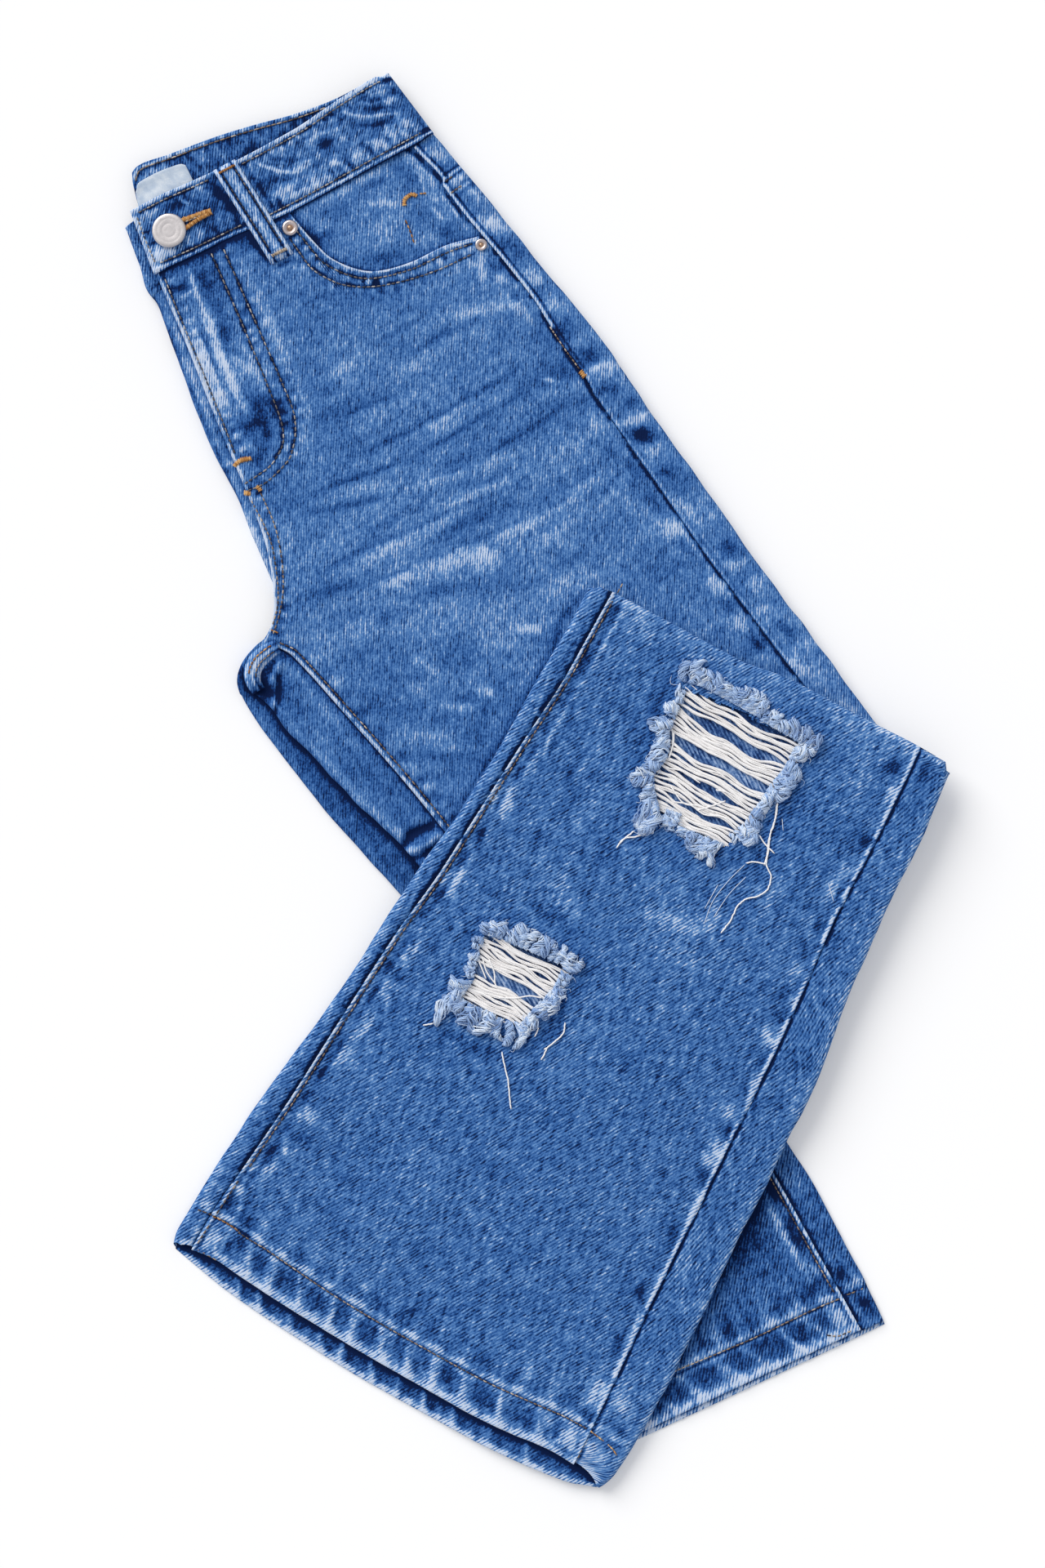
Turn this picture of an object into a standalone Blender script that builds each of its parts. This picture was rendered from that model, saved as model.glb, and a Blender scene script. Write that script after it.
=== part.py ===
"""Ripped wide-leg jeans, folded in half lengthwise with the left leg folded over on itself.

The garment lies flat: +Z is up, the floor is z = 0, +Y runs towards the waistband.
Every stretch of cloth is described in a flat frame of its own: s runs across the leg,
t runs down the leg. Tables are in millimetres; the mesh is in metres.
"""
import math
import bpy
import bmesh
from mathutils import Vector

MM = 0.001
CLOTH = 1.2          # one layer of heavy denim
BAND = 2.2           # waistband and belt loop: folded denim
BAND_LOW = 5.6       # underside of the back of the left waistband
HEM = 2.0            # turned-up hem
RIGHT_HEM = 1.5      # the same, pressed flat under the other leg
SEAM_GAP = 0.3       # clearance between neighbouring pieces

TUBE = 5.4           # outer height of the lower left leg, two layers and the air between
RIGHT_TUBE = 3.6     # outer height of the lower right leg
SIDE_TOP = 10.4      # top of the hip and thigh at their edges
SIDE_CROWN = 2.4     # how far the middle of the hip and thigh stands above its edges
HIDDEN_LOBE = 5.2    # height of the right half where it shows below the left half

LOOP_WIDTH = 12.6
FOLD_FLOOR = 13.4    # height at which the turned-over leg meets the thigh

# Radius and height along the outer face of each round fastener, from its middle.
BUTTON_PROFILE = [(0, 3.1), (5.4, 3.1), (6.2, 2.6), (7.4, 2.7), (8.6, 3.3), (9.6, 3.2), (10.3, 2.4),
                  (10.3, 1.4), (9.4, 0.5), (5.0, 0.0), (0, 0.0)]
RIVET_PROFILE = [(0, 1.5), (1.5, 1.5), (2.1, 1.0), (3.0, 0.9), (3.9, 1.2), (4.4, 0.7), (4.3, 0.0), (0, 0.0)]
BUTTON_AT = (19.6, -16.5)
RIVETS_AT = {"rivet_front": (77.7, 23.7), "rivet_side": (160.8, 100.5)}

# Middle of the garment's outline, in the axes of the frames below; it becomes the object's origin.
MIDDLE = (-0.55, 1.38)
# Flat frames: origin of the frame in the object's plane, and the direction down the leg.
FRAMES = {
    "hip": {"origin": (-222.0, 298.6), "down": (0.6018, -0.7986)},
    "shin": {"origin": (31.0, 113.8), "down": (-0.4848, -0.8746)},
    "right": {"origin": (202.8, -316.8), "down": (0.4226, -0.9063)},
}

# Left front, hip and thigh: fly edge, then inseam, and the outseam on the other side.
THIGH = [
    {"t": -60, "inner": 15, "outer": 162, "fold": 178},
    {"t": 0, "inner": -1, "outer": 162, "fold": 178},
    {"t": 41, "inner": -11, "outer": 164, "fold": 178.5},
    {"t": 81, "inner": -22, "outer": 164, "fold": 180.5},
    {"t": 116, "inner": -31, "outer": 166, "fold": 182},
    {"t": 143, "inner": -38, "outer": 166.5, "fold": 183.5},
    {"t": 161, "inner": -43.5, "outer": 165, "fold": 184.5},
    {"t": 185, "inner": -55, "outer": 163, "fold": 185.5},
    {"t": 198, "inner": -64, "outer": 163, "fold": 185.5},
    {"t": 206, "inner": -73, "outer": 162, "fold": 185},
    {"t": 211, "inner": -83, "outer": 161, "fold": 185},
    {"t": 216, "inner": -77, "outer": 161, "fold": 184.5},
    {"t": 226, "inner": -72, "outer": 160.5, "fold": 184},
    {"t": 269, "inner": -68, "outer": 159, "fold": 182},
    {"t": 344, "inner": -63, "outer": 156.5, "fold": 179},
    {"t": 520, "inner": -60, "outer": 157, "fold": 177},
]
THIGH_STEPS = (0, 25, 50, 81, 116, 143, 161, 185, 198, 206, 211, 217, 228, 248, 275, 310, 348, 385)
# Edges that cross the thigh: the waist seam, the pocket mouth, and where the panel ends below the fold.
THIGH_ENDS = [
    {"u": 0.0, "top": 0.0, "bottom": 385},
    {"u": 0.18, "top": 4.5, "bottom": 372},
    {"u": 0.36, "top": 11.3, "bottom": 352},
    {"u": 0.485, "top": 17.0, "bottom": 340},
    {"u": 0.505, "top": 33, "bottom": 338},
    {"u": 0.52, "top": 50, "bottom": 337},
    {"u": 0.565, "top": 66.5, "bottom": 334},
    {"u": 0.63, "top": 76.5, "bottom": 331},
    {"u": 0.75, "top": 85.5, "bottom": 365},
    {"u": 0.87, "top": 90, "bottom": 420},
    {"u": 1.0, "top": 96.5, "bottom": 478},
]
WAIST = [
    {"s": -4, "top": -43, "seam": -2.5, "back": -36},
    {"s": 9, "top": -38.5, "seam": 0.5, "back": -46},
    {"s": 27, "top": -35.5, "seam": 4.5, "back": -58},
    {"s": 46, "top": -31, "seam": 8.2, "back": -52.5},
    {"s": 76, "top": -24.5, "seam": 16, "back": -43.5},
    {"s": 98, "top": -21, "seam": 19.8, "back": -35.5},
    {"s": 119, "top": -18.3, "seam": 22.7, "back": -27},
    {"s": 144, "top": -17.2, "seam": 26.2, "back": -19.5},
    {"s": 169, "top": -15, "seam": 29.8, "back": -15},
    {"s": 182, "top": -11, "seam": 31, "back": -11},
]
# Band of the right half, pressed flat under the left one.
UNDER_BAND = [
    {"s": 12, "top": -43, "bottom": 5}, {"s": 30, "top": -51, "bottom": -2}, {"s": 60, "top": -45, "bottom": -5},
    {"s": 100, "top": -31, "bottom": 3}, {"s": 140, "top": -17, "bottom": 15}, {"s": 164, "top": -12, "bottom": 20},
]
# Edges of the layers that lie under the left half.
UNDER_HIP = [
    {"t": -33, "edge": 0.0}, {"t": -13, "edge": -6}, {"t": 6, "edge": -12},
    {"t": 10, "edge": -11.5}, {"t": 26, "edge": -15.5}, {"t": 53, "edge": -23}, {"t": 78, "edge": -29.5},
    {"t": 107, "edge": -37}, {"t": 136, "edge": -43.5}, {"t": 153, "edge": -48.5}, {"t": 170, "edge": -52.5},
    {"t": 192, "edge": -58},
]
INNER_THIGH = [
    {"t": 213, "fold": -97}, {"t": 226, "fold": -105}, {"t": 244, "fold": -101},
    {"t": 257, "fold": -102}, {"t": 279, "fold": -99}, {"t": 299, "fold": -97},
    {"t": 322, "fold": -94.5}, {"t": 345, "fold": -90}, {"t": 385, "fold": -87},
]
UNDER_THIGH = [
    {"t": 220, "fold": -108}, {"t": 228, "fold": -111}, {"t": 256, "fold": -113},
    {"t": 293, "fold": -112}, {"t": 316, "fold": -110}, {"t": 339, "fold": -107},
    {"t": 375, "fold": -104}, {"t": 410, "fold": -100},
]
# Lower left leg: its two folded edges and the seams near them.
SHIN = [
    {"t": -12, "left": 0, "inseam": 13, "outseam": 215, "right": 237},
    {"t": 10, "left": 0, "inseam": 13, "outseam": 217, "right": 239},
    {"t": 48, "left": -0.5, "inseam": 13, "outseam": 219, "right": 242},
    {"t": 100, "left": -1, "inseam": 9.5, "outseam": 220, "right": 245},
    {"t": 150, "left": -3, "inseam": 6.5, "outseam": 225, "right": 250.5},
    {"t": 190, "left": -8, "inseam": 4, "outseam": 228, "right": 256.5},
    {"t": 232, "left": -10.5, "inseam": -1, "outseam": 230, "right": 259.5},
    {"t": 290, "left": -15, "inseam": -5, "outseam": 233, "right": 262},
    {"t": 348, "left": -22.5, "inseam": -8.5, "outseam": 236, "right": 266},
    {"t": 398, "left": -26.5, "inseam": -13, "outseam": 239.5, "right": 268.5},
    {"t": 470, "left": -28, "inseam": -17, "outseam": 244, "right": 265},
]
SHIN_STEPS = (0.0, 0.05, 0.12, 0.2, 0.3, 0.4, 0.5, 0.6, 0.7, 0.8, 0.9, 0.96, 1.0)
SHIN_STATIONS = (0.0, 0.06, 0.14, 0.24, 0.34, 0.44, 0.54, 0.64, 0.74, 0.84, 0.93, 1.0)
FOLD_LINE = [
    {"w": 0, "t": 0}, {"w": 9, "t": -4}, {"w": 50, "t": -5}, {"w": 96, "t": -5.5}, {"w": 131, "t": -10},
    {"w": 183, "t": -11}, {"w": 215, "t": -12}, {"w": 232, "t": -11}, {"w": 237, "t": -6},
]
# Height of the underside of the lower left leg, by station across it.
SHIN_FLOOR = [
    {"t": -20, 0.0: 13.6, 0.2: 13.9, 0.4: 15.0, 0.6: 17.0, 0.8: 18.4, 1.0: 18.4},
    {"t": 60, 0.0: 13.5, 0.2: 13.7, 0.4: 14.5, 0.6: 16.0, 0.8: 17.0, 1.0: 17.0},
    {"t": 130, 0.0: 13.3, 0.2: 13.6, 0.4: 14.2, 0.6: 15.0, 0.8: 15.5, 1.0: 15.0},
    {"t": 200, 0.0: 10.5, 0.2: 12.5, 0.4: 13.5, 0.6: 14.0, 0.8: 14.0, 1.0: 13.0},
    {"t": 260, 0.0: 5.0, 0.2: 8.5, 0.4: 10.5, 0.6: 11.5, 0.8: 11.0, 1.0: 9.5},
    {"t": 320, 0.0: 1.0, 0.2: 4.0, 0.4: 6.5, 0.6: 8.0, 0.8: 8.0, 1.0: 7.0},
    {"t": 380, 0.0: 0.0, 0.2: 0.0, 0.4: 2.5, 0.6: 4.6, 0.8: 5.6, 1.0: 5.6},
    {"t": 430, 0.0: 0.0, 0.2: 0.0, 0.4: 0.0, 0.6: 2.0, 0.8: 4.2, 1.0: 4.8},
    {"t": 480, 0.0: 0.0, 0.2: 0.0, 0.4: 0.0, 0.6: 0.6, 0.8: 3.2, 1.0: 4.4},
]
# Hem of the lower left leg: the seam above it, its front edge and its back edge.
SHIN_HEM = [
    {"u": 0.0, "seam": 434, "front": 454.5, "back": 456},
    {"u": 0.12, "seam": 432.5, "front": 450.5, "back": 461},
    {"u": 0.27, "seam": 435, "front": 452.5, "back": 466},
    {"u": 0.5, "seam": 438.5, "front": 455, "back": 469},
    {"u": 0.72, "seam": 437, "front": 456, "back": 470},
    {"u": 0.9, "seam": 434, "front": 454, "back": 466},
    {"u": 1.0, "seam": 437, "front": 453, "back": 457},
]
# Lower right leg where it comes out from under the left one.
RIGHT_LEG = [
    {"t": -135, "left": -150, "seam": -24, "right": -8.5},
    {"t": -117, "left": -158, "seam": -22, "right": -6},
    {"t": -87, "left": -168, "seam": -19.5, "right": -2},
    {"t": -50, "left": -178, "seam": -17, "right": -0.5},
    {"t": -24, "left": -184, "seam": -15, "right": 1},
    {"t": 4, "left": -188, "seam": -13, "right": 1},
]
RIGHT_HEM_SEAM = -21.5
RIGHT_HEM_FRONT = 0.0
RIGHT_HEM_BACK = 4.0
# Mass of folded cloth under the lower left leg.
UNDER_SHIN = [
    {"t": 45, "left": 48, "right": 224}, {"t": 90, "left": 45, "right": 229},
    {"t": 150, "left": 44, "right": 237}, {"t": 196, "left": 44, "right": 241},
    {"t": 214, "left": 44, "right": 236}, {"t": 262, "left": 46, "right": 202},
    {"t": 300, "left": 50, "right": 172}, {"t": 340, "left": 58, "right": 140},
]

# The two torn places on the lower left leg: corners in its own flat frame, in order round the hole.
TEARS = {
    "upper": [(77, 26), (81, 50), (89, 64), (85, 76), (98, 95), (122, 96), (143, 93), (149, 78),
              (152, 65), (149, 50), (152, 35), (153, 20), (115, 22)],
    "lower": [(45, 209), (47, 221), (53, 234), (50, 247), (72, 246), (91, 243), (100, 218), (98, 201),
              (72, 204)],
}
FRAY_REACH = 8.0      # width of the frayed rim lying on the cloth round a tear
FRAY_HEIGHT = 2.4
WEFT_DEPTH = 0.3      # the bare weft lies this far below the face of the cloth

MATERIALS = {
    "denim": {"colour": (0.045, 0.14, 0.40, 1), "roughness": 0.9, "metallic": 0.0},
    "denim_inside": {"colour": (0.10, 0.20, 0.45, 1), "roughness": 0.9, "metallic": 0.0},
    "fray_cotton": {"colour": (0.22, 0.38, 0.68, 1), "roughness": 0.95, "metallic": 0.0},
    "weft_cotton": {"colour": (0.80, 0.78, 0.72, 1), "roughness": 0.95, "metallic": 0.0},
    "label_cloth": {"colour": (0.52, 0.64, 0.76, 1), "roughness": 0.8, "metallic": 0.0},
    "nickel": {"colour": (0.62, 0.60, 0.58, 1), "roughness": 0.35, "metallic": 1.0},
    "copper_nickel": {"colour": (0.62, 0.50, 0.44, 1), "roughness": 0.38, "metallic": 1.0},
}


def column(table, key, name, x):
    """Read a named column of a table at x, on a smooth curve that keeps to the rows."""
    xs = [row[key] for row in table]
    ys = [row[name] for row in table]
    if x <= xs[0]:
        return ys[0]
    if x >= xs[-1]:
        return ys[-1]
    i = max(j for j in range(len(xs) - 1) if xs[j] <= x)
    slopes = [(ys[j + 1] - ys[j]) / (xs[j + 1] - xs[j]) for j in range(len(xs) - 1)]

    def tangent(j):
        if j == 0 or j == len(xs) - 1 or slopes[j - 1] * slopes[j] <= 0:
            return 0.0 if 0 < j < len(xs) - 1 else slopes[min(j, len(slopes) - 1)]
        return 2 * slopes[j - 1] * slopes[j] / (slopes[j - 1] + slopes[j])

    step = xs[i + 1] - xs[i]
    f = (x - xs[i]) / step
    return ((2 * f**3 - 3 * f**2 + 1) * ys[i] + (f**3 - 2 * f**2 + f) * step * tangent(i)
            + (3 * f**2 - 2 * f**3) * ys[i + 1] + (f**3 - f**2) * step * tangent(i + 1))


def place(frame, s, t, z):
    """A point of a flat frame, in metres in the object's frame."""
    ox, oy = (a - b for a, b in zip(FRAMES[frame]["origin"], MIDDLE))
    dx, dy = FRAMES[frame]["down"]
    return Vector((ox - dy * s + dx * t, oy + dx * s + dy * t, z)) * MM


def lerp(a, b, f):
    return a + (b - a) * f


def material(name):
    found = bpy.data.materials.get(name)
    if found:
        return found
    made = bpy.data.materials.new(name)
    made.use_nodes = True
    shader = made.node_tree.nodes["Principled BSDF"]
    shader.inputs["Base Color"].default_value = MATERIALS[name]["colour"]
    shader.inputs["Roughness"].default_value = MATERIALS[name]["roughness"]
    shader.inputs["Metallic"].default_value = MATERIALS[name]["metallic"]
    return made


def add_object(name, mesh, slot, folder):
    made = bpy.data.objects.new(name, mesh)
    mesh.materials.append(material(slot))
    folder.objects.link(made)
    return made


def grid_mesh(name, rows, closed=False):
    """A surface through rows of points; its face looks along (down the leg) x (across)."""
    width = len(rows[0])
    faces = [(i * width + j, (i + 1) * width + j,
              (i + 1) * width + (j + 1) % width, i * width + (j + 1) % width)
             for i in range(len(rows) - 1) for j in range(width if closed else width - 1)]
    mesh = bpy.data.meshes.new(name)
    mesh.from_pydata([p for row in rows for p in row], [], faces)
    return mesh


def wall(name, rows, thickness, slot, folder, closed=False):
    """A stretch of cloth: the outer face through rows of points, thickened inwards."""
    made = add_object(name, grid_mesh(name, rows, closed), slot, folder)
    solid = made.modifiers.new("thickness", "SOLIDIFY")
    solid.thickness = thickness * MM
    solid.offset = -1
    solid.use_even_offset = True
    return made


def ring_solid(name, rings, slot, folder):
    """A closed solid lofted through closed rings of points, capped at both ends."""
    mesh = bpy.data.meshes.new(name)
    shape = bmesh.new()
    loops = [[shape.verts.new(p) for p in ring] for ring in rings]
    for low, high in zip(loops, loops[1:]):
        for j in range(len(low)):
            k = (j + 1) % len(low)
            shape.faces.new((low[j], low[k], high[k], high[j]))
    shape.faces.new(loops[0])
    shape.faces.new(loops[-1])
    bmesh.ops.recalc_face_normals(shape, faces=shape.faces)
    shape.to_mesh(mesh)
    shape.free()
    return add_object(name, mesh, slot, folder)


def turned(name, profile, place_at, slot, folder, steps=28):
    """A round fastener: a profile of (radius, height) turned about its own axis."""
    mesh = bpy.data.meshes.new(name)
    edges = [(i, i + 1) for i in range(len(profile) - 1)]
    mesh.from_pydata([(r * MM, 0, z * MM) for r, z in profile], edges, [])
    made = add_object(name, mesh, slot, folder)
    screw = made.modifiers.new("turn", "SCREW")
    screw.steps = steps
    screw.render_steps = steps
    screw.use_merge_vertices = True
    screw.merge_threshold = 0.00005
    screw.use_normal_calculate = True
    made.location = place_at
    return made


# ---------------------------------------------------------------- forms of the cloth

def thigh_top(s, t):
    """Height of the outer face of the hip and thigh."""
    inner = column(THIGH, "t", "inner", t)
    outer = column(THIGH, "t", "outer", t)
    across = min(1.0, max(0.0, (s - inner) / (outer - inner)))
    return SIDE_TOP + SIDE_CROWN * (1 - abs(2 * across - 1) ** 2.4)


def thigh_point(u, v_t, lift=0.0):
    inner = column(THIGH, "t", "inner", v_t)
    outer = column(THIGH, "t", "outer", v_t)
    s = lerp(inner, outer, u)
    return place("hip", s, v_t, thigh_top(s, v_t) + lift)


def shin_edges(t):
    return [column(SHIN, "t", name, t) for name in ("left", "inseam", "outseam", "right")]


def shin_floor(w, t):
    """Height of the underside of the lower left leg."""
    left, _, _, right = shin_edges(t)
    u = min(1.0, max(0.0, (w - left) / (right - left)))
    stations = [0.0, 0.2, 0.4, 0.6, 0.8, 1.0]
    across = [{"u": station, "z": column(SHIN_FLOOR, "t", station, t)} for station in stations]
    return column(across, "u", "z", u)


def shin_top(w, t):
    return shin_floor(w, t) + TUBE


def fold_round(edge_s, side, z_low, z_high, reach):
    """Half-round profile of a folded edge, top to bottom; side is +1 for a right-hand edge."""
    middle = (z_low + z_high) / 2
    half = (z_high - z_low) / 2
    angles = [60, 30, 0, -30, -60]
    return [(edge_s - side * reach * (1 - math.cos(math.radians(a))),
             middle + half * math.sin(math.radians(a))) for a in angles]


# ---------------------------------------------------------------- hip and thigh

def front_left(folder):
    rows = []
    for step in THIGH_STEPS:
        row = []
        for end in THIGH_ENDS:
            u = end["u"]
            row.append(thigh_point(u, lerp(end["top"], end["bottom"], step / THIGH_STEPS[-1])))
        rows.append(row)
    wall("front_left", rows, CLOTH, "denim", folder)


def pocket_facing(folder):
    """The piece seen above the pocket mouth, its edges just clear of the front and the waistband."""
    rows = []
    for f in (0.0, 0.33, 0.66, 1.0):
        row = []
        for end in THIGH_ENDS[4:]:
            waist = column(WAIST, "s", "seam", lerp(-1, 162, end["u"])) + 2 * SEAM_GAP
            mouth = end["top"] - 2 * SEAM_GAP
            t = lerp(waist, mouth, f)
            inner = column(THIGH, "t", "inner", t)
            outer = column(THIGH, "t", "outer", t)
            s = lerp(inner, outer, end["u"])
            row.append(place("hip", s, t, thigh_top(s, t) - 0.5))
        rows.append(row)
    wall("pocket_facing", rows, CLOTH - 0.1, "denim", folder)


def outer_wrap(name, t_values, folder, lift=0.0):
    """Back panel where it rounds the outer fold beside the outseam."""
    rows = []
    for t in t_values:
        seam = column(THIGH, "t", "outer", t) + SEAM_GAP
        fold = column(THIGH, "t", "fold", t)
        high = SIDE_TOP - 0.2 + lift
        low = HIDDEN_LOBE + 0.3
        line = [(seam, high), (lerp(seam, fold, 0.45), high - 0.1)]
        line += fold_round(fold, 1, low, high - 0.2, 4.0)
        line += [(fold - 9, low), (fold - 17, low)]
        rows.append([place("hip", s, t, z) for s, z in line])
    wall(name, rows, CLOTH, "denim", folder)


def inner_wrap(folder):
    """Back panel beside the inseam, rounding the inner fold of the left thigh."""
    rows = []
    for t in [t for t in THIGH_STEPS if t > 211]:
        seam = column(THIGH, "t", "inner", t) - SEAM_GAP
        fold = column(INNER_THIGH, "t", "fold", t)
        high = SIDE_TOP - 0.4
        low = 4.6
        line = [(fold + 34, low), (fold + 18, low), (fold + 7, low)]
        line += list(reversed(fold_round(fold, -1, low, high - 1.2, 4.0)))
        line += [(lerp(fold, seam, 0.55), high - 0.5), (seam, high)]
        rows.append([place("hip", s, t, z) for s, z in line])
    wall("back_left_inner", rows, CLOTH, "denim", folder)


def under_edge(name, table, key, t_values, high, flange, folder):
    """A folded edge of the right half, lying on the floor and opening towards the middle."""
    rows = []
    for t in t_values:
        fold = column(table, "t", key, t)
        line = [(fold + flange, 0.0), (fold + 14, 0.0), (fold + 6, 0.0)]
        line += list(reversed(fold_round(fold, -1, 0.0, high, 3.6)))
        line += [(fold + 6, high), (fold + 14, high), (fold + flange, high)]
        rows.append([place("hip", s, t, z) for s, z in line])
    wall(name, rows, CLOTH, "denim", folder)


def crotch_roll(folder):
    """End of the back rise seam, curled over beside the crotch."""
    rows = []
    for f in (0.0, 0.3, 0.65, 1.0):
        middle_s = lerp(-89.5, -95.5, f)
        t = lerp(212.5, 229.0, f)
        top = lerp(13.2, 12.55, f)
        row = []
        for a in (-80, -48, -16, 16, 48, 80):
            s = middle_s + 6.4 * math.sin(math.radians(a))
            z = top - 2.0 * (1 - math.cos(math.radians(a)))
            row.append(place("hip", s, t + 0.35 * (s - middle_s), z))
        rows.append(row)
    wall("rise_back_roll", rows, CLOTH, "denim", folder)


# ---------------------------------------------------------------- waistband

def band_top(s):
    return 12.2 + 1.2 * math.sin(math.pi * min(1, max(0, s / 165)))


def waistband_left(folder):
    """Front of the band, round the side fold, and the back of the band with its inside up."""
    rows = []
    for f in (0.0, 0.33, 0.67, 1.0):
        row = []
        for g in (0.0, 0.06, 0.14, 0.25, 0.36, 0.46, 0.6, 0.73, 0.87, 1.0):
            s = lerp(lerp(9.0, -1.6, f), 165.0, g)
            t = lerp(column(WAIST, "s", "top", s), column(WAIST, "s", "seam", s) - SEAM_GAP, f)
            row.append(place("hip", s, t, band_top(s)))
        for s, z in fold_round(178.6, 1, BAND_LOW, 12.0, 5.0):
            row.append(place("hip", s, lerp(-13.0, 29.5, f), z))
        for s in (165, 144, 119, 98, 76, 46, 27, 14):
            row.append(place("hip", s, column(WAIST, "s", "back", s) + 36 * f, BAND_LOW))
        rows.append(row)
    wall("waistband_left", rows, BAND, "denim", folder)


def waistband_right(folder):
    """Band of the right half, flattened under the left one; its turned end shows beside the button."""
    rows = []
    for f in (0.0, 0.33, 0.67, 1.0):
        row = []
        stations = [(station["s"], lerp(station["top"], station["bottom"], f)) for station in UNDER_BAND]
        edge = column(UNDER_HIP, "t", "edge", lerp(-34.0, 7.3, f))
        for s, z in reversed(fold_round(edge, -1, 0.0, HIDDEN_LOBE, 3.6)):
            row.append(place("hip", s, lerp(-34.0, 7.3, f), z))
        row += [place("hip", s, t, HIDDEN_LOBE) for s, t in stations]
        end_t = stations[-1][1]
        row += [place("hip", s, end_t, z) for s, z in fold_round(176.0, 1, 0.0, HIDDEN_LOBE, 3.6)]
        row += [place("hip", s, t, 0.0) for s, t in reversed(stations)]
        rows.append(row)
    wall("waistband_right", rows, 1.8, "denim", folder, closed=True)


def belt_loop(folder):
    rows = []
    for f in (0.0, 0.15, 0.4, 0.65, 0.85, 1.0):
        row = []
        for across in (-0.5, 0.0, 0.5):
            s = lerp(70.5, 63.6, f) + LOOP_WIDTH * across
            t = lerp(-28.5, 33.5, f) + 2.4 * across
            row.append(place("hip", s, t, band_top(s) + BAND + SEAM_GAP))
        rows.append(row)
    wall("belt_loop", rows, BAND, "denim", folder)


def label_tab(folder):
    rows = []
    for f in (0.0, 0.5, 1.0):
        row = []
        for s, top, low in ((16.5, -48, -34), (28, -50.5, -31), (39, -46.5, -28), (49.5, -42.5, -26)):
            row.append(place("hip", s, lerp(top, low, f), BAND_LOW + BAND + SEAM_GAP + 0.6))
        rows.append(row)
    wall("label_tab", rows, 0.6, "label_cloth", folder)


# ---------------------------------------------------------------- lower left leg

def leg_fold(folder):
    """Where the left leg turns back over the thigh: a soft roll across the whole leg."""
    rows = []
    stations = (-0.4, 3, 9, 30, 60, 96, 131, 160, 183, 205, 222, 233, 237.2)
    sections = []
    for w in stations:
        end = 0 < w < 237
        edge = column(FOLD_LINE, "w", "t", w)
        high = shin_top(w, 6.0) - (0.0 if end else 1.6)
        low = FOLD_FLOOR + (0.0 if end else 1.0)
        line = [(5.6, low), (edge + 5.5, low)]
        line += [(t, z) for t, z in reversed(fold_round(edge, -1, low, high - 0.3, 4.2))]
        line += [(6.0, high)]
        sections.append([place("shin", w, t, z) for t, z in line])
    for i in range(len(sections[0])):
        rows.append([section[i] for section in sections])
    wall("front_left_fold", rows, CLOTH, "denim", folder)


def shin_front_row(t_of_u, lift=0.0):
    row = []
    for u in SHIN_STATIONS:
        t = t_of_u(u)
        _, inseam, outseam, _ = shin_edges(t)
        w = lerp(inseam, outseam, u)
        row.append(place("shin", w, t, shin_top(w, t) + lift))
    return row


def front_left_shin(folder):
    rows = []
    for step in SHIN_STEPS:
        rows.append(shin_front_row(
            lambda u: lerp(6.6, column(SHIN_HEM, "u", "seam", u) - SEAM_GAP / 2, step)))
    panel = wall("front_left_shin", rows, CLOTH, "denim", folder)
    for name, corners in TEARS.items():
        cutter = tear_prism("cut_" + name, corners, 0.0)
        cut = panel.modifiers.new("tear_" + name, "BOOLEAN")
        cut.operation = "DIFFERENCE"
        cut.solver = "EXACT"
        cut.object = cutter


def tear_outline(corners, outwards):
    """Corners of a tear, with a midpoint on each side, moved out from its middle."""
    count = len(corners)
    middle_w = sum(w for w, _ in corners) / count
    middle_t = sum(t for _, t in corners) / count
    outline = []
    for (w0, t0), (w1, t1) in zip(corners, corners[1:] + corners[:1]):
        for w, t in ((w0, t0), ((w0 + w1) / 2, (t0 + t1) / 2)):
            reach = math.hypot(w - middle_w, t - middle_t)
            grow = (reach + outwards) / reach
            outline.append((middle_w + (w - middle_w) * grow, middle_t + (t - middle_t) * grow))
    return outline


def tear_prism(name, corners, outwards):
    mesh = bpy.data.meshes.new(name)
    shape = bmesh.new()
    outline = tear_outline(corners, outwards)
    low = [shape.verts.new(place("shin", w, t, 0.0)) for w, t in outline]
    high = [shape.verts.new(place("shin", w, t, 40.0)) for w, t in outline]
    for i in range(len(low)):
        k = (i + 1) % len(low)
        shape.faces.new((low[i], low[k], high[k], high[i]))
    shape.faces.new(low)
    shape.faces.new(high)
    bmesh.ops.recalc_face_normals(shape, faces=shape.faces)
    shape.to_mesh(mesh)
    shape.free()
    cutter = bpy.data.objects.new(name, mesh)
    cutter.hide_render = True
    cutter.display_type = "WIRE"
    bpy.data.collections["cutters"].objects.link(cutter)
    return cutter


def weft_threads(name, corners, folder):
    """The bare weft that spans a tear, as one thin wall just inside its edge."""
    ws = [w for w, _ in corners]
    ts = [t for _, t in corners]
    rows = []
    for i in range(5):
        t = lerp(min(ts) - 4, max(ts) + 4, i / 4)
        row = []
        for j in range(5):
            w = lerp(min(ws) - 4, max(ws) + 4, j / 4)
            row.append(place("shin", w, t, shin_top(w, t) - WEFT_DEPTH))
        rows.append(row)
    sheet = wall("tear_" + name + "_weft", rows, 0.8, "weft_cotton", folder)
    keep = sheet.modifiers.new("outline", "BOOLEAN")
    keep.operation = "INTERSECT"
    keep.solver = "EXACT"
    keep.object = tear_prism("keep_" + name, corners, -0.8)


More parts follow.
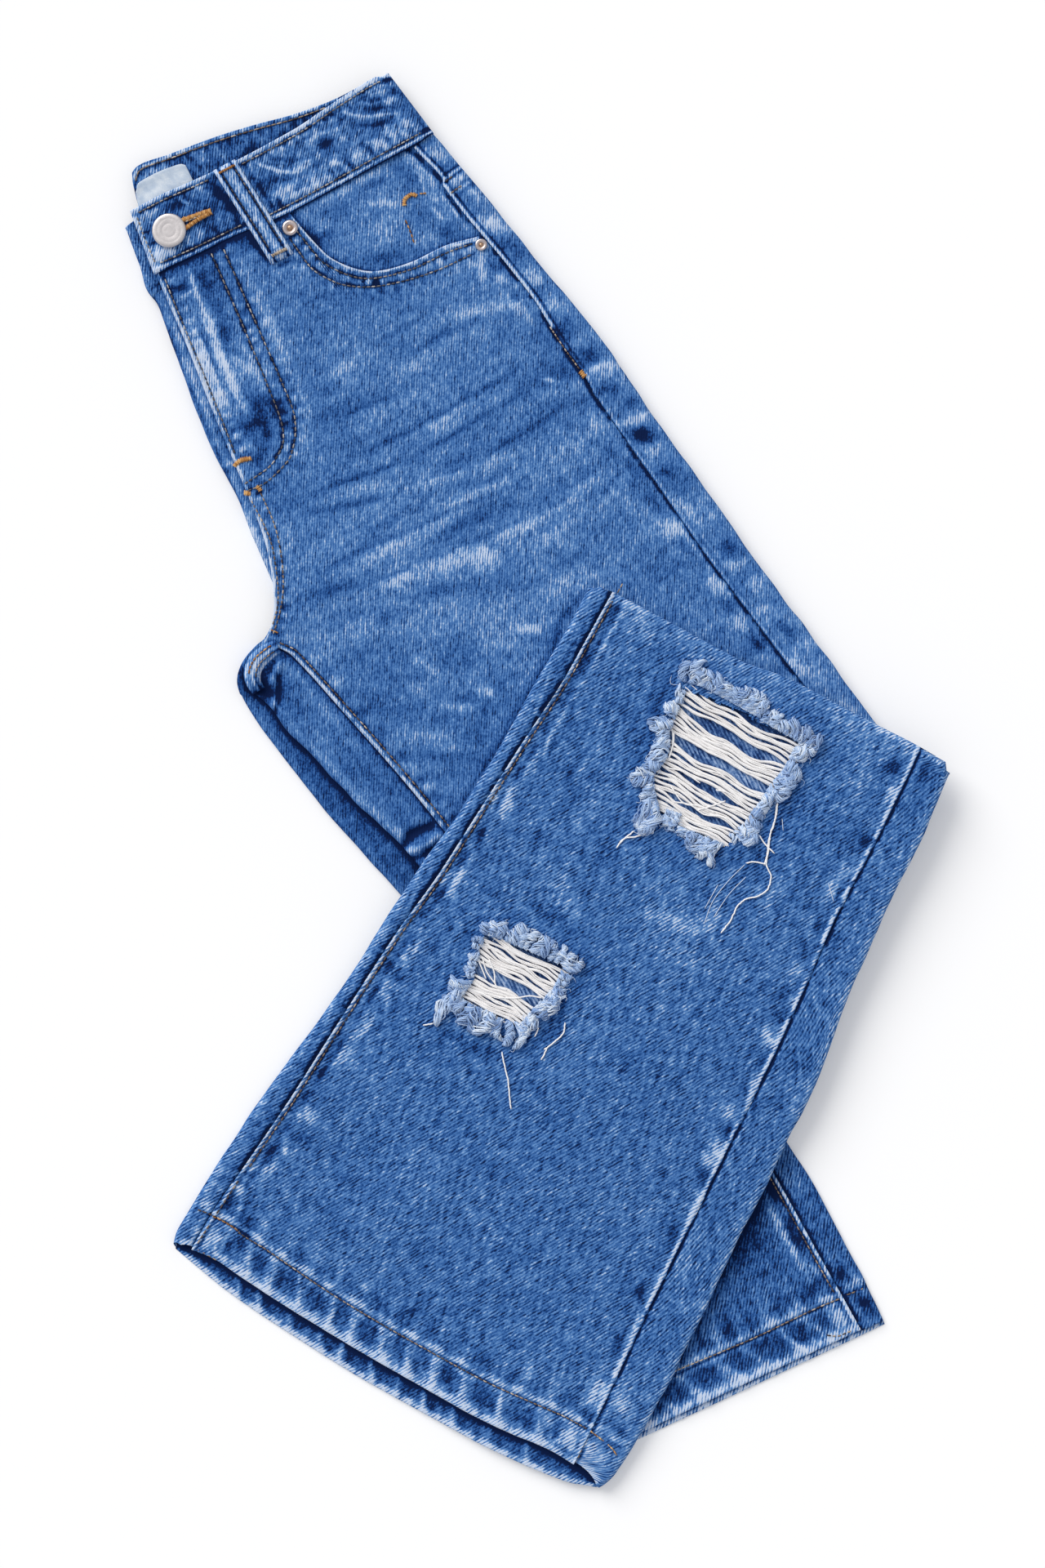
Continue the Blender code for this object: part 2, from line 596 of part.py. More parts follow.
def frayed_rim(name, corners, folder):
    """Plain solid of the reach of the frayed cotton round a tear."""
    section = ((-2.0, 0.3), (-1.4, 1.5), (2.0, FRAY_HEIGHT), (6.0, 1.5), (FRAY_REACH, 0.3))
    rings = []
    for outwards, lift in section:
        outline = tear_outline(corners, outwards)
        rings.append([place("shin", w, t, shin_top(w, t) + lift) for w, t in outline])
    count = len(rings[0])
    points = [p for ring in rings for p in ring]
    faces = []
    for i in range(len(rings)):
        after = (i + 1) % len(rings)
        for j in range(count):
            k = (j + 1) % count
            faces.append((i * count + j, i * count + k, after * count + k, after * count + j))
    mesh = bpy.data.meshes.new(name)
    mesh.from_pydata(points, [], faces)
    shape = bmesh.new()
    shape.from_mesh(mesh)
    bmesh.ops.recalc_face_normals(shape, faces=shape.faces)
    shape.to_mesh(mesh)
    shape.free()
    add_object("tear_" + name + "_fray", mesh, "fray_cotton", folder)


def shin_round(t_of, stretch=0.0):
    """Section of the back panel: outseam, right fold, underside, left fold, inseam.

    t_of(depth, u) gives the row's place down the leg for a point at depth 0 (top) to 1 (underside).
    """
    def at(w_of, depth, u, z_of):
        t = t_of(depth, u)
        edges = shin_edges(t)
        w = w_of(edges)
        low = shin_floor(w, t)
        return place("shin", w, t, z_of(low, low + TUBE + stretch))

    row = [at(lambda e: e[2] + SEAM_GAP, 0, 1, lambda low, high: high - 0.2),
           at(lambda e: lerp(e[2], e[3], 0.5), 0, 1, lambda low, high: high - 0.4)]
    for a in (60, 25, -15, -50):
        sine = math.sin(math.radians(a))
        inset = 3.6 * (1 - math.cos(math.radians(a)))
        row.append(at(lambda e, d=inset: e[3] - d, 0.5 - 0.5 * sine, 1,
                      lambda low, high, k=sine: lerp(low, high - 0.6, 0.5 + 0.5 * k)))
    for u in (0.96, 0.8, 0.6, 0.4, 0.2, 0.04):
        row.append(at(lambda e, f=u: lerp(e[0], e[3], f), 1, u, lambda low, high: low))
    for a in (-50, -15, 25, 60):
        sine = math.sin(math.radians(a))
        inset = 3.6 * (1 - math.cos(math.radians(a)))
        row.append(at(lambda e, d=inset: e[0] + d, 0.5 - 0.5 * sine, 0,
                      lambda low, high, k=sine: lerp(low, high - 0.6, 0.5 + 0.5 * k)))
    row += [at(lambda e: lerp(e[0], e[1], 0.6), 0, 0, lambda low, high: high - 0.4),
            at(lambda e: e[1] - SEAM_GAP, 0, 0, lambda low, high: high - 0.2)]
    return row


def back_left_shin(folder):
    rows = []
    for step in SHIN_STEPS:
        rows.append(shin_round(
            lambda depth, u: lerp(6.6, column(SHIN_HEM, "u", "seam", u) - SEAM_GAP / 2, step)))
    wall("back_left_shin", rows, CLOTH, "denim", folder)


def hems_left(folder):
    front, back = [], []
    for step in (0.0, 0.5, 1.0):
        front.append(shin_front_row(
            lambda u: lerp(column(SHIN_HEM, "u", "seam", u) + SEAM_GAP / 2,
                           column(SHIN_HEM, "u", "front", u), step), 0.3))
        back.append(shin_round(
            lambda depth, u: lerp(column(SHIN_HEM, "u", "seam", u) + SEAM_GAP / 2,
                                  lerp(column(SHIN_HEM, "u", "front", u),
                                       column(SHIN_HEM, "u", "back", u), depth), step), 0.3))
    wall("hem_left_front", front, HEM, "denim", folder)
    wall("hem_left_back", back, HEM, "denim", folder)


# ---------------------------------------------------------------- lower right leg

def right_front_rows(t_values, top):
    rows = []
    for t in t_values:
        left = column(RIGHT_LEG, "t", "left", t)
        seam = column(RIGHT_LEG, "t", "seam", t)
        rows.append([place("right", lerp(left, seam, u), t, top) for u in (0, 0.25, 0.5, 0.75, 1.0)])
    return rows


def right_back_rows(t_values, top, back_shift):
    rows = []
    for t in t_values:
        left, seam, right = [column(RIGHT_LEG, "t", name, t) for name in ("left", "seam", "right")]
        line = [(seam + SEAM_GAP, top, 0), (lerp(seam, right, 0.6), top - 0.1, 0)]
        for s, z in fold_round(right, 1, 0.0, top - 0.2, 2.6):
            line.append((s, z, 1 - z / top))
        line += [(right - 9, 0.0, 1), (lerp(left, right, 0.5), 0.0, 1), (left, 0.0, 1)]
        end = (t - t_values[0]) / (t_values[-1] - t_values[0])
        rows.append([place("right", s, t + back_shift * depth * end, z) for s, z, depth in line])
    return rows


def lower_right_leg(folder):
    leg = [-135, -117, -87, -50, RIGHT_HEM_SEAM - SEAM_GAP / 2]
    hem = [RIGHT_HEM_SEAM + SEAM_GAP / 2, RIGHT_HEM_SEAM / 2, RIGHT_HEM_FRONT]
    wall("front_right_shin", right_front_rows(leg, RIGHT_TUBE), CLOTH, "denim", folder)
    wall("back_right_shin", right_back_rows(leg, RIGHT_TUBE, 0.0), CLOTH, "denim", folder)
    wall("hem_right_front", right_front_rows(hem, RIGHT_TUBE + 0.2), RIGHT_HEM, "denim", folder)
    wall("hem_right_back", right_back_rows(hem, RIGHT_TUBE + 0.2, RIGHT_HEM_BACK), RIGHT_HEM, "denim",
         folder)


# ---------------------------------------------------------------- hidden layers

def hidden_hip(name, folder):
    """Folded layers inside the hip and thigh; the right half shows below the outer fold."""
    rings = []
    for t in (26, 60, 107, 150, 186, 205, 226, 262, 300, 350, 400, 450, 495):
        fold = column(THIGH, "t", "fold", t)
        left = column(UNDER_HIP, "t", "edge", t) + 37 if t < 190 else -52
        sink = 2.0 if t < 130 else 1.55
        step = fold - 18.5
        line = [(left, 1.0), (left + 1.5, 0.0), (fold - 5, 0.0)]
        line += [(fold - 2, 0.7), (fold - 0.8, 2.5), (fold - 2, 4.4), (fold - 5, HIDDEN_LOBE)]
        line += [(step, HIDDEN_LOBE), (step, thigh_top(step, t) - sink - 1.2)]
        for u in (0.93, 0.75, 0.55, 0.35, 0.15):
            s = lerp(left, step, u)
            line.append((s, thigh_top(s, t) - sink))
        line += [(left + 1.5, thigh_top(left, t) - sink), (left, thigh_top(left, t) - sink - 1.0)]
        rings.append([place("hip", s, t, z) for s, z in line])
    return ring_solid(name, rings, "denim_inside", folder)


def hidden_shin(name, folder):
    """Folded layers that carry the lower left leg; their three lobes show under its right edge."""
    rings = []
    for row in UNDER_SHIN:
        t, left, right = row["t"], row["left"], row["right"]
        top = shin_floor(right, t) - 0.4
        line = [(left, 1.0), (left + 2, 0.0), (right - 4, 0.0)]
        for lobe in range(3):
            low, high = top * lobe / 3, top * (lobe + 1) / 3
            bulge = right - 1.5 * lobe
            line += [(bulge - 1.5, lerp(low, high, 0.2)), (bulge, lerp(low, high, 0.5))]
            line += [(bulge - 1.5, lerp(low, high, 0.8))]
            line += [(bulge - 5, high)] if lobe < 2 else [(bulge - 5, shin_floor(bulge - 5, t) - 0.4)]
        for u in (0.8, 0.6, 0.4, 0.2):
            w = lerp(left, right, u)
            line.append((w, shin_floor(w, t) - 0.4))
        line += [(left + 3, shin_floor(left + 3, t) - 0.4), (left, shin_floor(left, t) - 1.6)]
        rings.append([place("shin", w, t, z) for w, z in line])
    return ring_solid(name, rings, "denim_inside", folder)


def hidden_layers(folder):
    whole = hidden_hip("hidden_layers", folder)
    lower = hidden_shin("join_lower", bpy.data.collections["cutters"])
    lower.hide_render = True
    lower.display_type = "WIRE"
    join = whole.modifiers.new("join", "BOOLEAN")
    join.operation = "UNION"
    join.solver = "EXACT"
    join.object = lower


# ---------------------------------------------------------------- fasteners

def fasteners(folder):
    s, t = BUTTON_AT
    seat = band_top(s) + SEAM_GAP
    turned("button", BUTTON_PROFILE, place("hip", s, t, seat), "nickel", folder, 40)
    for name, (s, t) in RIVETS_AT.items():
        seat = thigh_top(s, t) + SEAM_GAP
        turned(name, RIVET_PROFILE, place("hip", s, t, seat), "copper_nickel", folder)


def clear_scene():
    for old in list(bpy.data.objects):
        bpy.data.objects.remove(old, do_unlink=True)


def main():
    clear_scene()
    folder = bpy.data.collections.new("ripped_jeans")
    cutters = bpy.data.collections.new("cutters")
    for made in (folder, cutters):
        bpy.context.scene.collection.children.link(made)
    front_left(folder)
    pocket_facing(folder)
    outer_wrap("yoke_left", [31.5, 44, 61], folder)
    outer_wrap("back_left_outer", [61.5, 81, 116, 143, 161, 185, 226, 269, 344, 420, 498], folder)
    inner_wrap(folder)
    under_edge("front_right", UNDER_HIP, "edge", [8, 26, 53, 78, 107, 136, 170, 190], 7.6, 30, folder)
    under_edge("back_right", UNDER_THIGH, "fold", [220, 228, 256, 293, 339, 375, 410], 4.2, 46, folder)
    crotch_roll(folder)
    waistband_left(folder)
    waistband_right(folder)
    belt_loop(folder)
    label_tab(folder)
    leg_fold(folder)
    front_left_shin(folder)
    back_left_shin(folder)
    hems_left(folder)
    for name, corners in TEARS.items():
        weft_threads(name, corners, folder)
        frayed_rim(name, corners, folder)
    lower_right_leg(folder)
    hidden_layers(folder)
    fasteners(folder)


main()
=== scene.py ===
"""Looks of the folded ripped jeans: denim shells, topstitching, tears, fasteners, light and camera.

Flat frames, tables and heights repeat those of the CAD source. s runs across a leg, t down it,
both in millimetres; meshes are in metres, in the frame's own axes.
"""
import math
import bpy
import numpy as np
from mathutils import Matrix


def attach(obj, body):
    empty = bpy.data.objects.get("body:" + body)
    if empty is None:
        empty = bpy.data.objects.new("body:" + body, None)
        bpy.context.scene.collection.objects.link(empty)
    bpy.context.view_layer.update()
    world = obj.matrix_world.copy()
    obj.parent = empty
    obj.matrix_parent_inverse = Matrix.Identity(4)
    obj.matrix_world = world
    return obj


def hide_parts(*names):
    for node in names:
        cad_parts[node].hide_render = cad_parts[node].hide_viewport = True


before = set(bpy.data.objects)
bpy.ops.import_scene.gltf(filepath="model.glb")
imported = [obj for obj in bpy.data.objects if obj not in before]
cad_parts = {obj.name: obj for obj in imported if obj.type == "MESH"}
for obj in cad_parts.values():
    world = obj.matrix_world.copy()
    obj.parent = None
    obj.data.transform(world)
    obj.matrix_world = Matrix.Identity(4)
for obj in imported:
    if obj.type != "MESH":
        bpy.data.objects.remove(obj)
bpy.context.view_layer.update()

MM = 0.001
# Cloth comes no nearer to the floor than a soft limit, in mm.
FLOOR_GAP = 0.2
FLOOR_SOFTNESS = 0.35
# Heights of the folded layers, in mm.
TUBE = 5.4
RIGHT_TUBE = 3.6
SIDE_TOP = 10.4
SIDE_CROWN = 2.4
HIDDEN_LOBE = 5.2
BAND = 2.2
BAND_LOW = 5.6
FOLD_FLOOR = 13.4
MIDDLE = (-0.55, 1.38)
FRAMES = {
    "hip": {"origin": (-222.0, 298.6), "down": (0.6018, -0.7986)},
    "shin": {"origin": (31.0, 113.8), "down": (-0.4848, -0.8746)},
    "right": {"origin": (202.8, -316.8), "down": (0.4226, -0.9063)},
}

# ------------------------------------------------------------------ tables shared with the CAD
THIGH = {
    "t": (-60, 0, 41, 81, 116, 143, 161, 185, 198, 206, 211, 216, 226, 269, 344, 520),
    "inner": (15, -1, -11, -22, -31, -38, -43.5, -55, -64, -73, -83, -77, -72, -68, -63, -60),
    "outer": (162, 162, 164, 164, 166, 166.5, 165, 163, 163, 162, 161, 161, 160.5, 159, 156.5, 157),
    "fold": (178, 178, 178.5, 180.5, 182, 183.5, 184.5, 185.5, 185.5, 185, 185, 184.5, 184, 182, 179, 177),
}
THIGH_ENDS = {
    "u": (0, .18, .36, .485, .505, .52, .565, .63, .75, .87, 1),
    "top": (0, 4.5, 11.3, 17, 33, 50, 66.5, 76.5, 85.5, 90, 96.5),
    "bottom": (385, 372, 352, 340, 338, 337, 334, 331, 365, 420, 478),
}
WAIST = {
    "s": (-4, 9, 27, 46, 76, 98, 119, 144, 169, 182),
    "top": (-43, -38.5, -35.5, -31, -24.5, -21, -18.3, -17.2, -15, -11),
    "seam": (-2.5, .5, 4.5, 8.2, 16, 19.8, 22.7, 26.2, 29.8, 31),
    "back": (-36, -46, -58, -52.5, -43.5, -35.5, -27, -19.5, -15, -11),
}
UNDER_HIP = {
    "t": (-33, -13, 6, 10, 26, 53, 78, 107, 136, 153, 170, 192),
    "edge": (0, -6, -12, -11.5, -15.5, -23, -29.5, -37, -43.5, -48.5, -52.5, -58),
}
INNER_THIGH = {
    "t": (213, 226, 244, 257, 279, 299, 322, 345, 385),
    "fold": (-97, -105, -101, -102, -99, -97, -94.5, -90, -87),
}
UNDER_THIGH = {
    "t": (220, 228, 256, 293, 316, 339, 375, 410),
    "fold": (-108, -111, -113, -113, -112, -110, -107, -103),
}
SHIN = {
    "t": (-12, 10, 48, 100, 150, 190, 232, 290, 348, 398, 430, 448, 456, 464),
    "left": (0, 0, -.5, -1, -3, -8, -10.5, -15, -22.5, -26.8, -28.8, -29.2, -27.4, -23),
    "inseam": (13, 13, 13, 9.5, 6.5, 4, -1, -5, -8.5, -13, -16.2, -16.4, -16.2, -16),
    "outseam": (215, 217, 219, 220, 225, 228, 230, 233, 236, 239.5, 240.8, 241.4, 241.6, 241.8),
    "right": (237, 239, 242, 245, 250.5, 256.5, 259.5, 262, 266, 268, 267, 266, 264.2, 260),
}
FOLD_LINE = {
    "w": (0, 9, 50, 96, 131, 183, 215, 232, 237),
    "t": (0, -4, -5, -5.5, -10, -11, -12, -11, -6),
}
SHIN_FLOOR = {
    "t": (-20, 60, 130, 200, 260, 320, 380, 430, 480),
    "z": ((13.6, 13.9, 15.0, 17.0, 18.4, 18.4), (13.5, 13.7, 14.5, 16.0, 17.0, 17.0),
          (13.3, 13.6, 14.2, 15.0, 15.5, 15.0), (10.5, 12.5, 13.5, 14.0, 14.0, 13.0),
          (5.0, 8.5, 10.5, 11.5, 11.0, 9.5), (1.0, 4.0, 6.5, 8.0, 8.0, 7.0),
          (0, 0, 2.5, 4.6, 5.6, 5.6), (0, 0, 0, 2.0, 4.2, 4.8), (0, 0, 0, .6, 3.2, 4.4)),
}
SHIN_HEM = {
    "u": (0, .06, .12, .27, .5, .72, .85, .9, .95, 1),
    "seam": (431.2, 430.6, 432.4, 435.8, 438.4, 437.8, 435, 433.8, 433, 433),
    "front": (453.2, 451.6, 453.0, 455.8, 457.8, 458.1, 456.2, 454.4, 453.6, 454.2),
    "back": (458.4, 462, 465, 469, 472, 471.6, 469.4, 467.8, 465.6, 460.6),
}
RIGHT_LEG = {
    "t": (-135, -117, -87, -50, -24, 4),
    "left": (-150, -158, -168, -178, -184, -188),
    "seam": (-24, -22, -19.5, -17, -15, -13),
    "right": (-8.5, -6, -2, -.5, 1, 1),
}
UNDER_SHIN = {
    "t": (45, 90, 150, 196, 214, 262, 300, 340),
    "left": (48, 45, 44, 44, 44, 46, 50, 58),
    "right": (224, 229, 237, 241, 236, 202, 172, 140),
}
TEARS = {
    "upper": [(77, 26), (81, 50), (89, 64), (85, 76), (98, 95), (122, 96), (143, 93), (149, 78),
              (152, 65), (149, 50), (152, 35), (153, 20), (115, 22)],
    "lower": [(45, 209), (47, 221), (53, 234), (50, 247), (72, 246), (91, 243), (100, 218), (98, 201),
              (72, 204)],
}


# ------------------------------------------------------------------ numbers
def smooth_curve(xs, ys):
    """A function through the rows of a table, smooth and without overshoot."""
    xs, ys = np.array(xs, float), np.array(ys, float)
    rise = np.diff(ys) / np.diff(xs)
    slope = np.zeros(len(xs))
    inner = rise[:-1] * rise[1:] > 0
    slope[1:-1][inner] = 2 * rise[:-1][inner] * rise[1:][inner] / (rise[:-1] + rise[1:])[inner]
    slope[0], slope[-1] = rise[0], rise[-1]

    def read(x):
        x = np.clip(np.asarray(x, float), xs[0], xs[-1])
        i = np.clip(np.searchsorted(xs, x, "right") - 1, 0, len(xs) - 2)
        step = xs[i + 1] - xs[i]
        f = (x - xs[i]) / step
        return ((2 * f**3 - 3 * f**2 + 1) * ys[i] + (f**3 - 2 * f**2 + f) * step * slope[i]
                + (3 * f**2 - 2 * f**3) * ys[i + 1] + (f**3 - f**2) * step * slope[i + 1])
    return read


def table_curve(table, key, name):
    """The curve of one named row of a table."""
    return smooth_curve(table[key], table[name])


thigh_inner, thigh_outer, thigh_fold = [table_curve(THIGH, "t", n) for n in ("inner", "outer", "fold")]
thigh_start, thigh_end = [table_curve(THIGH_ENDS, "u", n) for n in ("top", "bottom")]
waist_top, waist_seam, waist_back = [table_curve(WAIST, "s", n) for n in ("top", "seam", "back")]
under_hip = table_curve(UNDER_HIP, "t", "edge")
inner_fold = table_curve(INNER_THIGH, "t", "fold")
under_fold = table_curve(UNDER_THIGH, "t", "fold")
shin_left, shin_inseam, shin_outseam, shin_right = [
    table_curve(SHIN, "t", n) for n in ("left", "inseam", "outseam", "right")]
fold_line = table_curve(FOLD_LINE, "w", "t")
hem_seam, hem_front, hem_back = [table_curve(SHIN_HEM, "u", n) for n in ("seam", "front", "back")]
right_left, right_seam, right_right = [table_curve(RIGHT_LEG, "t", n) for n in ("left", "seam", "right")]
floor_stations = [smooth_curve(SHIN_FLOOR["t"], [row[k] for row in SHIN_FLOOR["z"]]) for k in range(6)]


def lerp(a, b, f):
    """From a to b, f of the way."""
    return a + (b - a) * f


def bell(x, width):
    """A soft bump, 1 at 0."""
    return np.exp(-(x / width) ** 2)


def step_up(x, low, high):
    """Rises softly from 0 at low to 1 at high."""
    f = np.clip((x - low) / (high - low), 0, 1)
    return f * f * (3 - 2 * f)


def thigh_top(s, t):
    """Height of the thigh's top face."""
    across = np.clip((s - thigh_inner(t)) / (thigh_outer(t) - thigh_inner(t)), 0, 1)
    return SIDE_TOP + SIDE_CROWN * (1 - np.abs(2 * across - 1) ** 2.4)


def band_top(s):
    """Height of the waistband's top face."""
    return 12.2 + 1.2 * np.sin(math.pi * np.clip(np.asarray(s, float) / 165, 0, 1))


def shin_floor(w, t):
    """Height of the layers that the lower leg lies on."""
    left, right = shin_left(t), shin_right(t)
    u = np.clip((w - left) / (right - left), 0, 1) * 5
    i = np.clip(np.floor(u).astype(int), 0, 4)
    heights = np.stack([station(t) for station in floor_stations])
    f = u - i
    f = f * f * (3 - 2 * f) * 0.35 + f * 0.65
    low = np.take_along_axis(heights, i[None], 0)[0]
    high = np.take_along_axis(heights, i[None] + 1, 0)[0]
    return low + (high - low) * f


def noise(x, y, size, seed):
    """Smooth value noise, about -1 to 1, with cells of the given size."""
    cells = 128
    lattice = np.random.default_rng(seed).uniform(-1, 1, (cells, cells))
    gx, gy = np.asarray(x, float) / size + 900, np.asarray(y, float) / size + 900
    ix, iy = np.floor(gx).astype(int), np.floor(gy).astype(int)
    fx, fy = gx - ix, gy - iy
    fx, fy = fx * fx * (3 - 2 * fx), fy * fy * (3 - 2 * fy)
    a, b = lattice[ix % cells, iy % cells], lattice[(ix + 1) % cells, iy % cells]
    c, d = lattice[ix % cells, (iy + 1) % cells], lattice[(ix + 1) % cells, (iy + 1) % cells]
    return lerp(lerp(a, b, fx), lerp(c, d, fx), fy)


def cloudy(x, y, size, seed):
    """Noise of three sizes, laid over each other."""
    return (noise(x, y, size, seed) + 0.5 * noise(x, y, size * 0.47, seed + 1)
            + 0.28 * noise(x, y, size * 0.21, seed + 2)) / 1.5


def near(x, y, line):
    """Distance to a polyline, signed (positive on its right going down), and the length along it."""
    best = np.full(np.shape(x), 1e9)
    along = np.zeros(np.shape(x))
    sign = np.ones(np.shape(x))
    walked = 0.0
    for (ax, ay), (bx, by) in zip(line, line[1:]):
        dx, dy = bx - ax, by - ay
        length = math.hypot(dx, dy)
        f = np.clip(((x - ax) * dx + (y - ay) * dy) / length**2, 0, 1)
        px, py = x - (ax + dx * f), y - (ay + dy * f)
        far = np.hypot(px, py)
        closer = far < best
        best = np.where(closer, far, best)
        along = np.where(closer, walked + f * length, along)
        sign = np.where(closer, np.where(dx * py - dy * px > 0, -1.0, 1.0), sign)
        walked += length
    return best * sign, along


def walk(a, b, axis=0):
    """Length walked along two tracks of coordinates, from 0."""
    steps = np.hypot(np.diff(a, axis=axis), np.diff(b, axis=axis))
    return np.concatenate([0 * np.take(a, [0], axis), np.cumsum(steps, axis)], axis)


def rounded(points, step=2.0):
    """Points every step mm along a smooth line through the given ones."""
    x, y = np.array(points, float).T
    chord = walk(x, y)
    fine = np.linspace(0, chord[-1], max(2, int(chord[-1] / step) + 1))
    return np.stack([smooth_curve(chord, x)(fine), smooth_curve(chord, y)(fine)], 1)


def outward(path):
    """Unit directions square to a path."""
    ahead = np.gradient(path, axis=0)
    ahead /= np.linalg.norm(ahead, axis=1, keepdims=True)
    return np.stack([ahead[:, 1], -ahead[:, 0]], 1)


# ------------------------------------------------------------------ meshes
def place(name, s, t, z):
    """Points of a flat frame as an array of positions in metres."""
    ox, oy = (a - b for a, b in zip(FRAMES[name]["origin"], MIDDLE))
    dx, dy = FRAMES[name]["down"]
    s, t, z = np.broadcast_arrays(np.asarray(s, float), np.asarray(t, float), np.asarray(z, float))
    return np.stack([ox - dy * s + dx * t, oy + dx * s + dy * t, z], -1) * MM


def add_mesh(name, points, faces, material, replaces=()):
    """A smooth mesh that rides on the root; the CAD pieces it replaces are hidden."""
    mesh = bpy.data.meshes.new(name)
    mesh.from_pydata([tuple(p) for p in np.asarray(points).reshape(-1, 3)], [], faces)
    mesh.materials.append(material)
    made = bpy.data.objects.new(name, mesh)
    bpy.context.scene.collection.objects.link(made)
    mesh.shade_smooth()
    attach(made, "root")
    if replaces:
        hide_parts(*replaces)
    return made


def paint(made, name, values):
    """A value for every point, for the materials to read."""
    layer = made.data.attributes.new(name, "FLOAT", "POINT")
    layer.data.foreach_set("value", np.asarray(values, np.float32).ravel())


def map_cloth(made, across, along):
    """UVs in metres of cloth, so that the weave has its real size everywhere."""
    layer = made.data.uv_layers.new(name="cloth")
    corner = np.zeros(len(made.data.loops), int)
    made.data.loops.foreach_get("vertex_index", corner)
    uv = np.stack([across.ravel()[corner], along.ravel()[corner]], -1) * MM
    layer.data.foreach_set("uv", uv.astype(np.float32).ravel())


class Cloth:
    """A grid of cloth: s and t where it was cut, points where it lies, wear and painted shade from -1 dark
    to 1 white.
    """

    LAYERS = ("s", "t", "z", "cut_s", "cut_t", "wear")
    LOW, HIGH = slice(None, -1), slice(1, None)
    CORNERS = ((LOW, LOW), (HIGH, LOW), (HIGH, HIGH), (LOW, HIGH))

    def __init__(self, flat, s, t, z, cut_s=None, cut_t=None):
        self.flat = flat
        self.s, self.t, self.z = [a.astype(float) for a in np.broadcast_arrays(s, t, z)]
        self.cut_s = self.s.copy() if cut_s is None else np.broadcast_to(cut_s, self.s.shape).copy()
        self.cut_t = self.t.copy() if cut_t is None else np.broadcast_to(cut_t, self.s.shape).copy()
        self.wear = np.zeros(self.s.shape)
        self.hole = np.zeros(self.s.shape, bool)

    def off(self, line):
        """Distance of every point from a line, signed as near says."""
        return near(self.s, self.t, line)[0]

    def rim(self, side, profile, wear=0.35):
        """Adds rows that turn an edge down: profile is (outwards, down) in mm from the edge."""
        axis = 0 if side in ("start", "end") else 1
        first = side in ("start", "left")
        k0, k1 = (0, 1) if first else (-1, -2)

        def take(name, k):
            layer = getattr(self, name)
            return layer[k][None] if axis == 0 else layer[:, k][:, None]

        out_s, out_t = take("s", k0) - take("s", k1), take("t", k0) - take("t", k1)
        length = np.maximum(np.hypot(out_s, out_t), 1e-6)
        out_s, out_t = out_s / length, out_t / length
        edge = {n: take(n, k0) for n in self.LAYERS}
        walked, last = 0.0, (0.0, 0.0)
        blocks = []
        for out, down in profile:
            walked += math.hypot(out - last[0], down - last[1])
            last = (out, down)
            blocks.append({"s": edge["s"] + out_s * out, "t": edge["t"] + out_t * out,
                           "z": edge["z"] - down, "cut_s": edge["cut_s"] + out_s * walked,
                           "cut_t": edge["cut_t"] + out_t * walked, "wear": edge["wear"] + wear})
        if first:
            blocks = blocks[::-1]
        for n in self.LAYERS:
            extra = [block[n] for block in blocks]
            own = [getattr(self, n)]
            setattr(self, n, np.concatenate(extra + own if first else own + extra, axis))
        self.hole = np.zeros(self.s.shape, bool)

    def build(self, name, material, slot, replaces=()):
        """The mesh, without the faces that touch a hole; nothing comes below the floor."""
        below = np.minimum(self.z - FLOOR_GAP, 0)
        z = np.where(below < 0, FLOOR_GAP * np.exp(below / FLOOR_SOFTNESS), self.z)
        index = np.arange(z.size).reshape(z.shape)
        keep = ~np.any([self.hole[c] for c in self.CORNERS], axis=0)
        faces = np.stack([index[c][keep] for c in self.CORNERS], -1)
        used = np.unique(faces)
        renumber = np.full(z.size, -1)
        renumber[used] = np.arange(len(used))
        points = place(self.flat, self.s, self.t, z).reshape(-1, 3)[used]
        made = add_mesh(name, points, renumber[faces].tolist(), material, replaces=replaces)
        map_cloth(made, self.cut_s.ravel()[used], self.cut_t.ravel()[used])
        paint(made, "wear", self.wear.ravel()[used])
        return made


EDGE = ((.35, .1), (.75, .45), (.9, 1.0), (.6, 1.5), (-.6, 1.8))


def spread(low, high, step):
    """Even stations from low to high, about a step apart."""
    return np.linspace(low, high, max(2, int(round(abs(high - low) / step)) + 1))


# ------------------------------------------------------------------ materials
DENIM_STOPS = ((0.00, (.0018, .0110, .060)), (0.10, (.0042, .0330, .155)), (0.22, (.0140, .0740, .265)),
               (0.33, (.0330, .1190, .358)), (0.45, (.0560, .1690, .440)), (0.60, (.0950, .2320, .522)),
               (0.75, (.1700, .3350, .625)), (0.88, (.3300, .4900, .745)), (1.00, (.5900, .6850, .850)))
INSIDE_STOPS = ((0.00, (.0050, .0200, .090)), (0.22, (.0190, .0620, .210)), (0.42, (.0700, .1600, .380)),
                (0.65, (.2200, .3500, .600)), (1.00, (.5200, .6300, .820)))


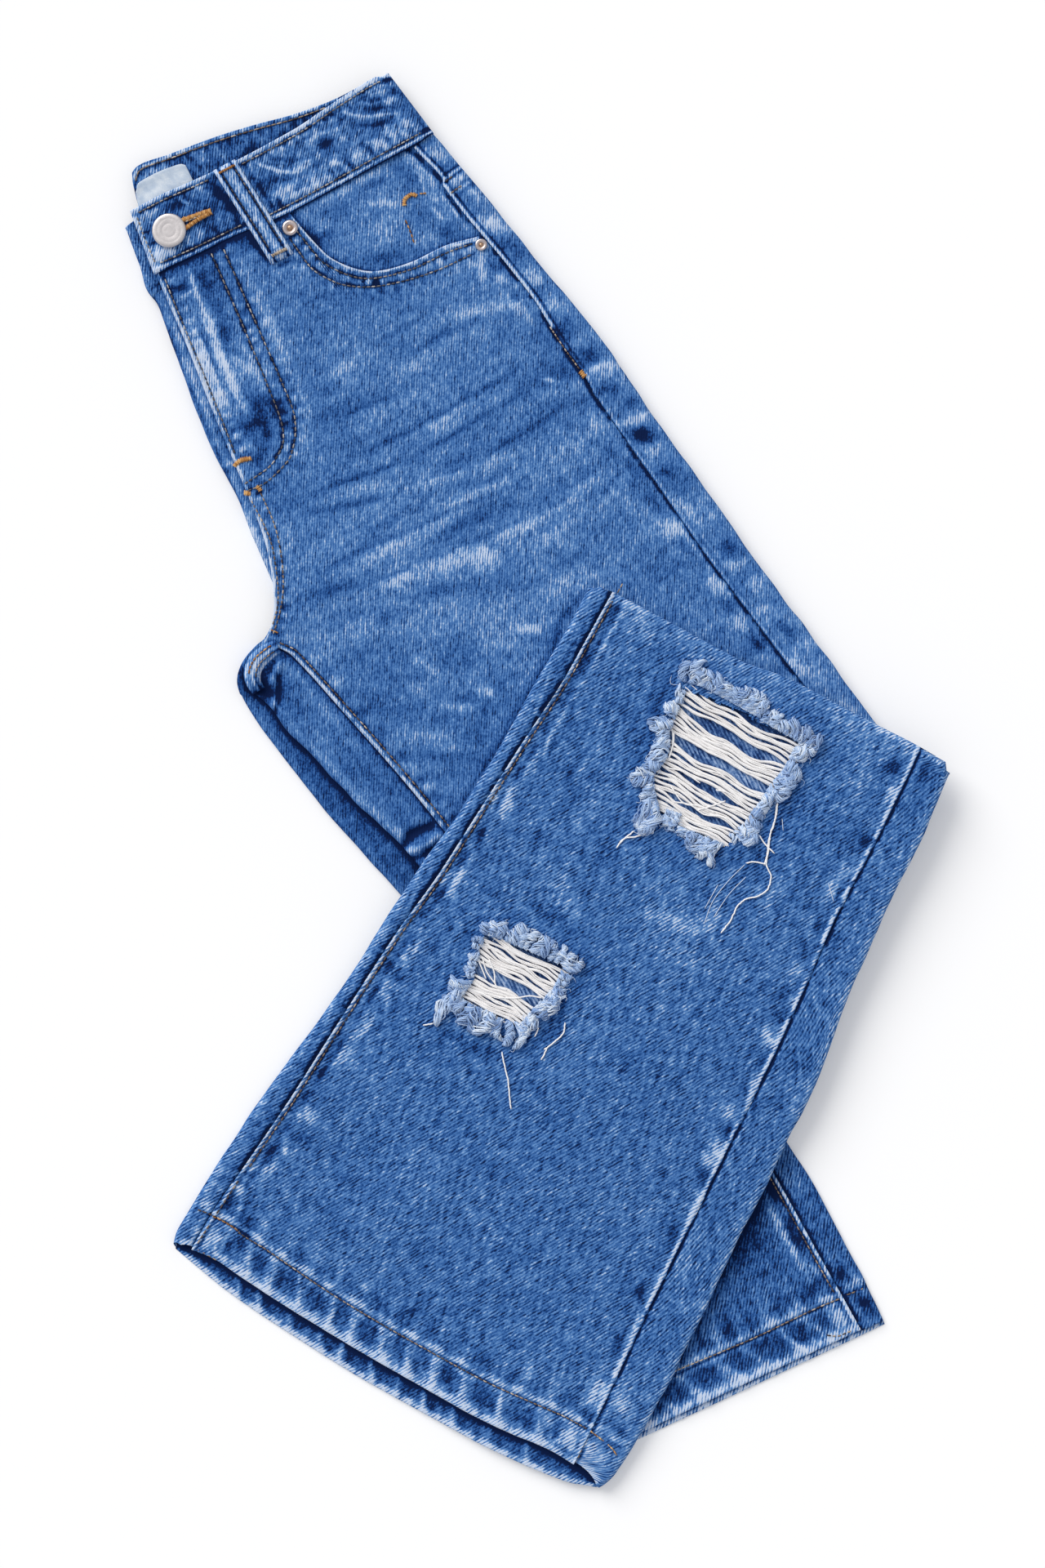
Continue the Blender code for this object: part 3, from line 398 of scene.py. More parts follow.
class Graph:
    """Short names for building the node tree of a material or a world."""

    def __init__(self, owner):
        owner.use_nodes = True
        self.owner = owner
        self.tree = owner.node_tree
        self.shader = self.tree.nodes.get("Principled BSDF")

    def node(self, kind, settings=None, **links):
        """A new node; inputs are named by keyword, or numbered as i0, i1 and so on."""
        made = self.tree.nodes.new(kind)
        for key, value in (settings or {}).items():
            setattr(made, key, value)
        for key, value in links.items():
            self.put(made, int(key[1:]) if key[0] == "i" and key[1:].isdigit() else key, value)
        return made

    def put(self, node, key, value):
        socket = node.inputs[key.replace("_", " ") if isinstance(key, str) else key]
        if isinstance(value, bpy.types.NodeSocket):
            self.tree.links.new(value, socket)
        else:
            socket.default_value = value

    def finish(self, **inputs):
        """Sets the shader's inputs and returns the material."""
        for key, value in inputs.items():
            self.put(self.shader, key, value)
        return self.owner

    def math(self, operation, a, b=0.0, c=0.0):
        return self.node("ShaderNodeMath", {"operation": operation}, i0=a, i1=b, i2=c).outputs[0]

    def noise(self, vector, scale, detail=2.0, roughness=0.5):
        return self.node("ShaderNodeTexNoise", Vector=vector, Scale=scale, Detail=detail,
                         Roughness=roughness).outputs[0]

    def stretch(self, vector, x, y, turn=0.0):
        return self.node("ShaderNodeMapping", Vector=vector, Rotation=(0, 0, turn),
                         Scale=(x, y, 1)).outputs[0]

    def attribute(self, name):
        return self.node("ShaderNodeAttribute", {"attribute_name": name}).outputs["Fac"]

    def position(self):
        return self.node("ShaderNodeNewGeometry").outputs["Position"]

    def ramp(self, value, stops):
        made = self.node("ShaderNodeValToRGB", i0=value)
        points = made.color_ramp.elements
        while len(points) < len(stops):
            points.new(0.5)
        for point, (at, colour) in zip(points, stops):
            point.position = at
            point.color = (*colour, 1)
        return made.outputs[0]

    def bump(self, height, distance, strength=1.0):
        return self.node("ShaderNodeBump", Height=height, Distance=distance, Strength=strength).outputs[0]


def denim(name, period, angle, stops=DENIM_STOPS, contrast=1.0, shift=0.0, slub=0.15, cloud=0.30,
          lean=0.0, drawn=(1.0, 1.0), crisp=1.40):
    """Twill: ribs of the given period in mm, their normal turned by angle degrees from across.

    drawn squeezes the larger clouds along and across the cloth; crisp is the strength of the grain.
    """
    g = Graph(bpy.data.materials.new(name))
    uv = g.node("ShaderNodeUVMap", {"uv_map": "cloth"}).outputs[0]
    ribbed = g.stretch(uv, 1, 1, -math.radians(angle))
    across = g.node("ShaderNodeSeparateXYZ", i0=ribbed).outputs[0]
    drift = g.math("MULTIPLY", g.noise(uv, 90.0, 1.0), 5.0)
    rib = g.math("SINE", g.math("MULTIPLY_ADD", across, 2 * math.pi / (period * MM), drift))
    clouded = g.stretch(uv, drawn[0], drawn[1], math.radians(7))
    leaning = g.stretch(uv, 1, 1, math.radians(lean))
    grain = g.noise(g.stretch(ribbed, 1.0, 0.20), 900.0, 2.0, 0.6)
    layers = (
        (grain, crisp),
        (g.noise(uv, 620.0, 2.0, 0.65), 0.85),
        (g.noise(g.stretch(ribbed, 1.0, 0.28), 300.0, 2.0, 0.6), 0.50),
        (g.noise(g.stretch(leaning, 1.0, 0.17), 430.0, 2.0, 0.55), slub),
        (g.noise(clouded, 120.0, 3.0, 0.6), cloud),
        (g.noise(clouded, 40.0, 3.0, 0.6), 0.6 * cloud),
    )
    middle = 0.5 * contrast * sum(amount for _, amount in layers)
    worn = g.math("MULTIPLY_ADD", grain, 1.6, g.math("MULTIPLY_ADD", rib, 0.28, 0.10))
    # Wear and painted light and shade, from the cloth's points, act through the weave.
    value = g.math("MULTIPLY_ADD", g.attribute("wear"), worn, 0.425 + shift - middle)
    value = g.math("MULTIPLY_ADD", rib, 0.17 * contrast, value)
    for layer, amount in layers:
        value = g.math("MULTIPLY_ADD", layer, amount * contrast, value)
    height = g.math("MULTIPLY_ADD", rib, 0.35, g.math("MULTIPLY", grain, 0.9))
    return g.finish(Base_Color=g.ramp(value, stops), Roughness=0.92, Specular_IOR_Level=0.12,
                    Normal=g.bump(height, 0.00035, 0.5))


def thread(name, *colours):
    """Spun thread: colour varies along it and from stitch to stitch. colours are (place, r, g, b)."""
    g = Graph(bpy.data.materials.new(name))
    fine = g.noise(g.position(), 1400.0, 2.0)
    value = g.math("MULTIPLY_ADD", fine, 0.5, g.math("MULTIPLY_ADD", g.attribute("shade"), 0.9, -0.2))
    stops = [(at, colour) for at, *colour in colours]
    return g.finish(Base_Color=g.ramp(value, stops), Roughness=0.85, Specular_IOR_Level=0.15,
                    Normal=g.bump(fine, 0.0002, 0.5))


def metal(name, colour, roughness, spots=0.1):
    """Satin metal with slightly darker spots."""
    g = Graph(bpy.data.materials.new(name))
    value = g.noise(g.position(), 260.0, 4.0, 0.6)
    darker = [c * (1 - spots) for c in colour]
    lighter = [min(1.0, c * (1 + spots)) for c in colour]
    return g.finish(Base_Color=g.ramp(value, ((0.3, darker), (0.7, lighter))), Metallic=1.0,
                    Roughness=roughness, Normal=g.bump(g.noise(g.position(), 900.0, 3.0), 0.0001, 0.35))


DENIM_HIP = denim("denim_hip", 1.47, 40, shift=0.050, cloud=0.26, drawn=(.36, 1.3), crisp=1.22)
DENIM_LEG = denim("denim_leg", 1.75, 31, shift=-0.030, slub=0.80, cloud=0.13, lean=12, drawn=(1.25, .40),
                  crisp=1.40)
DENIM_RIGHT = denim("denim_right", 1.78, 35, shift=-0.13, slub=0.25)
DENIM_BAND = denim("denim_band", 1.6, 40, contrast=1.05, shift=-0.075, cloud=0.30)
DENIM_LOOP = denim("denim_loop", 1.5, 28)
INSIDE = denim("denim_inside", 2.1, -57, INSIDE_STOPS, 1.0, 0.10, cloud=0.6)
BROWN = thread("thread_brown", (0.0, .055, .042, .040), (0.35, .170, .125, .095), (0.65, .350, .265, .190),
               (1.0, .62, .53, .43))
DUSTY = thread("thread_dusty", (0.0, .030, .034, .048), (0.35, .110, .100, .100), (0.65, .260, .235, .215),
               (1.0, .56, .52, .47))
ORANGE = thread("thread_orange", (0.0, .16, .065, .022), (0.45, .46, .21, .06), (1.0, .78, .50, .22))
FRAY = thread("fray_yarn", (0.0, .170, .290, .560), (0.35, .320, .470, .740), (0.7, .500, .640, .860),
              (1.0, .80, .87, .95))
WEFT = thread("weft_yarn", (0.0, .60, .56, .53), (0.35, .84, .81, .79), (0.7, .93, .91, .90),
              (1.0, .98, .97, .96))
LABEL = thread("label_cloth", (0.0, .42, .52, .66), (0.5, .56, .65, .76), (1.0, .74, .80, .86))
NICKEL = metal("nickel_satin", (.70, .665, .66), 0.5)
COPPER = metal("copper_worn", (.50, .33, .22), 0.4, 0.3)
RING = metal("rivet_ring", (.66, .57, .55), 0.36, 0.2)


# ------------------------------------------------------------------ threads
def tubes(name, lines, radius, material, shades, sides=5, taper=0.5, replaces=()):
    """Many yarns as one mesh. lines are arrays of positions in metres, radius in mm."""
    points, faces, shade = [], [], []
    base = 0
    turns = np.arange(sides) * 2 * math.pi / sides
    cosines, sines = np.cos(turns)[None, :, None], np.sin(turns)[None, :, None]
    for line, tone in zip(lines, shades):
        count = len(line)
        ahead = np.gradient(line, axis=0)
        ahead /= np.maximum(np.linalg.norm(ahead, axis=1, keepdims=True), 1e-9)
        side = np.cross(ahead, (0, 0, 1.0))
        flat = np.linalg.norm(side, axis=1, keepdims=True)
        side = np.where(flat > 1e-3, side / np.maximum(flat, 1e-9), (1.0, 0, 0))
        up = np.cross(side, ahead)
        size = np.full((count, 1, 1), radius * MM)
        size[0] = size[-1] = radius * MM * taper
        ring = line[:, None] + side[:, None] * (cosines * size) + up[:, None] * (sines * size)
        points.append(ring.reshape(-1, 3))
        shade.append(np.full(count * sides, tone))
        for low in range(base, base + (count - 1) * sides, sides):
            for j in range(sides):
                k = (j + 1) % sides
                faces.append((low + j, low + k, low + sides + k, low + sides + j))
        last = base + (count - 1) * sides
        faces.append(tuple(range(base + sides - 1, base - 1, -1)))
        faces.append(tuple(range(last, last + sides)))
        base += count * sides
    made = add_mesh(name, np.concatenate(points), faces, material, replaces=replaces)
    paint(made, "shade", np.concatenate(shade))


class Stitching:
    """Collects rows of stitches of one thread, to be joined into one piece."""

    # Heights of a stitch over the cloth, from end to end.
    ARCH = np.array([0, .47, .63, .63, .47, 0])

    def __init__(self, seed):
        self.random = np.random.default_rng(seed)
        self.lines, self.shades = [], []

    def add(self, flat, s, t, z, bias, variety):
        """One stitch, its shade drawn round the bias."""
        self.lines.append(place(flat, s, t, z))
        self.shades.append(float(np.clip(self.random.normal(bias, variety), 0, 1)))

    def row(self, flat, line, height, length=2.3, gap=0.75, bias=0.50):
        """Running stitches along a line, each arched over the cloth."""
        x, y = rounded(line, 0.5).T
        walked = walk(x, y)
        at = self.random.uniform(0, 1)
        while at + length < walked[-1]:
            long = length * self.random.uniform(0.85, 1.1)
            along = np.linspace(at, at + long, 6)
            s, t = np.interp(along, walked, x), np.interp(along, walked, y)
            self.add(flat, s, t, height(s, t) + self.ARCH, bias, 0.32)
            at += long + gap

    def zigzag(self, flat, line, height, half, pitch=0.7, bias=0.6):
        """A bartack: close-set stitches to and fro across a short line."""
        x, y = rounded(line, 0.4).T
        walked = walk(x, y)
        at, side = 0.0, 1.0
        while at < walked[-1] - pitch:
            (s0, s1), (t0, t1) = [np.interp([at, at + pitch], walked, track) for track in (x, y)]
            ds, dt = (s1 - s0) / pitch, (t1 - t0) / pitch
            reach = half * self.random.uniform(0.8, 1.15)
            f = np.linspace(-1, 1, 5) * side
            s = (s0 + s1) / 2 - dt * f * reach + ds * pitch * 0.5 * f * side
            t = (t0 + t1) / 2 + ds * f * reach + dt * pitch * 0.5 * f * side
            self.add(flat, s, t, height(s, t) + 0.5 + 0.3 * (1 - f * f), bias, 0.2)
            at += pitch
            side = -side

    def build(self, name, material, radius):
        tubes(name, self.lines, radius, material, self.shades)


BROWN_ROWS = Stitching(11)
ORANGE_ROWS = Stitching(12)
DUSTY_ROWS = Stitching(13)


# ------------------------------------------------------------------ marks of wear and painted shade, in mm
def marks(cloth, features, lift=0.45, gain=1.0, dark=1.0, deep=1.0):
    """Streaks: each row has x, y of a line's points, then its half width and its wear or painted shade.

    Light ones stand up a little and dark ones lie lower.
    """
    for *ends, width, amount in features:
        line = list(zip(ends[::2], ends[1::2]))
        amount = amount * gain * (deep if amount < 0 else 1)
        if amount < 0 and width < 5.5:
            width, amount = width * dark, amount * (1.6 - .6 * dark)
        far, along = near(cloth.s, cloth.t, line)
        total = sum(math.dist(a, b) for a, b in zip(line, line[1:]))
        rough = 1 + 0.35 * noise(cloth.s, cloth.t, 5.0, 31)
        shape = bell(far, width * rough)
        fade = np.minimum(1, 0.35 + 2.2 * np.minimum(along, total - along) / max(total, 1))
        cloth.wear += amount * shape * fade
        cloth.z += lift * np.clip(amount, -0.4, 0.4) * shape * fade


def puckers(cloth, line, offset, reach, pitch, amount, seed, lift=0.3, where=None):
    """Light and dark blocks side by side along a seam, at an offset to its right."""
    far, along = near(cloth.s, cloth.t, line)
    shape = bell(far - offset, reach)
    if where is not None:
        shape = shape * ((along > where[0]) & (along < where[1]))
    drift = 1.3 * noise(along + 500, 0 * along, pitch * 1.7, seed)
    beat = np.sin(2 * math.pi * along / pitch + drift)
    strength = 0.75 + 0.5 * noise(along, far, pitch * 2.1, seed + 5)
    cloth.wear += amount * beat * shape * strength
    cloth.z += lift * beat * shape * strength


def ridge(cloth, line, offset, width, wear, lift):
    """A raised or sunken line along a seam, at an offset to its right; dark sunken ones are painted shade in
    a stitched groove.
    """
    far, along = near(cloth.s, cloth.t, line)
    rough = .85 + .75 * noise(along, 0 * along, 3.4, 77) + .5 * noise(along, 0 * along, 15, 78)
    shape = bell(far - offset, width)
    cloth.wear += wear * shape * np.clip(rough, .1, 1.6)
    cloth.z += lift * shape


def creases(cloth, size, seed, amount, lift):
    """A net of fine sharp creases with darker cells between, as worn cloth gets."""
    net = noise(cloth.s, cloth.t, size, seed) + .35 * noise(cloth.s, cloth.t, size * .45, seed + 1)
    veins = np.clip(1 - np.abs(net), 0, 1) ** 3.0
    fades = np.clip(.55 + .9 * noise(cloth.s, cloth.t, size * 2.2, seed + 2), 0, 1.3)
    cloth.wear += amount * (veins - .38) * fades
    cloth.z += lift * (veins - .38) * fades


def clouds(cloth, seed, amount=0.12, lift=0.35, drawn=(1.0, 1.0)):
    """Broad uneven wear and relief."""
    across, along = drawn[0] * cloth.s, drawn[1] * (cloth.t - .12 * cloth.s)
    cloth.wear += amount * cloudy(across, along, 26.0, seed)
    cloth.wear += 0.6 * amount * cloudy(across, along, 8.0, seed + 9)
    cloth.z += lift * cloudy(cloth.s, cloth.t, 34.0, seed + 3)


def between(low, high, step, fine=(0, .5, 1.1, 1.8, 2.6, 3.6)):
    """Stations from 0 to 1 across a stretch of cloth, closer together near both edges."""
    width = high - low
    near_edge = np.array(fine) / width
    middle = np.linspace(fine[-1] / width, 1 - fine[-1] / width, max(2, int(width / step)))
    return np.concatenate([near_edge[:-1], middle, (1 - near_edge[:-1])[::-1]])


# ------------------------------------------------------------------ hip and thigh
FLY = [
    (-1, 0), (-11, 41), (-22, 81), (-31, 116), (-38, 143), (-43.5, 161), (-55, 185), (-64, 198),
    (-73, 206), (-83, 211),
]
J_INNER = [(31.6, 9), (23, 45.5), (11.6, 90), (4, 115), (-3.6, 125), (-19, 130), (-35, 129)]
J_OUTER = [(39, 11), (28.6, 55), (20, 91), (14, 113), (6, 125), (-7, 134), (-23, 136), (-37, 133)]
MOUTH = [(82.5, 17), (83, 32), (85, 51), (92, 66), (102, 76.5), (123, 85), (144, 89), (162, 96)]
MOUTH_ROW = [(79.5, 28), (80.2, 50), (84.5, 62), (92, 73), (101.5, 80), (122, 88.2), (143, 92.4), (158, 97)]
MOUTH_ROW_LOW = [(73.5, 30), (73, 49), (79, 66), (91, 79), (111, 90), (133, 97.5), (155, 102)]
INSEAM = [(-77, 216), (-72, 226), (-70, 245), (-68, 269), (-65.5, 300), (-63, 344), (-61.5, 400)]
OUTSEAM = [(162, 0), (164, 41), (164, 81), (166, 116), (166.5, 143), (165, 161), (163, 185), (163, 198),
           (161, 214), (160, 230), (159, 269), (156.5, 344), (157, 500)]
RISE_ROW_OUTER = [(-37, 139), (-41, 161), (-52.5, 185), (-62, 198), (-71, 205)]
RISE_ROW_INNER = [(-30, 139), (-34.5, 158), (-45, 180), (-56, 195), (-66, 204), (-76, 211)]
FLY_ROW = [(1, 4), (-1.8, 14), (-6.6, 32), (-9, 41), (-13.8, 60), (-19.6, 81), (-26, 104), (-28.6, 113)]
FLY_MARKS = (
    # light streaks
    (-8, 33, -12, 50, -17.2, 72, -20.5, 91, 3.0, .60), (-4, 38, -8, 56, -13, 76, -16, 93, 2.4, .52),
    (8.6, 22, 7.4, 40, 1, 59, -5, 78, -8, 95, 2.2, .60), (5, 34, 2, 48, -3, 62, 1.2, .28),
    (15, 9, 11.4, 20, 9, 32, 1.3, .38), (-2, 19.4, 12, 19.8, .9, .34), (0, 5.6, 6, 8, 1.6, .26),
    (10, 56, 7, 66, 6, 78, 3.0, .16), (-24, 103, -16, 103.6, 1.5, .24), (-27, 112, -19, 112.6, 1.4, .26),
    (-10, 88, -13, 96, 1.3, .26), (13, 66, 15, 90, 1.8, .14), (-31, 122, -26, 124, 2.0, .16),
    (12, 42, 16, 50, 3.4, .22),
    # dark places; (56, 10 ...) and (56, 39 ...) are painted shadow beside and below the belt loop
    (6, 60, 10, 68, 3.4, -.26), (8, 20, 8, 34, 3.4, -.24), (-22, 118, -19, 126, 4, -.28),
    (-8, 110, -5, 120, 3.4, -.24), (-2, 92, 0, 104, 3, -.24), (28, 46, 32, 52, 3, -.20),
    (-1, 36, -3, 50, -8, 66, -11, 78, 1.0, -.32), (15, 24, 14.5, 40, 11, 54, 4.2, -.26),
    (20, 13, 18, 26, 4.0, -.36), (2, 13, 9, 17, 3.2, -.34), (4, 96, 9, 104, 5, 116, 4.0, -.36),
    (-6, 101, -3, 114, 3.4, -.30), (-18, 101, -5, 107, 5, -.30), (-16, 122, -9, 113, 3.0, -.26),
    (7, 48, 4, 64, 3.6, -.24), (12, 70, 8, 98, 2.6, .20), (-3, 36, -6, 50, 2.6, .16),
    (-28, 97, -30, 108, 2.0, -.16), (56, 10, 55, 35, 1.5, -.50), (56, 39, 69, 41, 1.6, -.44),
    (28, 14, 24, 34, 3.4, -.16),
)
THIGH_TONES = (
    # (-56, 342 ...) and (-88, 357 ...) are painted shadow beside the lower leg; (58, 30, 70, 36) is painted
    # shadow below the belt loop.
    (104, 84, 130, 93, 156, 101, 3.4, .18), (40, 330, 62, 318, 80, 310, 4, .20),
    (-40, 350, -24, 356, 5, .20), (60, 282, 78, 287, 5, -.16), (154, 340, 156, 358, 3.4, .36),
    (142, 60, 152, 80, 158, 104, 3.0, .10), (140, 80, 152, 100, 157, 130, 4.0, .14),
    (42, 210, 72, 217, 106, 224, 4.5, .28), (60, 243, 82, 250, 110, 254, 134, 254, 4.5, .26),
    (8, 250, 24, 262, 36, 288, 11, .16), (14, 278, 34, 292, 9, .12), (82, 264, 102, 270, 5, .14),
    (96, 172, 124, 200, 12, .08), (36, 163, 84, 168, 4, .10), (52, 303, 84, 296, 5, .14),
    (155, 300, 155, 345, 2.4, .26), (155, 134, 158, 160, 3.0, .16), (-8, 112, 6, 142, 4, .12),
    (66, 68, 84, 82, 106, 94, 7, -.16), (118, 102, 148, 108, 6, -.14), (124, 128, 148, 137, 5, -.12),
    (26, 22, 42, 50, 10, -.10), (58, 30, 70, 36, 5, -.24), (-56, 342, -30, 338, 0, 326, 8, -.20),
    (150, 268, 153, 280, 5, -.36), (108, 300, 146, 318, 14, -.10), (156, 170, 158, 176, 5, -.30),
    (58, 246, 74, 262, 70, 284, 10, .12), (98, 212, 110, 217, 4, -.18), (28, 242, 36, 254, 5, .12),
    (-88, 357, -46, 351, 3.2, -.36), (143, 362, 146, 370, 5, -.30), (148, 384, 150, 392, 5, -.20),
    (20, 140, 0, 150, 6, .06),
)
THIGH_MARKS = (
    # beside the double row
    (43, 24, 35, 60, 27, 96, 3.6, .20), (27, 100, 20, 118, 8, 132, 4, .16), (46, 12, 58, 22, 7, -.22),
    (52, 44, 68, 36, 5, .14), (66, 34, 66, 60, 4, .12),
    # whiskers, light
    (49, 106, 56, 117, 7, .17), (62, 103, 80, 112, 4, .10), (119, 121, 140, 133, 159, 141, 3.2, .22),
    (147, 121, 158, 106, 2.0, .34), (120, 104, 150, 104, 4, .10), (76, 130, 98, 134, 5, .12),
    (42, 136, 54, 147, 5, .10), (66, 168, 82, 170, 96, 170, 3.2, .24), (70, 174, 92, 176, 3, .10),
    (10, 167, 22, 174, 38, 181, 4.0, .13), (20, 159, 32, 162, 3, .10),
    (40, 187, 54, 193, 72, 201, 3.4, .20), (80, 203, 98, 209, 112, 216, 5, .17),
    (-18, 203, 0, 207, 24, 213, 58, 219, 4.0, .20), (-8, 225, 8, 229, 19, 234, 4.4, .30),
    (25, 234, 42, 242, 55, 254, 5.0, .30), (52, 243, 56, 253, 3.8, .46),
    (62, 243, 80, 246, 99, 248, 4.2, .20), (80, 262, 114, 262, 3.6, .18), (104, 250, 140, 252, 4, .12),
    (118, 190, 146, 197, 4, .10), (143, 186, 147, 190, 1.7, .55), (-30, 160, -34, 176, 3, .16),
    (-16, 249, 0, 256, 4, .12), (-36, 236, -24, 246, 5, .10), (104, 180, 128, 178, 5, .08),
    # whiskers, dark and thin
    (66, 104, 80, 110, 99, 113, 120, 114.6, 2.4, -.20),
    (80, 125, 99, 128.5, 122, 131, 140, 134.6, 2.6, -.18), (104, 126, 118, 130, 4.4, -.18),
    (37, 133, 53, 136, 66, 140, 74, 141, 2.6, -.24), (28, 130, 50, 133, 5, -.12),
    (36, 157, 60, 162.5, 80, 166, 99, 167.4, 2.4, -.26), (99, 167.4, 120, 170.4, 143, 172.6, 2.6, -.26),
    (0, 159, 19, 165.4, 37, 171.5, 53, 176, 2.4, -.28),
    (53, 176, 71, 179.4, 92, 180.6, 118, 184, 130, 185, 2.4, -.28),
    (-18, 160, -10, 167.6, 6, 175.4, 22, 183, 32, 186.5, 2.6, -.24), (-30, 150, -14, 156, 6, -.14),
    (37, 185.4, 53, 191, 68, 197.4, 83, 201, 2.2, -.22), (62, 190, 84, 198, 4.6, -.20),
    (83, 201, 99, 202, 119, 205, 143, 206, 2.4, -.26), (-34, 197, -9, 200.4, 10, 205, 25, 209.6, 3.0, -.30),
    (25, 209.6, 46, 213.4, 62, 217, 80, 221.6, 100, 225.6, 2.6, -.24),
    (65, 206, 80, 214, 99, 219, 3.0, -.24), (0, 196, 40, 203, 5, -.14),
    (-42, 205, -24, 212.4, -12, 219, 4.0, -.28), (-12, 220, 4, 224, 16, 230, 2.2, -.22),
    (40, 222, 60, 228, 80, 232, 5, -.20),
    (43, 233.6, 59, 238.6, 73, 241.6, 99, 247.8, 112, 249.6, 2.2, -.20), (100, 240, 140, 246, 5, -.14),
    (-40, 221.5, -20, 235, -4, 247, 4.8, -.18), (0, 240, 24, 250, 42, 262, 5, -.22),
    (78, 254, 114, 256, 146, 257, 3.0, -.20), (146, 236, 156, 262, 5, -.18), (-50, 240, -24, 262, 10, -.08),
    (10, 118, 30, 126, 6, -.12), (84, 104, 112, 106, 5, -.12), (62, 60, 50, 92, 9, -.10),
    (128, 150, 158, 158, 6, -.10), (142, 178, 158, 186, 6, -.12), (-12, 302, -2, 314, 2.6, -.20),
    (-56, 312, -34, 330, 3, -.14), (4, 282, 24, 292, 8, -.10), (110, 272, 140, 280, 6, -.10),
    (150, 284, 153, 296, 4, -.22), (150, 312, 152, 324, 4, -.2), (150, 352, 152, 360, 4, -.2),
    (149, 380, 151, 396, 4, -.18),
    # below the whiskers, light
    (-22, 300, -5, 317, 2.6, .26), (2, 304, 9, 318, 2.6, .26), (-52, 300, -24, 323, 3.2, .20),
    (-38, 320, -14, 340, 3.4, .17), (42, 293, 53, 301, 2.6, .28), (-16, 270, -8, 291, 3, .20),
    (-28, 280, -24, 292, 3, .16), (20, 318, 30, 326, 3, .14), (60, 285, 90, 288, 5, .10),
    (146, 300, 154, 307, 4.6, .42), (142, 362, 151, 374, 5.5, .34), (150, 335, 152, 350, 3, .2),
    (140, 404, 152, 424, 6, .16), (148, 218, 154, 240, 3.2, .12),
)


def thigh_cloth(u, t):
    """Place and height of the thigh's top face, u of the way from the inseam to the outseam."""
    s = lerp(thigh_inner(t), thigh_outer(t), u)
    return s, thigh_top(s, t)


LEG_ON_THIGH = [(-120, 381), (-70, 365), (-30, 350), (10, 335), (50, 318), (66, 305), (82, 300)]


def thigh_seams(cloth):
    """Worn edges, grooves and puckers along every seam of the thigh, with painted shade in the grooves,
    beside the lower leg and below the waistband.
    """
    # Painted shadow along the lower leg's edge where it lies on the thigh, then painted shade below the
    # waist seam.
    cloth.wear -= .42 * np.exp(-np.abs(cloth.off(LEG_ON_THIGH)) / 2.6)
    below = np.clip(cloth.t - waist_seam(cloth.s), 0, None)
    cloth.wear -= .60 * np.exp(-(below / 2.4) ** 2) + .16 * np.exp(-below / 9)
    ridge(cloth, FLY, .45, .42, 1.10, .5)
    ridge(cloth, FLY_ROW, 0, .75, -.60, -.35)
    ridge(cloth, FLY, 4.4, 1.4, -.12, -.1)
    puckers(cloth, FLY, 6.0, 2.6, 7.5, .26, 3)
    puckers(cloth, FLY, 6.0, 3.0, 8.0, .26, 4, where=(135, 300))
    for line in (J_INNER, J_OUTER):
        ridge(cloth, line, 0, .95, -.66, -.4)
    puckers(cloth, J_INNER, 3.2, 2.0, 7.0, .24, 21)
    puckers(cloth, J_OUTER, 3.6, 2.8, 8.0, .16, 22)
    ridge(cloth, MOUTH, -.5, .55, 1.05, .55)
    ridge(cloth, MOUTH_ROW, 0, .9, -.58, -.35)
    ridge(cloth, MOUTH_ROW_LOW, 0, .9, -.55, -.35)
    puckers(cloth, MOUTH, -6.0, 2.5, 6.8, .52, 41, lift=.6)
    puckers(cloth, MOUTH, -6.4, 2.2, 6.6, .54, 43, lift=.5, where=(58, 140))
    puckers(cloth, MOUTH_ROW_LOW, -3.6, 2.6, 8.4, .26, 42)
    ridge(cloth, INSEAM, .6, .6, .95, .75)
    ridge(cloth, INSEAM, 3.0, 1.0, -.55, -.25)
    cloth.wear -= .42 * bell(cloth.off(INSEAM) - .6, 1.5) * bell(cloth.t - 222, 20)
    puckers(cloth, INSEAM, 8.5, 3.4, 17.0, .30, 51)
    ridge(cloth, OUTSEAM, -.2, 1.4, -.80, -.6)
    puckers(cloth, OUTSEAM, -7.0, 3.8, 24.0, .24, 61)


def mouth_start(u):
    """Where the front's cloth begins: at the waist seam, then along the pocket mouth."""
    edge = rounded(MOUTH, 1.0)
    inner, outer = thigh_inner(edge[:, 1]), thigh_outer(edge[:, 1])
    edge_u = np.maximum.accumulate((edge[:, 0] - inner) / (outer - inner))
    at_seam = waist_seam(lerp(thigh_inner(17.0), thigh_outer(17.0), u)) + .3
    start = np.where(u < .479, thigh_start(u), at_seam)
    return np.where(u > edge_u[0], np.interp(u, edge_u, edge[:, 1]), start)


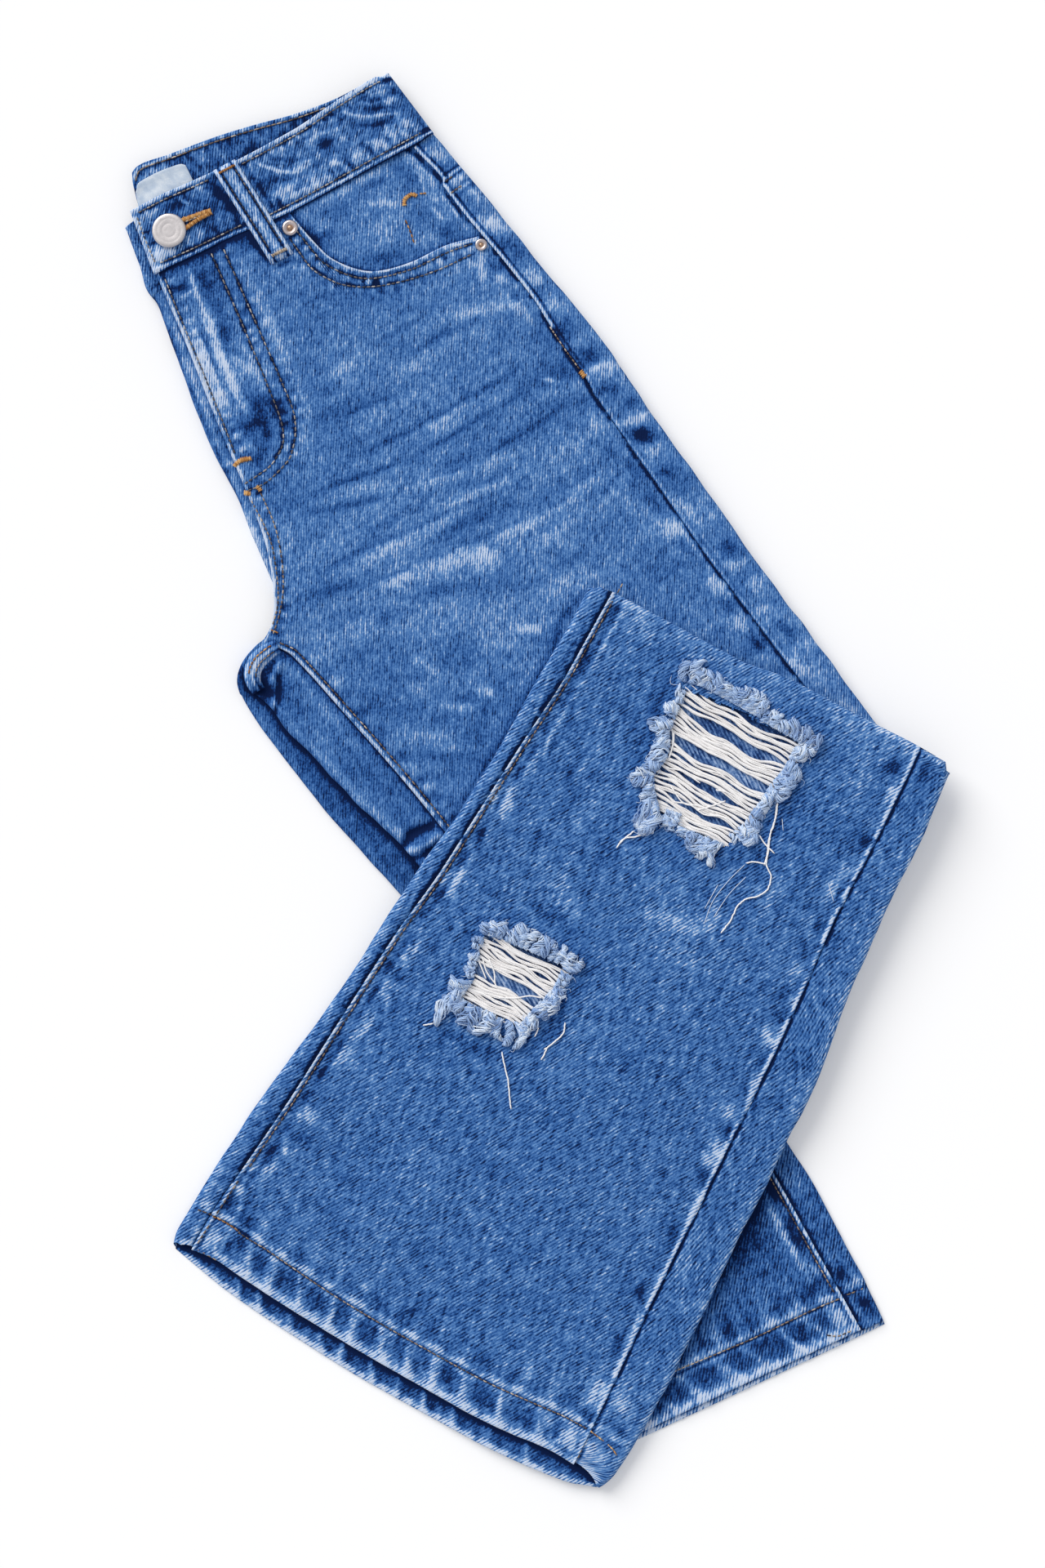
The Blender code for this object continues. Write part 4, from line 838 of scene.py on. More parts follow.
def hip_left():
    """The left thigh's front, with the fly, its double row and the pocket mouth."""
    u = between(-30, 165, 1.3)
    steps = np.linspace(0, 1, 300)[:, None]
    t = lerp(mouth_start(u), thigh_end(u), steps)
    s, z = thigh_cloth(u, t)
    cloth = Cloth("hip", s, t, z)
    clouds(cloth, 101, .13, drawn=(.38, 1.1))
    marks(cloth, THIGH_MARKS, gain=1.35, dark=.80, deep=.72)
    marks(cloth, FLY_MARKS, gain=1.4)
    marks(cloth, THIGH_TONES)
    thigh_seams(cloth)
    # Painted shade on the thigh just below the waistband, left of the pocket mouth.
    under_band = np.clip(1 - (cloth.t - waist_seam(cloth.s)) / 7, 0, 1) * (cloth.s < 84)
    cloth.wear -= .32 * under_band
    cloth.rim("start", EDGE, .2)
    cloth.rim("left", EDGE, .1)
    cloth.build("thigh_front", DENIM_HIP, "denim", ("front_left",))
    height = relief(cloth)
    DUSTY_ROWS.row("hip", FLY_ROW, height, 2.6, .7)
    DUSTY_ROWS.row("hip", J_INNER, height, 2.7, .8)
    DUSTY_ROWS.row("hip", J_OUTER, height, 2.7, .8)
    BROWN_ROWS.row("hip", RISE_ROW_OUTER, height)
    BROWN_ROWS.row("hip", RISE_ROW_INNER, height)
    DUSTY_ROWS.row("hip", MOUTH_ROW, height)
    DUSTY_ROWS.row("hip", MOUTH_ROW_LOW, height)
    BROWN_ROWS.row("hip", [(p + 3.0, q) for p, q in INSEAM], height, 2.6, .7, bias=.3)
    ORANGE_ROWS.zigzag("hip", [(-33, 117), (-29, 116.5), (-22, 119.5)], height, 1.5, .55)
    ORANGE_ROWS.zigzag("hip", [(-29.5, 134.5), (-29, 138.5)], height, 1.3, .6)
    ORANGE_ROWS.zigzag("hip", [(-37.6, 133), (-35, 136)], height, 1.4, .55)
    ORANGE_ROWS.row("hip", [(-74, 206), (-70, 213)], height, 2.2, .5, bias=.4)


def relief(cloth):
    """Height of a finished cloth at any place, read from its nearest points."""
    all_s, all_t, all_z = cloth.s.ravel(), cloth.t.ravel(), cloth.z.ravel()

    def read(s, t):
        s, t = np.atleast_1d(s), np.atleast_1d(t)
        box = ((all_s > s.min() - 4) & (all_s < s.max() + 4)
               & (all_t > t.min() - 4) & (all_t < t.max() + 4))
        if not box.any():
            box[:] = True
        near_s, near_t, near_z = all_s[box], all_t[box], all_z[box]
        out = np.empty(len(s))
        for i in range(len(s)):
            far = (near_s - s[i]) ** 2 + (near_t - t[i]) ** 2
            weight = np.exp(-far / 1.5) + 1e-12
            nearest = np.argmin(far)
            average = np.sum(weight * near_z) / np.sum(weight)
            out[i] = average if far[nearest] < 9 else near_z[nearest]
        return out
    return read


POCKET_SEAM = [(157.5, 29), (160.6, 38), (162, 52), (160.8, 66), (161, 80), (162.4, 95)]
POCKET_MARKS = (
    (84.5, 34, 87, 44, 3, -.30), (88, 30, 96, 38, 5, .14), (98, 63, 112, 73, 130, 80, 5, -.30),
    (84, 51, 94, 58, 3.4, .22), (98, 42, 120, 54, 8, .04), (128, 44, 137, 52, 1.6, .44),
    (150.6, 57, 151, 66, 153, 76, 1.3, .46), (104, 36, 138, 42, 6, .04), (112, 58, 132, 63, 5, .10),
    (156, 33, 159.5, 60, 2.6, .26), (118, 31.5, 140, 35, 3, -.26), (88, 40, 96, 42, 2.6, -.24),
    (149, 33, 152, 47, 3.6, -.24), (147, 76, 151, 87, 3, -.22), (126, 63, 130, 71, 2.4, -.18),
    (90, 23, 112, 26, 140, 30, 2.6, .28), (154, 50, 157, 76, 2.2, .22), (132, 66, 136, 80, 146, 86, 4, .08),
    (140, 60, 146, 68, 3, -.12), (123, 41, 128, 47, 1.4, .24), (96, 32, 112, 33, 2.6, -.14),
    (140, 36, 146, 34, 2.4, .14),
)


def pocket_inside():
    """The facing seen above the pocket mouth, with painted shadow under the mouth's edge and under the
    waistband.
    """
    u = spread(.47, 1.017, .012)
    high = waist_seam(lerp(-1, 162, u)) - 3
    low = thigh_start(u) + 6
    t = lerp(high, low, np.linspace(0, 1, 70)[:, None])
    s, z = thigh_cloth(u, t)
    cloth = Cloth("hip", s, t, z - .9)
    inside = np.clip(cloth.off(MOUTH), 0, 60)
    cloth.z -= .9 * np.exp(-inside / 5)
    clouds(cloth, 131, .12)
    # Painted shadow under the pocket mouth's edge and under the waistband.
    cloth.wear += -.01 - .50 * np.exp(-inside / 2.0) - .34 * bell(cloth.t - waist_seam(cloth.s), 1.7)
    marks(cloth, POCKET_MARKS)
    ridge(cloth, POCKET_SEAM, 0, 1.2, .36, .4)
    ridge(cloth, POCKET_SEAM, 2.6, .9, -.95, -.6)
    cloth.build("pocket_inside", DENIM_HIP, "denim", ("pocket_facing",))
    height = relief(cloth)
    ORANGE_ROWS.zigzag("hip", [(139, 55), (142, 52), (146, 52), (148.5, 55)], height, 1.2, .55)
    ORANGE_ROWS.row("hip", [(134.5, 62), (132.5, 70), (130, 77)], height, 2.4, .8, bias=.45)
    ORANGE_ROWS.row("hip", [(150, 54.5), (154, 57)], height, 1.6, .4, bias=.8)


# The yoke's seam, and the lines below it, light where worn and dark as painted shade: (distance, half width,
# wear or painted shade).
YOKE_SEAM = 56.2
YOKE_LINES = (
    (0, .6, .62), (-1.5, .9, -.60), (1.9, .6, -.50), (5.4, 2.2, .32), (9.4, .6, -.52), (10.8, .6, .34),
    (12.6, 1.2, -.40),
)
SIDE_MARKS = (
    (168, 38, 176, 46, 3.6, .22), (167, 33, 178, 35, 2, -.24), (168, 51, 178, 50, 2, -.14),
    (174, 66, 178, 80, 3, .22), (170, 90, 178, 98, 3.4, .36), (170, 102, 180, 122, 5, -.16),
    (170, 133, 180, 140, 4, .30), (168, 192, 177, 198, 4, -.2), (170, 226, 180, 229, 3, -.2),
    (166, 276, 176, 308, 6, -.14), (166, 202, 178, 212, 3, .16), (168, 126, 178, 132, 4, .16),
    (170, 150, 180, 156, 5, .2), (166, 168, 178, 172, 6, -.26), (166, 186, 178, 190, 5, -.26),
    (164, 197, 176, 200, 183, 206, 2.6, .30), (168, 206, 174, 220, 5, -.26),
    (163, 234, 173, 237, 182, 240, 3.2, .30), (166, 246, 176, 254, 4, -.18),
    (166, 240, 171, 250, 4.6, -.36), (164, 257, 176, 258, 4, .22), (165, 268, 170, 276, 4.4, -.30),
    (162, 288, 166, 306, 3, .24), (172, 292, 174, 312, 3, .18), (168, 326, 174, 334, 5, -.24),
    (160, 340, 172, 342, 3, .2), (168, 350, 174, 362, 5, .16), (162, 370, 168, 374, 3.4, .22),
    (166, 386, 172, 396, 5, -.2), (158, 402, 164, 418, 3, .3), (166, 440, 172, 456, 6, .14),
)


def roll_section(edge, top, low, inset, flange, side):
    """Across-and-height lines of a folded edge: down from the top face round to the underside.

    All arguments may be arrays of one value per row; the result has one column per point.
    """
    angles = np.radians(np.linspace(84, -84, 9))
    middle, half = (top + low) / 2, (top - low) / 2
    s = [edge - side * inset * (1 - math.cos(a)) for a in angles]
    z = [middle + half * math.sin(a) for a in angles]
    for reach in (6, flange):
        s.append(edge - side * reach)
        z.append(low + 0 * edge)
    return s, z


def edge_strip(flat, t, seam, edge, top, low, inset, flange, side, step=1.6):
    """Cloth from a seam on the top face, round a folded edge, and in under it."""
    width = float(np.mean(np.abs(edge - seam)))
    middle = np.linspace(1.9 / width, .94, max(3, int(width / step)))
    stations = np.unique(np.concatenate([[0, .5 / width, 1.1 / width], middle]))
    high = top + 0 * t
    flat_end = seam + side * np.maximum(side * (edge - seam) - inset * .9, .3)
    round_s, round_z = roll_section(edge, high - .3, low, inset, flange, side)
    s = np.stack([lerp(seam, flat_end, f) for f in stations] + round_s, 1)
    z = np.stack([high - .25 * f for f in stations] + round_z, 1)
    return Cloth(flat, s, t[:, None], z, seam[:, None] + side * walk(s, z, 1), t[:, None])


def hip_side():
    """The back panel beside the outseam, with the end of the yoke."""
    t = spread(31, 500, 1.7)
    bulge = 2.3 * bell(t - 53, 12) * (t < 56.5) + .3 * bell(t - 92, 9)
    seam, fold = thigh_outer(t) + .3 + bulge, thigh_fold(t)
    fold = fold + .5 * noise(t, 0 * t, 14, 5) - 1.5 * bell(t - 205, 70)
    top = SIDE_TOP - .2 + .35 * noise(t, 0 * t, 12, 8)
    cloth = edge_strip("hip", t, seam, fold, top, HIDDEN_LOBE + .3, 4.0, 17, 1)
    clouds(cloth, 151, .14)
    cloth.wear += .04
    marks(cloth, SIDE_MARKS, gain=1.6)
    far = cloth.cut_s - seam[:, None]
    stitched = bell(cloth.t - 180, 17) > .4
    bare = 1 - .75 * step_up(cloth.t, 170, 215)
    cloth.wear += np.where(stitched, -.45, .85 * bare) * bell(far - .9, .8)
    cloth.z += np.where(stitched, .1, .65) * bell(far - 1.1, 1.1)
    # Painted shade: in the groove beside the bare raised edge, along the seam further down, and on the
    # fold's side as it turns under.
    cloth.wear -= .60 * bare * bell(far - 2.9, .9)
    cloth.wear -= .55 * bell(far, .7) * step_up(cloth.t, 150, 200)
    cloth.wear -= .16 * bell(cloth.z - 6.2, 2.2)
    down = cloth.t - YOKE_SEAM
    for at, half, wear in YOKE_LINES:
        cloth.wear += wear * bell(down - at, half)
    cloth.wear += .26 * bell(down - 5.4, 2.4) * np.sin(cloth.s * 2 * math.pi / 4.6 + .6)
    cloth.z += .5 * bell(down - 5, 4.0) - .3 * bell(down - 1.9, .7) - .3 * bell(down - 9.4, .7)
    cloth.build("side_panel", DENIM_HIP, "denim", ("back_left_outer", "yoke_left"))
    height = relief(cloth)
    BROWN_ROWS.row("hip", [(166.4, 58.1), (179.5, 58.1)], height, 2.2, .6)
    BROWN_ROWS.row("hip", [(165.4, 65.6), (180, 65.6)], height, 2.2, .6)
    BROWN_ROWS.row("hip", [(164.6, 163), (163.6, 182), (163.4, 194)], height, 2.0, .6)
    ORANGE_ROWS.zigzag("hip", [(163.2, 195), (163.2, 199.5)], height, 1.5, .6)


# Folds beside the inseam: a line, how far it rises over which half width, its painted shade or highlight and
# half width.
INNER_SIDE_FOLDS = (
    ([(-104, 226), (-99, 231), (-97, 236)], -4.6, 4.6, -1.1, 4.4),
    ([(-97, 229), (-92, 225), (-84, 223.5), (-76, 224)], 0, 1, -.36, 2.0),
    ([(-99, 243), (-94, 236), (-89, 229.5), (-82, 226.5)], 1.9, 2.6, .34, 2.0),
    ([(-100, 247), (-94, 242), (-89, 236), (-86, 231)], -1.1, 1.9, -.50, 1.7),
    ([(-87, 355), (-81, 352.6), (-74, 353.5), (-69, 355)], -2.6, 3.0, -.85, 2.5),
    ([(-91, 352), (-90, 358.5), (-83, 361.5), (-66, 363.5)], .9, 2.4, .34, 1.6),
    ([(-96, 359), (-90, 364), (-82, 366.5), (-66, 368)], -1.6, 2.2, -.70, 1.8),
)
INNER_SIDE_MARKS = (
    (-80, 222, -76, 240, 4, .12), (-92, 262, -84, 290, 5, .14), (-86, 310, -80, 335, 5, .1),
    (-98, 250, -96, 280, 3, -.14), (-76, 300, -74, 330, 3, -.12),
)


def hip_inner_side():
    """The back panel beside the inseam: rounds the inner fold, with a hollow at each end; painted shade
    along the seam, in the folds and beyond the lower leg's edge.
    """
    t = spread(213, 385, 1.6)
    seam = thigh_inner(t) - .3
    fold = inner_fold(t) + .4 * noise(t, 0 * t, 11, 15)
    cloth = edge_strip("hip", t, seam, fold, SIDE_TOP - .7, 4.6, 4.0, 34, -1)
    clouds(cloth, 171, .14, .5)
    cloth.wear -= .20
    far = thigh_inner(cloth.t) - cloth.cut_s
    # Painted shade along the seam under the thigh's edge, and as the cloth turns under the fold.
    cloth.wear -= .80 * bell(far, 1.7) + .08 * bell(far - 3.5, 2.4) - .16 * bell(far - 8, 5)
    cloth.z -= .9 * bell(far, 1.6)
    turn = np.clip((inner_fold(cloth.t) + 5.5 - cloth.s) / 5.5, 0, 1)
    cloth.wear += .34 * bell(cloth.s - inner_fold(cloth.t) - 3.6, 3.0) - .06 * turn ** 2
    for line, rise, rise_half, wear, shade_half in INNER_SIDE_FOLDS:
        far = cloth.off(line)
        cloth.z += rise * bell(far, rise_half)
        cloth.wear += wear * bell(far, shade_half)
    # Painted shadow beyond the lower leg's edge.
    cloth.wear -= .26 * step_up(cloth.t - .12 * cloth.s, 376, 380)
    marks(cloth, INNER_SIDE_MARKS)
    cloth.build("inner_side", DENIM_HIP, "denim", ("back_left_inner",))


# Where the right half's edge turns below the curl: t and s.
RIGHT_CORNER = ((208.4, 209.8, 212.2, 216, 220.6, 226), (-86, -94, -100.5, -106, -109.5, -111.4))


def right_half_front():
    """What shows of the right half beside the fly, with painted shadow towards the fly's edge."""
    t = spread(8, 190, 1.7)
    edge = under_hip(t) + .3 * noise(t, 0 * t, 12, 25) - 2.3 * bell(t - 84, 34)
    cloth = edge_strip("hip", t, edge + 24, edge, 7.2, 0, 3.6, 20, -1)
    cloth.wear -= .12
    clouds(cloth, 191, .14)
    creases(cloth, 9.0, 193, .3, .2)
    inside = cloth.s - under_hip(cloth.t)
    # Painted shadow: darker inwards towards the fly's edge, and along the fold for t under 140; the lighter
    # bands are wear.
    cloth.wear -= .30 * bell(cloth.t - 96, 16) * step_up(inside, 2, 6)
    cloth.wear += .10 + .34 * bell(cloth.t - 70, 44) * bell(inside - 4.2, 2.8)
    cloth.wear -= .30 * bell(inside, 1.3) * (cloth.t < 140)
    cloth.wear += .26 * bell(inside - 1.5, 2.2) * (cloth.t > 118)
    cloth.wear -= .25 * np.clip((inside - 5) / 6, 0, 1)
    cloth.wear += .30 * bell(inside - .8, 1.3) * (cloth.t > 150)
    cloth.build("right_half_front", DENIM_HIP, "denim", ("front_right",))


def right_half_back():
    """What shows of the right half below the inner thigh, with painted shadow beside the inner fold's edge.
    """
    t = np.concatenate([spread(208.6, 219, 1.0), spread(220, 410, 1.8)])
    edge = np.where(t < 226, smooth_curve(*RIGHT_CORNER)(t), under_fold(t)) + .4 * noise(t, 0 * t, 13, 26)
    top = 4.0 + 4.5 * (1 - step_up(t, 212, 236))
    cloth = edge_strip("hip", t, edge + 40, edge, top, 0, 3.2, 30, -1)
    clouds(cloth, 201, .12)
    inside = cloth.s - under_fold(cloth.t)
    covered = np.clip(inner_fold(np.clip(cloth.t, 222, 385)) - cloth.s, 0, None)
    beyond_curl = .15 + .85 * step_up(cloth.t, 214, 224)
    cloth.wear += .14 * bell(inside - 2.4, 2.2) - .22
    # Painted shadow beside the inner fold's edge, weaker beside the curl.
    cloth.wear -= .75 * np.exp(-(covered / 2.4) ** 1.5) * beyond_curl
    cloth.wear -= .06 * bell(cloth.t - 216, 9) * step_up(inside, 3, 7)
    cloth.wear += .24 * bell(cloth.t - 210, 4.0) * (cloth.t < 218)
    cloth.build("right_half_back", DENIM_HIP, "denim", ("back_right",))


# Painted highlights and shade along the curl: (degrees round it, half width, painted light or shade).
CURL_LIGHT_AND_SHADE = ((56, 13, .34), (24, 9, -.40), (-26, 9, -.14), (2, 13, .36), (-48, 14, .16))
CURL = [
    (-76, 217.0), (-82, 216.0), (-88.5, 216.2), (-94.5, 218.2), (-98.6, 221.8), (-100.6, 226.5),
    (-101, 231),
]


def curl_row(offset, stop):
    """A row of stitches on the curl, at an offset to the outer side of its middle."""
    path = rounded(CURL, 1.0)
    return (path + offset * outward(path))[3:stop]


def crotch_curl():
    """End of the back rise, curled over, with its two rows of stitches, and painted light and shade round
    it.
    """
    middle = rounded(CURL, .7)
    outer = outward(middle)
    turn = np.radians(np.linspace(-94, 94, 36))
    f = np.linspace(0, 1, len(middle))[:, None]
    half = lerp(4.4, 5.6, np.sin(math.pi * np.clip(f * 1.15, 0, 1)))
    s = middle[:, :1] + outer[:, :1] * half * np.sin(turn)
    t = middle[:, 1:] + outer[:, 1:] * half * np.sin(turn)
    top = 13.0 - f - 4.0 * np.clip((f - .78) / .22, 0, 1) ** 2
    drop = np.where(turn > 0, 4.6, 3.4)
    cloth = Cloth("hip", s, t, top - drop * (1 - np.cos(turn)))
    clouds(cloth, 211, .12, .25)
    degrees = np.degrees(turn)[None]
    for at, half, wear in CURL_LIGHT_AND_SHADE:
        cloth.wear += wear * bell(degrees - at, half)
    # A lighter middle; painted shade where the curl turns under and at both ends.
    cloth.wear += .26 * bell(f - .55, .28) - .90 * bell(np.abs(degrees) - 96, 16)
    cloth.wear -= .70 * np.clip((f - .80) / .2, 0, 1) ** 1.5 + .35 * np.clip((.1 - f) / .1, 0, 1)
    cloth.build("rise_curl", DENIM_HIP, "denim", ("rise_back_roll",))
    height = relief(cloth)
    ORANGE_ROWS.row("hip", curl_row(-1.9, -8), height, 2.4, .5)
    BROWN_ROWS.row("hip", curl_row(2.2, -7), height, 2.4, .5)


# ------------------------------------------------------------------ waistband
BAND_TOP_EDGE = [
    (-4, -43), (9, -38.5), (27, -35.5), (46, -31), (76, -24.5), (98, -21), (119, -18.3), (144, -17.2),
    (169, -15), (178, -12),
]
BAND_LOW_EDGE = [
    (-4, -3), (9, 0), (27, 4), (46, 7.8), (76, 15.6), (98, 19.4), (119, 22.3), (144, 25.8), (169, 29.4),
    (178, 30.5),
]
BAND_MARKS = (
    # left of the loop; (58.5, -27 ...) is painted shadow beside the loop
    (-4, -14, -3, -4, 3, .40), (3, -12, 10, -6, 4, .30), (-4, -3, 10, -1, 4, .42),
    (22, -6, 29, -2, 3.4, .30), (98, 2, 114, 5, 4.2, .36), (92, 12, 112, 16, 3, .20),
    (140, -14, 172, -10, 3, .26), (140, 4, 176, 12, 4, -.14), (11, -33, 18, -31, 25, -29, 2.2, .34),
    (3, -30, -1, -14, 2.2, .34), (-2.6, -16, -3, -3, 2.0, .50), (2, -9, 12, -7, 3.4, .20),
    (5, -8, 12, -7, 19, -5, 3.2, .32), (4.6, -25, 11, -23, .9, -.44), (3.4, -17, 10, -15.6, .9, -.44),
    (25, -29, 32, -25, 42, -22, 3.2, -.32), (35, -29, 38, -23, 41, -17, 1.4, .34),
    (44, -27, 46, -20, 1.2, .18), (50, -25, 52, -16, 1.3, .20), (55, -24, 56.5, -8, 3.6, -.26),
    (58.5, -27, 57, 6, 2.8, -.46), (33, -8, 35, -1, 1.6, .30), (47, -8, 48, 2, 1.6, .28),
    (54, -5, 55, 3, 1.2, .20), (18, -2, 28, 1, 2.0, -.24), (38, -7, 42, 2, 2.0, -.22),
    (20, -33, 27, -29, 1.2, -.14), (0, -12, 1, -4, 3.4, .40), (3, -8, 16, -6, 4, .16),
    (24, -16, 56, -6, 10, -.14),
    # right of the loop: a fan of light worn lines with painted shade in the troughs; (77.6, -21 ...) is
    # painted shadow beside the loop
    (77.6, -21, 77.2, 9, 1.6, -.34), (82.5, -20, 88, -11, 92, -5.5, 98, .5, 103, 3, 1.0, .50),
    (95, -17, 103, -14, 113, -14, 2.0, .28), (87, -18, 93, -11, 101, -6, 1.2, .20),
    (80, 5, 90, 6, 100, 9, 2.4, .22), (84, 10.4, 98, 12.4, 1.4, .26), (119, 8.5, 123.5, 13, 1.7, .46),
    (113, 13, 115, 18, 1.3, .30), (133, 11, 134, 19, 1.5, .32), (147, 12, 150, 21, 1.6, .32),
    (156, 13, 161, 21, 1.5, .26), (165, 13, 172, 21, 2.0, .26),
    (140, -15, 147.5, -4.5, 155, 1.8, 164, 6.8, 171, 11.6, 1.0, .44),
    (151, -12, 159, -4, 168, .5, 176, 3, 1.2, .30), (112, -9.5, 126, -7.5, 140, -3, 1.3, .28),
    (128, -13, 137, -9, 1.4, .20), (104, -1, 114, 1.5, 1.2, .24), (160, -9, 172, -5, 1.4, .22),
    (119, -3, 131, -.5, 2.8, -.42), (99, 3.4, 110, 5.4, 123, 6.6, 1.8, -.36),
    (80, -5, 88, -1.6, 96, 4, 2.2, -.30), (93, -12, 104, -5, 1.8, -.26), (94, 12, 108, 16, 122, 21, 6, .16),
    (108.5, 8, 111.5, 14, 2.4, -.34), (75, 9, 86, 12, 2.6, -.34), (127.6, 10, 129, 20, 2.0, -.34),
    (140.5, 9, 143, 20, 2.2, -.32), (143, -1, 152, 5.6, 164, 11.4, 1.6, -.36), (150, 17, 174, 23, 4.5, .24),
    (142, -8, 174, 2, 6, -.13), (118, -14.4, 140, -12.6, 174, -7.6, 1.1, -.24),
    (156, -2.4, 168, 4.6, 1.4, -.32), (173, -5, 177, 3, 2.4, -.22), (108, -12, 120, -11, 1.4, -.2),
    (154, 16, 155, 22, 1.3, -.22),
)


# Rows along the waistband's upper and lower edge, broken by the loop, and down its left end.
BAND_ROWS = (
    [(11, -35.6), (27, -32.7), (46, -28.2), (58, -25.5)],
    [(77, -21.6), (98, -18.2), (119, -15.5), (144, -14.3), (169, -12.2), (176, -9.5)],
    [(4, -4.2), (27, 1.2), (46, 5), (57, 7.2)],
    [(72, 12), (98, 16.4), (119, 19.4), (144, 22.8), (169, 26.4), (177, 27.4)],
    [(9.6, -34), (6.4, -24), (1.6, -5)],
)
BAND_END = [(9, -38), (-1.6, -1)]


def band_front():
    """The waistband's front, rounding its fold at the side."""
    f = between(0, 41, 1.25)
    s = lerp(lerp(9.0, -1.6, f)[:, None], 171.0, np.linspace(0, 1, 128))
    t = lerp(waist_top(s), waist_seam(s) + .2, f[:, None])
    z = band_top(s)
    angles = np.radians(np.linspace(78, -80, 12))
    shape = (len(f), len(angles))
    side_s = np.broadcast_to(173.4 + 5.2 * np.cos(angles), shape)
    side_z = np.broadcast_to(lerp(BAND_LOW, 12.2, .5 + .5 * np.sin(angles)), shape)
    side_t = np.broadcast_to(lerp(waist_top(178.0), waist_seam(178.0) - .4, f)[:, None], shape)
    s, t, z = np.hstack([s, side_s]), np.hstack([t, side_t]), np.hstack([z, side_z])
    cloth = Cloth("hip", s, t, z, walk(s, z, 1), t)
    clouds(cloth, 301, .18, .25)
    creases(cloth, 11.0, 305, .34, .3)
    creases(cloth, 5.5, 308, .24, .2)
    cloth.wear += .015
    marks(cloth, BAND_MARKS, .9, gain=1.25)
    ridge(cloth, BAND_TOP_EDGE, -.3, .7, .66, .2)
    worn = (.34 + .26 * (cloth.s > 112)) * (cloth.s > 76)
    cloth.wear += worn * bell(cloth.t - waist_top(cloth.s) - .8, 1.0)
    ridge(cloth, BAND_TOP_EDGE, -2.9, .9, -.58, -.35)
    puckers(cloth, BAND_TOP_EDGE, -5.6, 2.0, 5.4, .30, 311)
    ridge(cloth, BAND_LOW_EDGE, .45, .42, .55, .35)
    cloth.wear += .40 * bell(waist_seam(cloth.s) - cloth.t - 1.0, .6) * (cloth.s > 60)
    ridge(cloth, BAND_LOW_EDGE, 1.7, .5, -.30, -.1)
    ridge(cloth, BAND_LOW_EDGE, 3.0, .9, -.58, -.35)
    puckers(cloth, BAND_LOW_EDGE, 6.6, 2.6, 6.8, .40, 312, lift=.4)
    ridge(cloth, BAND_END, .9, 1.5, .52, .2)
    ridge(cloth, BAND_END, -2.4, .75, -.70, -.35)
    cloth.wear += .28 * bell(cloth.off([(10, -37), (3, -20)]), 3.0)
    # Painted shade on the side past the fold, and on the rim turned under the lower edge.
    cloth.wear -= .10 * (cloth.s > 174)
    cloth.rim("start", EDGE, .1)
    cloth.rim("end", EDGE, -.6)
    cloth.rim("left", EDGE, .1)
    cloth.build("waistband_front", DENIM_BAND, "denim", ("waistband_left",))
    height = relief(cloth)
    for row in BAND_ROWS:
        DUSTY_ROWS.row("hip", row, height, 2.3, .6, bias=.62)


BAND_BACK_EDGE = [
    (12, -47), (19, -53), (27, -58), (44, -53), (76, -43.5), (98, -35.5), (119, -27), (146, -19),
]
BAND_BACK_ROW = [
    (21, -51.8), (27.5, -55.6), (44, -51), (76, -41.3), (98, -33.2), (119, -24.8), (140, -18.4),
]
BAND_BACK_MARKS = (
    (26, -52, 40, -49, 2.2, .46), (70, -36, 71, -30, 2.2, .3), (92, -34, 94, -26, 2.2, .3),
    (58, -44, 60, -36, 2, .26), (110, -26, 112, -22, 2, .24),
)


def band_back():
    """Inside of the back of the band, seen above the front, with painted shadow beside the front's top edge.
    """
    f = between(0, 36, 1.5)
    left = 22.0 - 10.5 * np.clip(f / .45, 0, 1) + 1.2 * bell(f, .05)
    s = lerp(left[:, None], 166.0, np.linspace(0, 1, 110))
    cloth = Cloth("hip", s, waist_back(s) + 34 * f[:, None], BAND_LOW + BAND)
    clouds(cloth, 321, .14, .25)
    creases(cloth, 8.0, 322, .55, .3)
    cloth.wear -= .05
    ridge(cloth, BAND_BACK_EDGE, -.6, .9, .56, .2)
    ridge(cloth, BAND_BACK_EDGE, -2.2, .9, -.30, -.3)
    puckers(cloth, BAND_BACK_EDGE, -5.2, 2.0, 6.4, .26, 324)
    # Painted shadow beside the front band's top edge.
    gap = waist_top(cloth.s) - cloth.t
    cloth.wear -= .34 * np.exp(-np.clip(gap, 0, 50) / 3.0)
    marks(cloth, BAND_BACK_MARKS)
    cloth.rim("start", EDGE, .1)
    cloth.rim("left", EDGE, .0)
    cloth.build("waistband_back", DENIM_BAND, "denim")
    BROWN_ROWS.row("hip", BAND_BACK_ROW, relief(cloth), 3.2, .35, bias=.45)


def band_under():
    """Turned end of the right half's band, seen left of the button."""
    t = spread(-34, 7.3, 1.2)
    edge = under_hip(t) + .2 * noise(t, 0 * t, 9, 33)
    cloth = edge_strip("hip", t, edge + 40, edge, HIDDEN_LOBE, 0, 3.6, 34, -1, 1.4)
    clouds(cloth, 331, .10, .2)
    inside = cloth.s - under_hip(cloth.t)
    # Painted shade further in, under the cloth that covers it; its edge lighter.
    cloth.wear += .16 * bell(inside - 1, 1.6) - .30 * np.clip((inside - 5) / 5, 0, 1) - .04
    ridge(cloth, [(-16, 3), (16, 5)], 0, .9, -.3, -.3)
    cloth.rim("start", EDGE, .1)
    cloth.rim("end", EDGE, .1)
    cloth.build("waistband_under", DENIM_BAND, "denim", ("waistband_right",))
    ORANGE_ROWS.row("hip", [(-11, 3), (-4, 4)], relief(cloth), 2.4, .6, bias=.25)


# The belt loop: s at its upper and lower end, t there, and its width.
LOOP_S = (68.6, 63.0)
LOOP_T = (-26.5, 36.5)
LOOP_WIDTH = 12.6


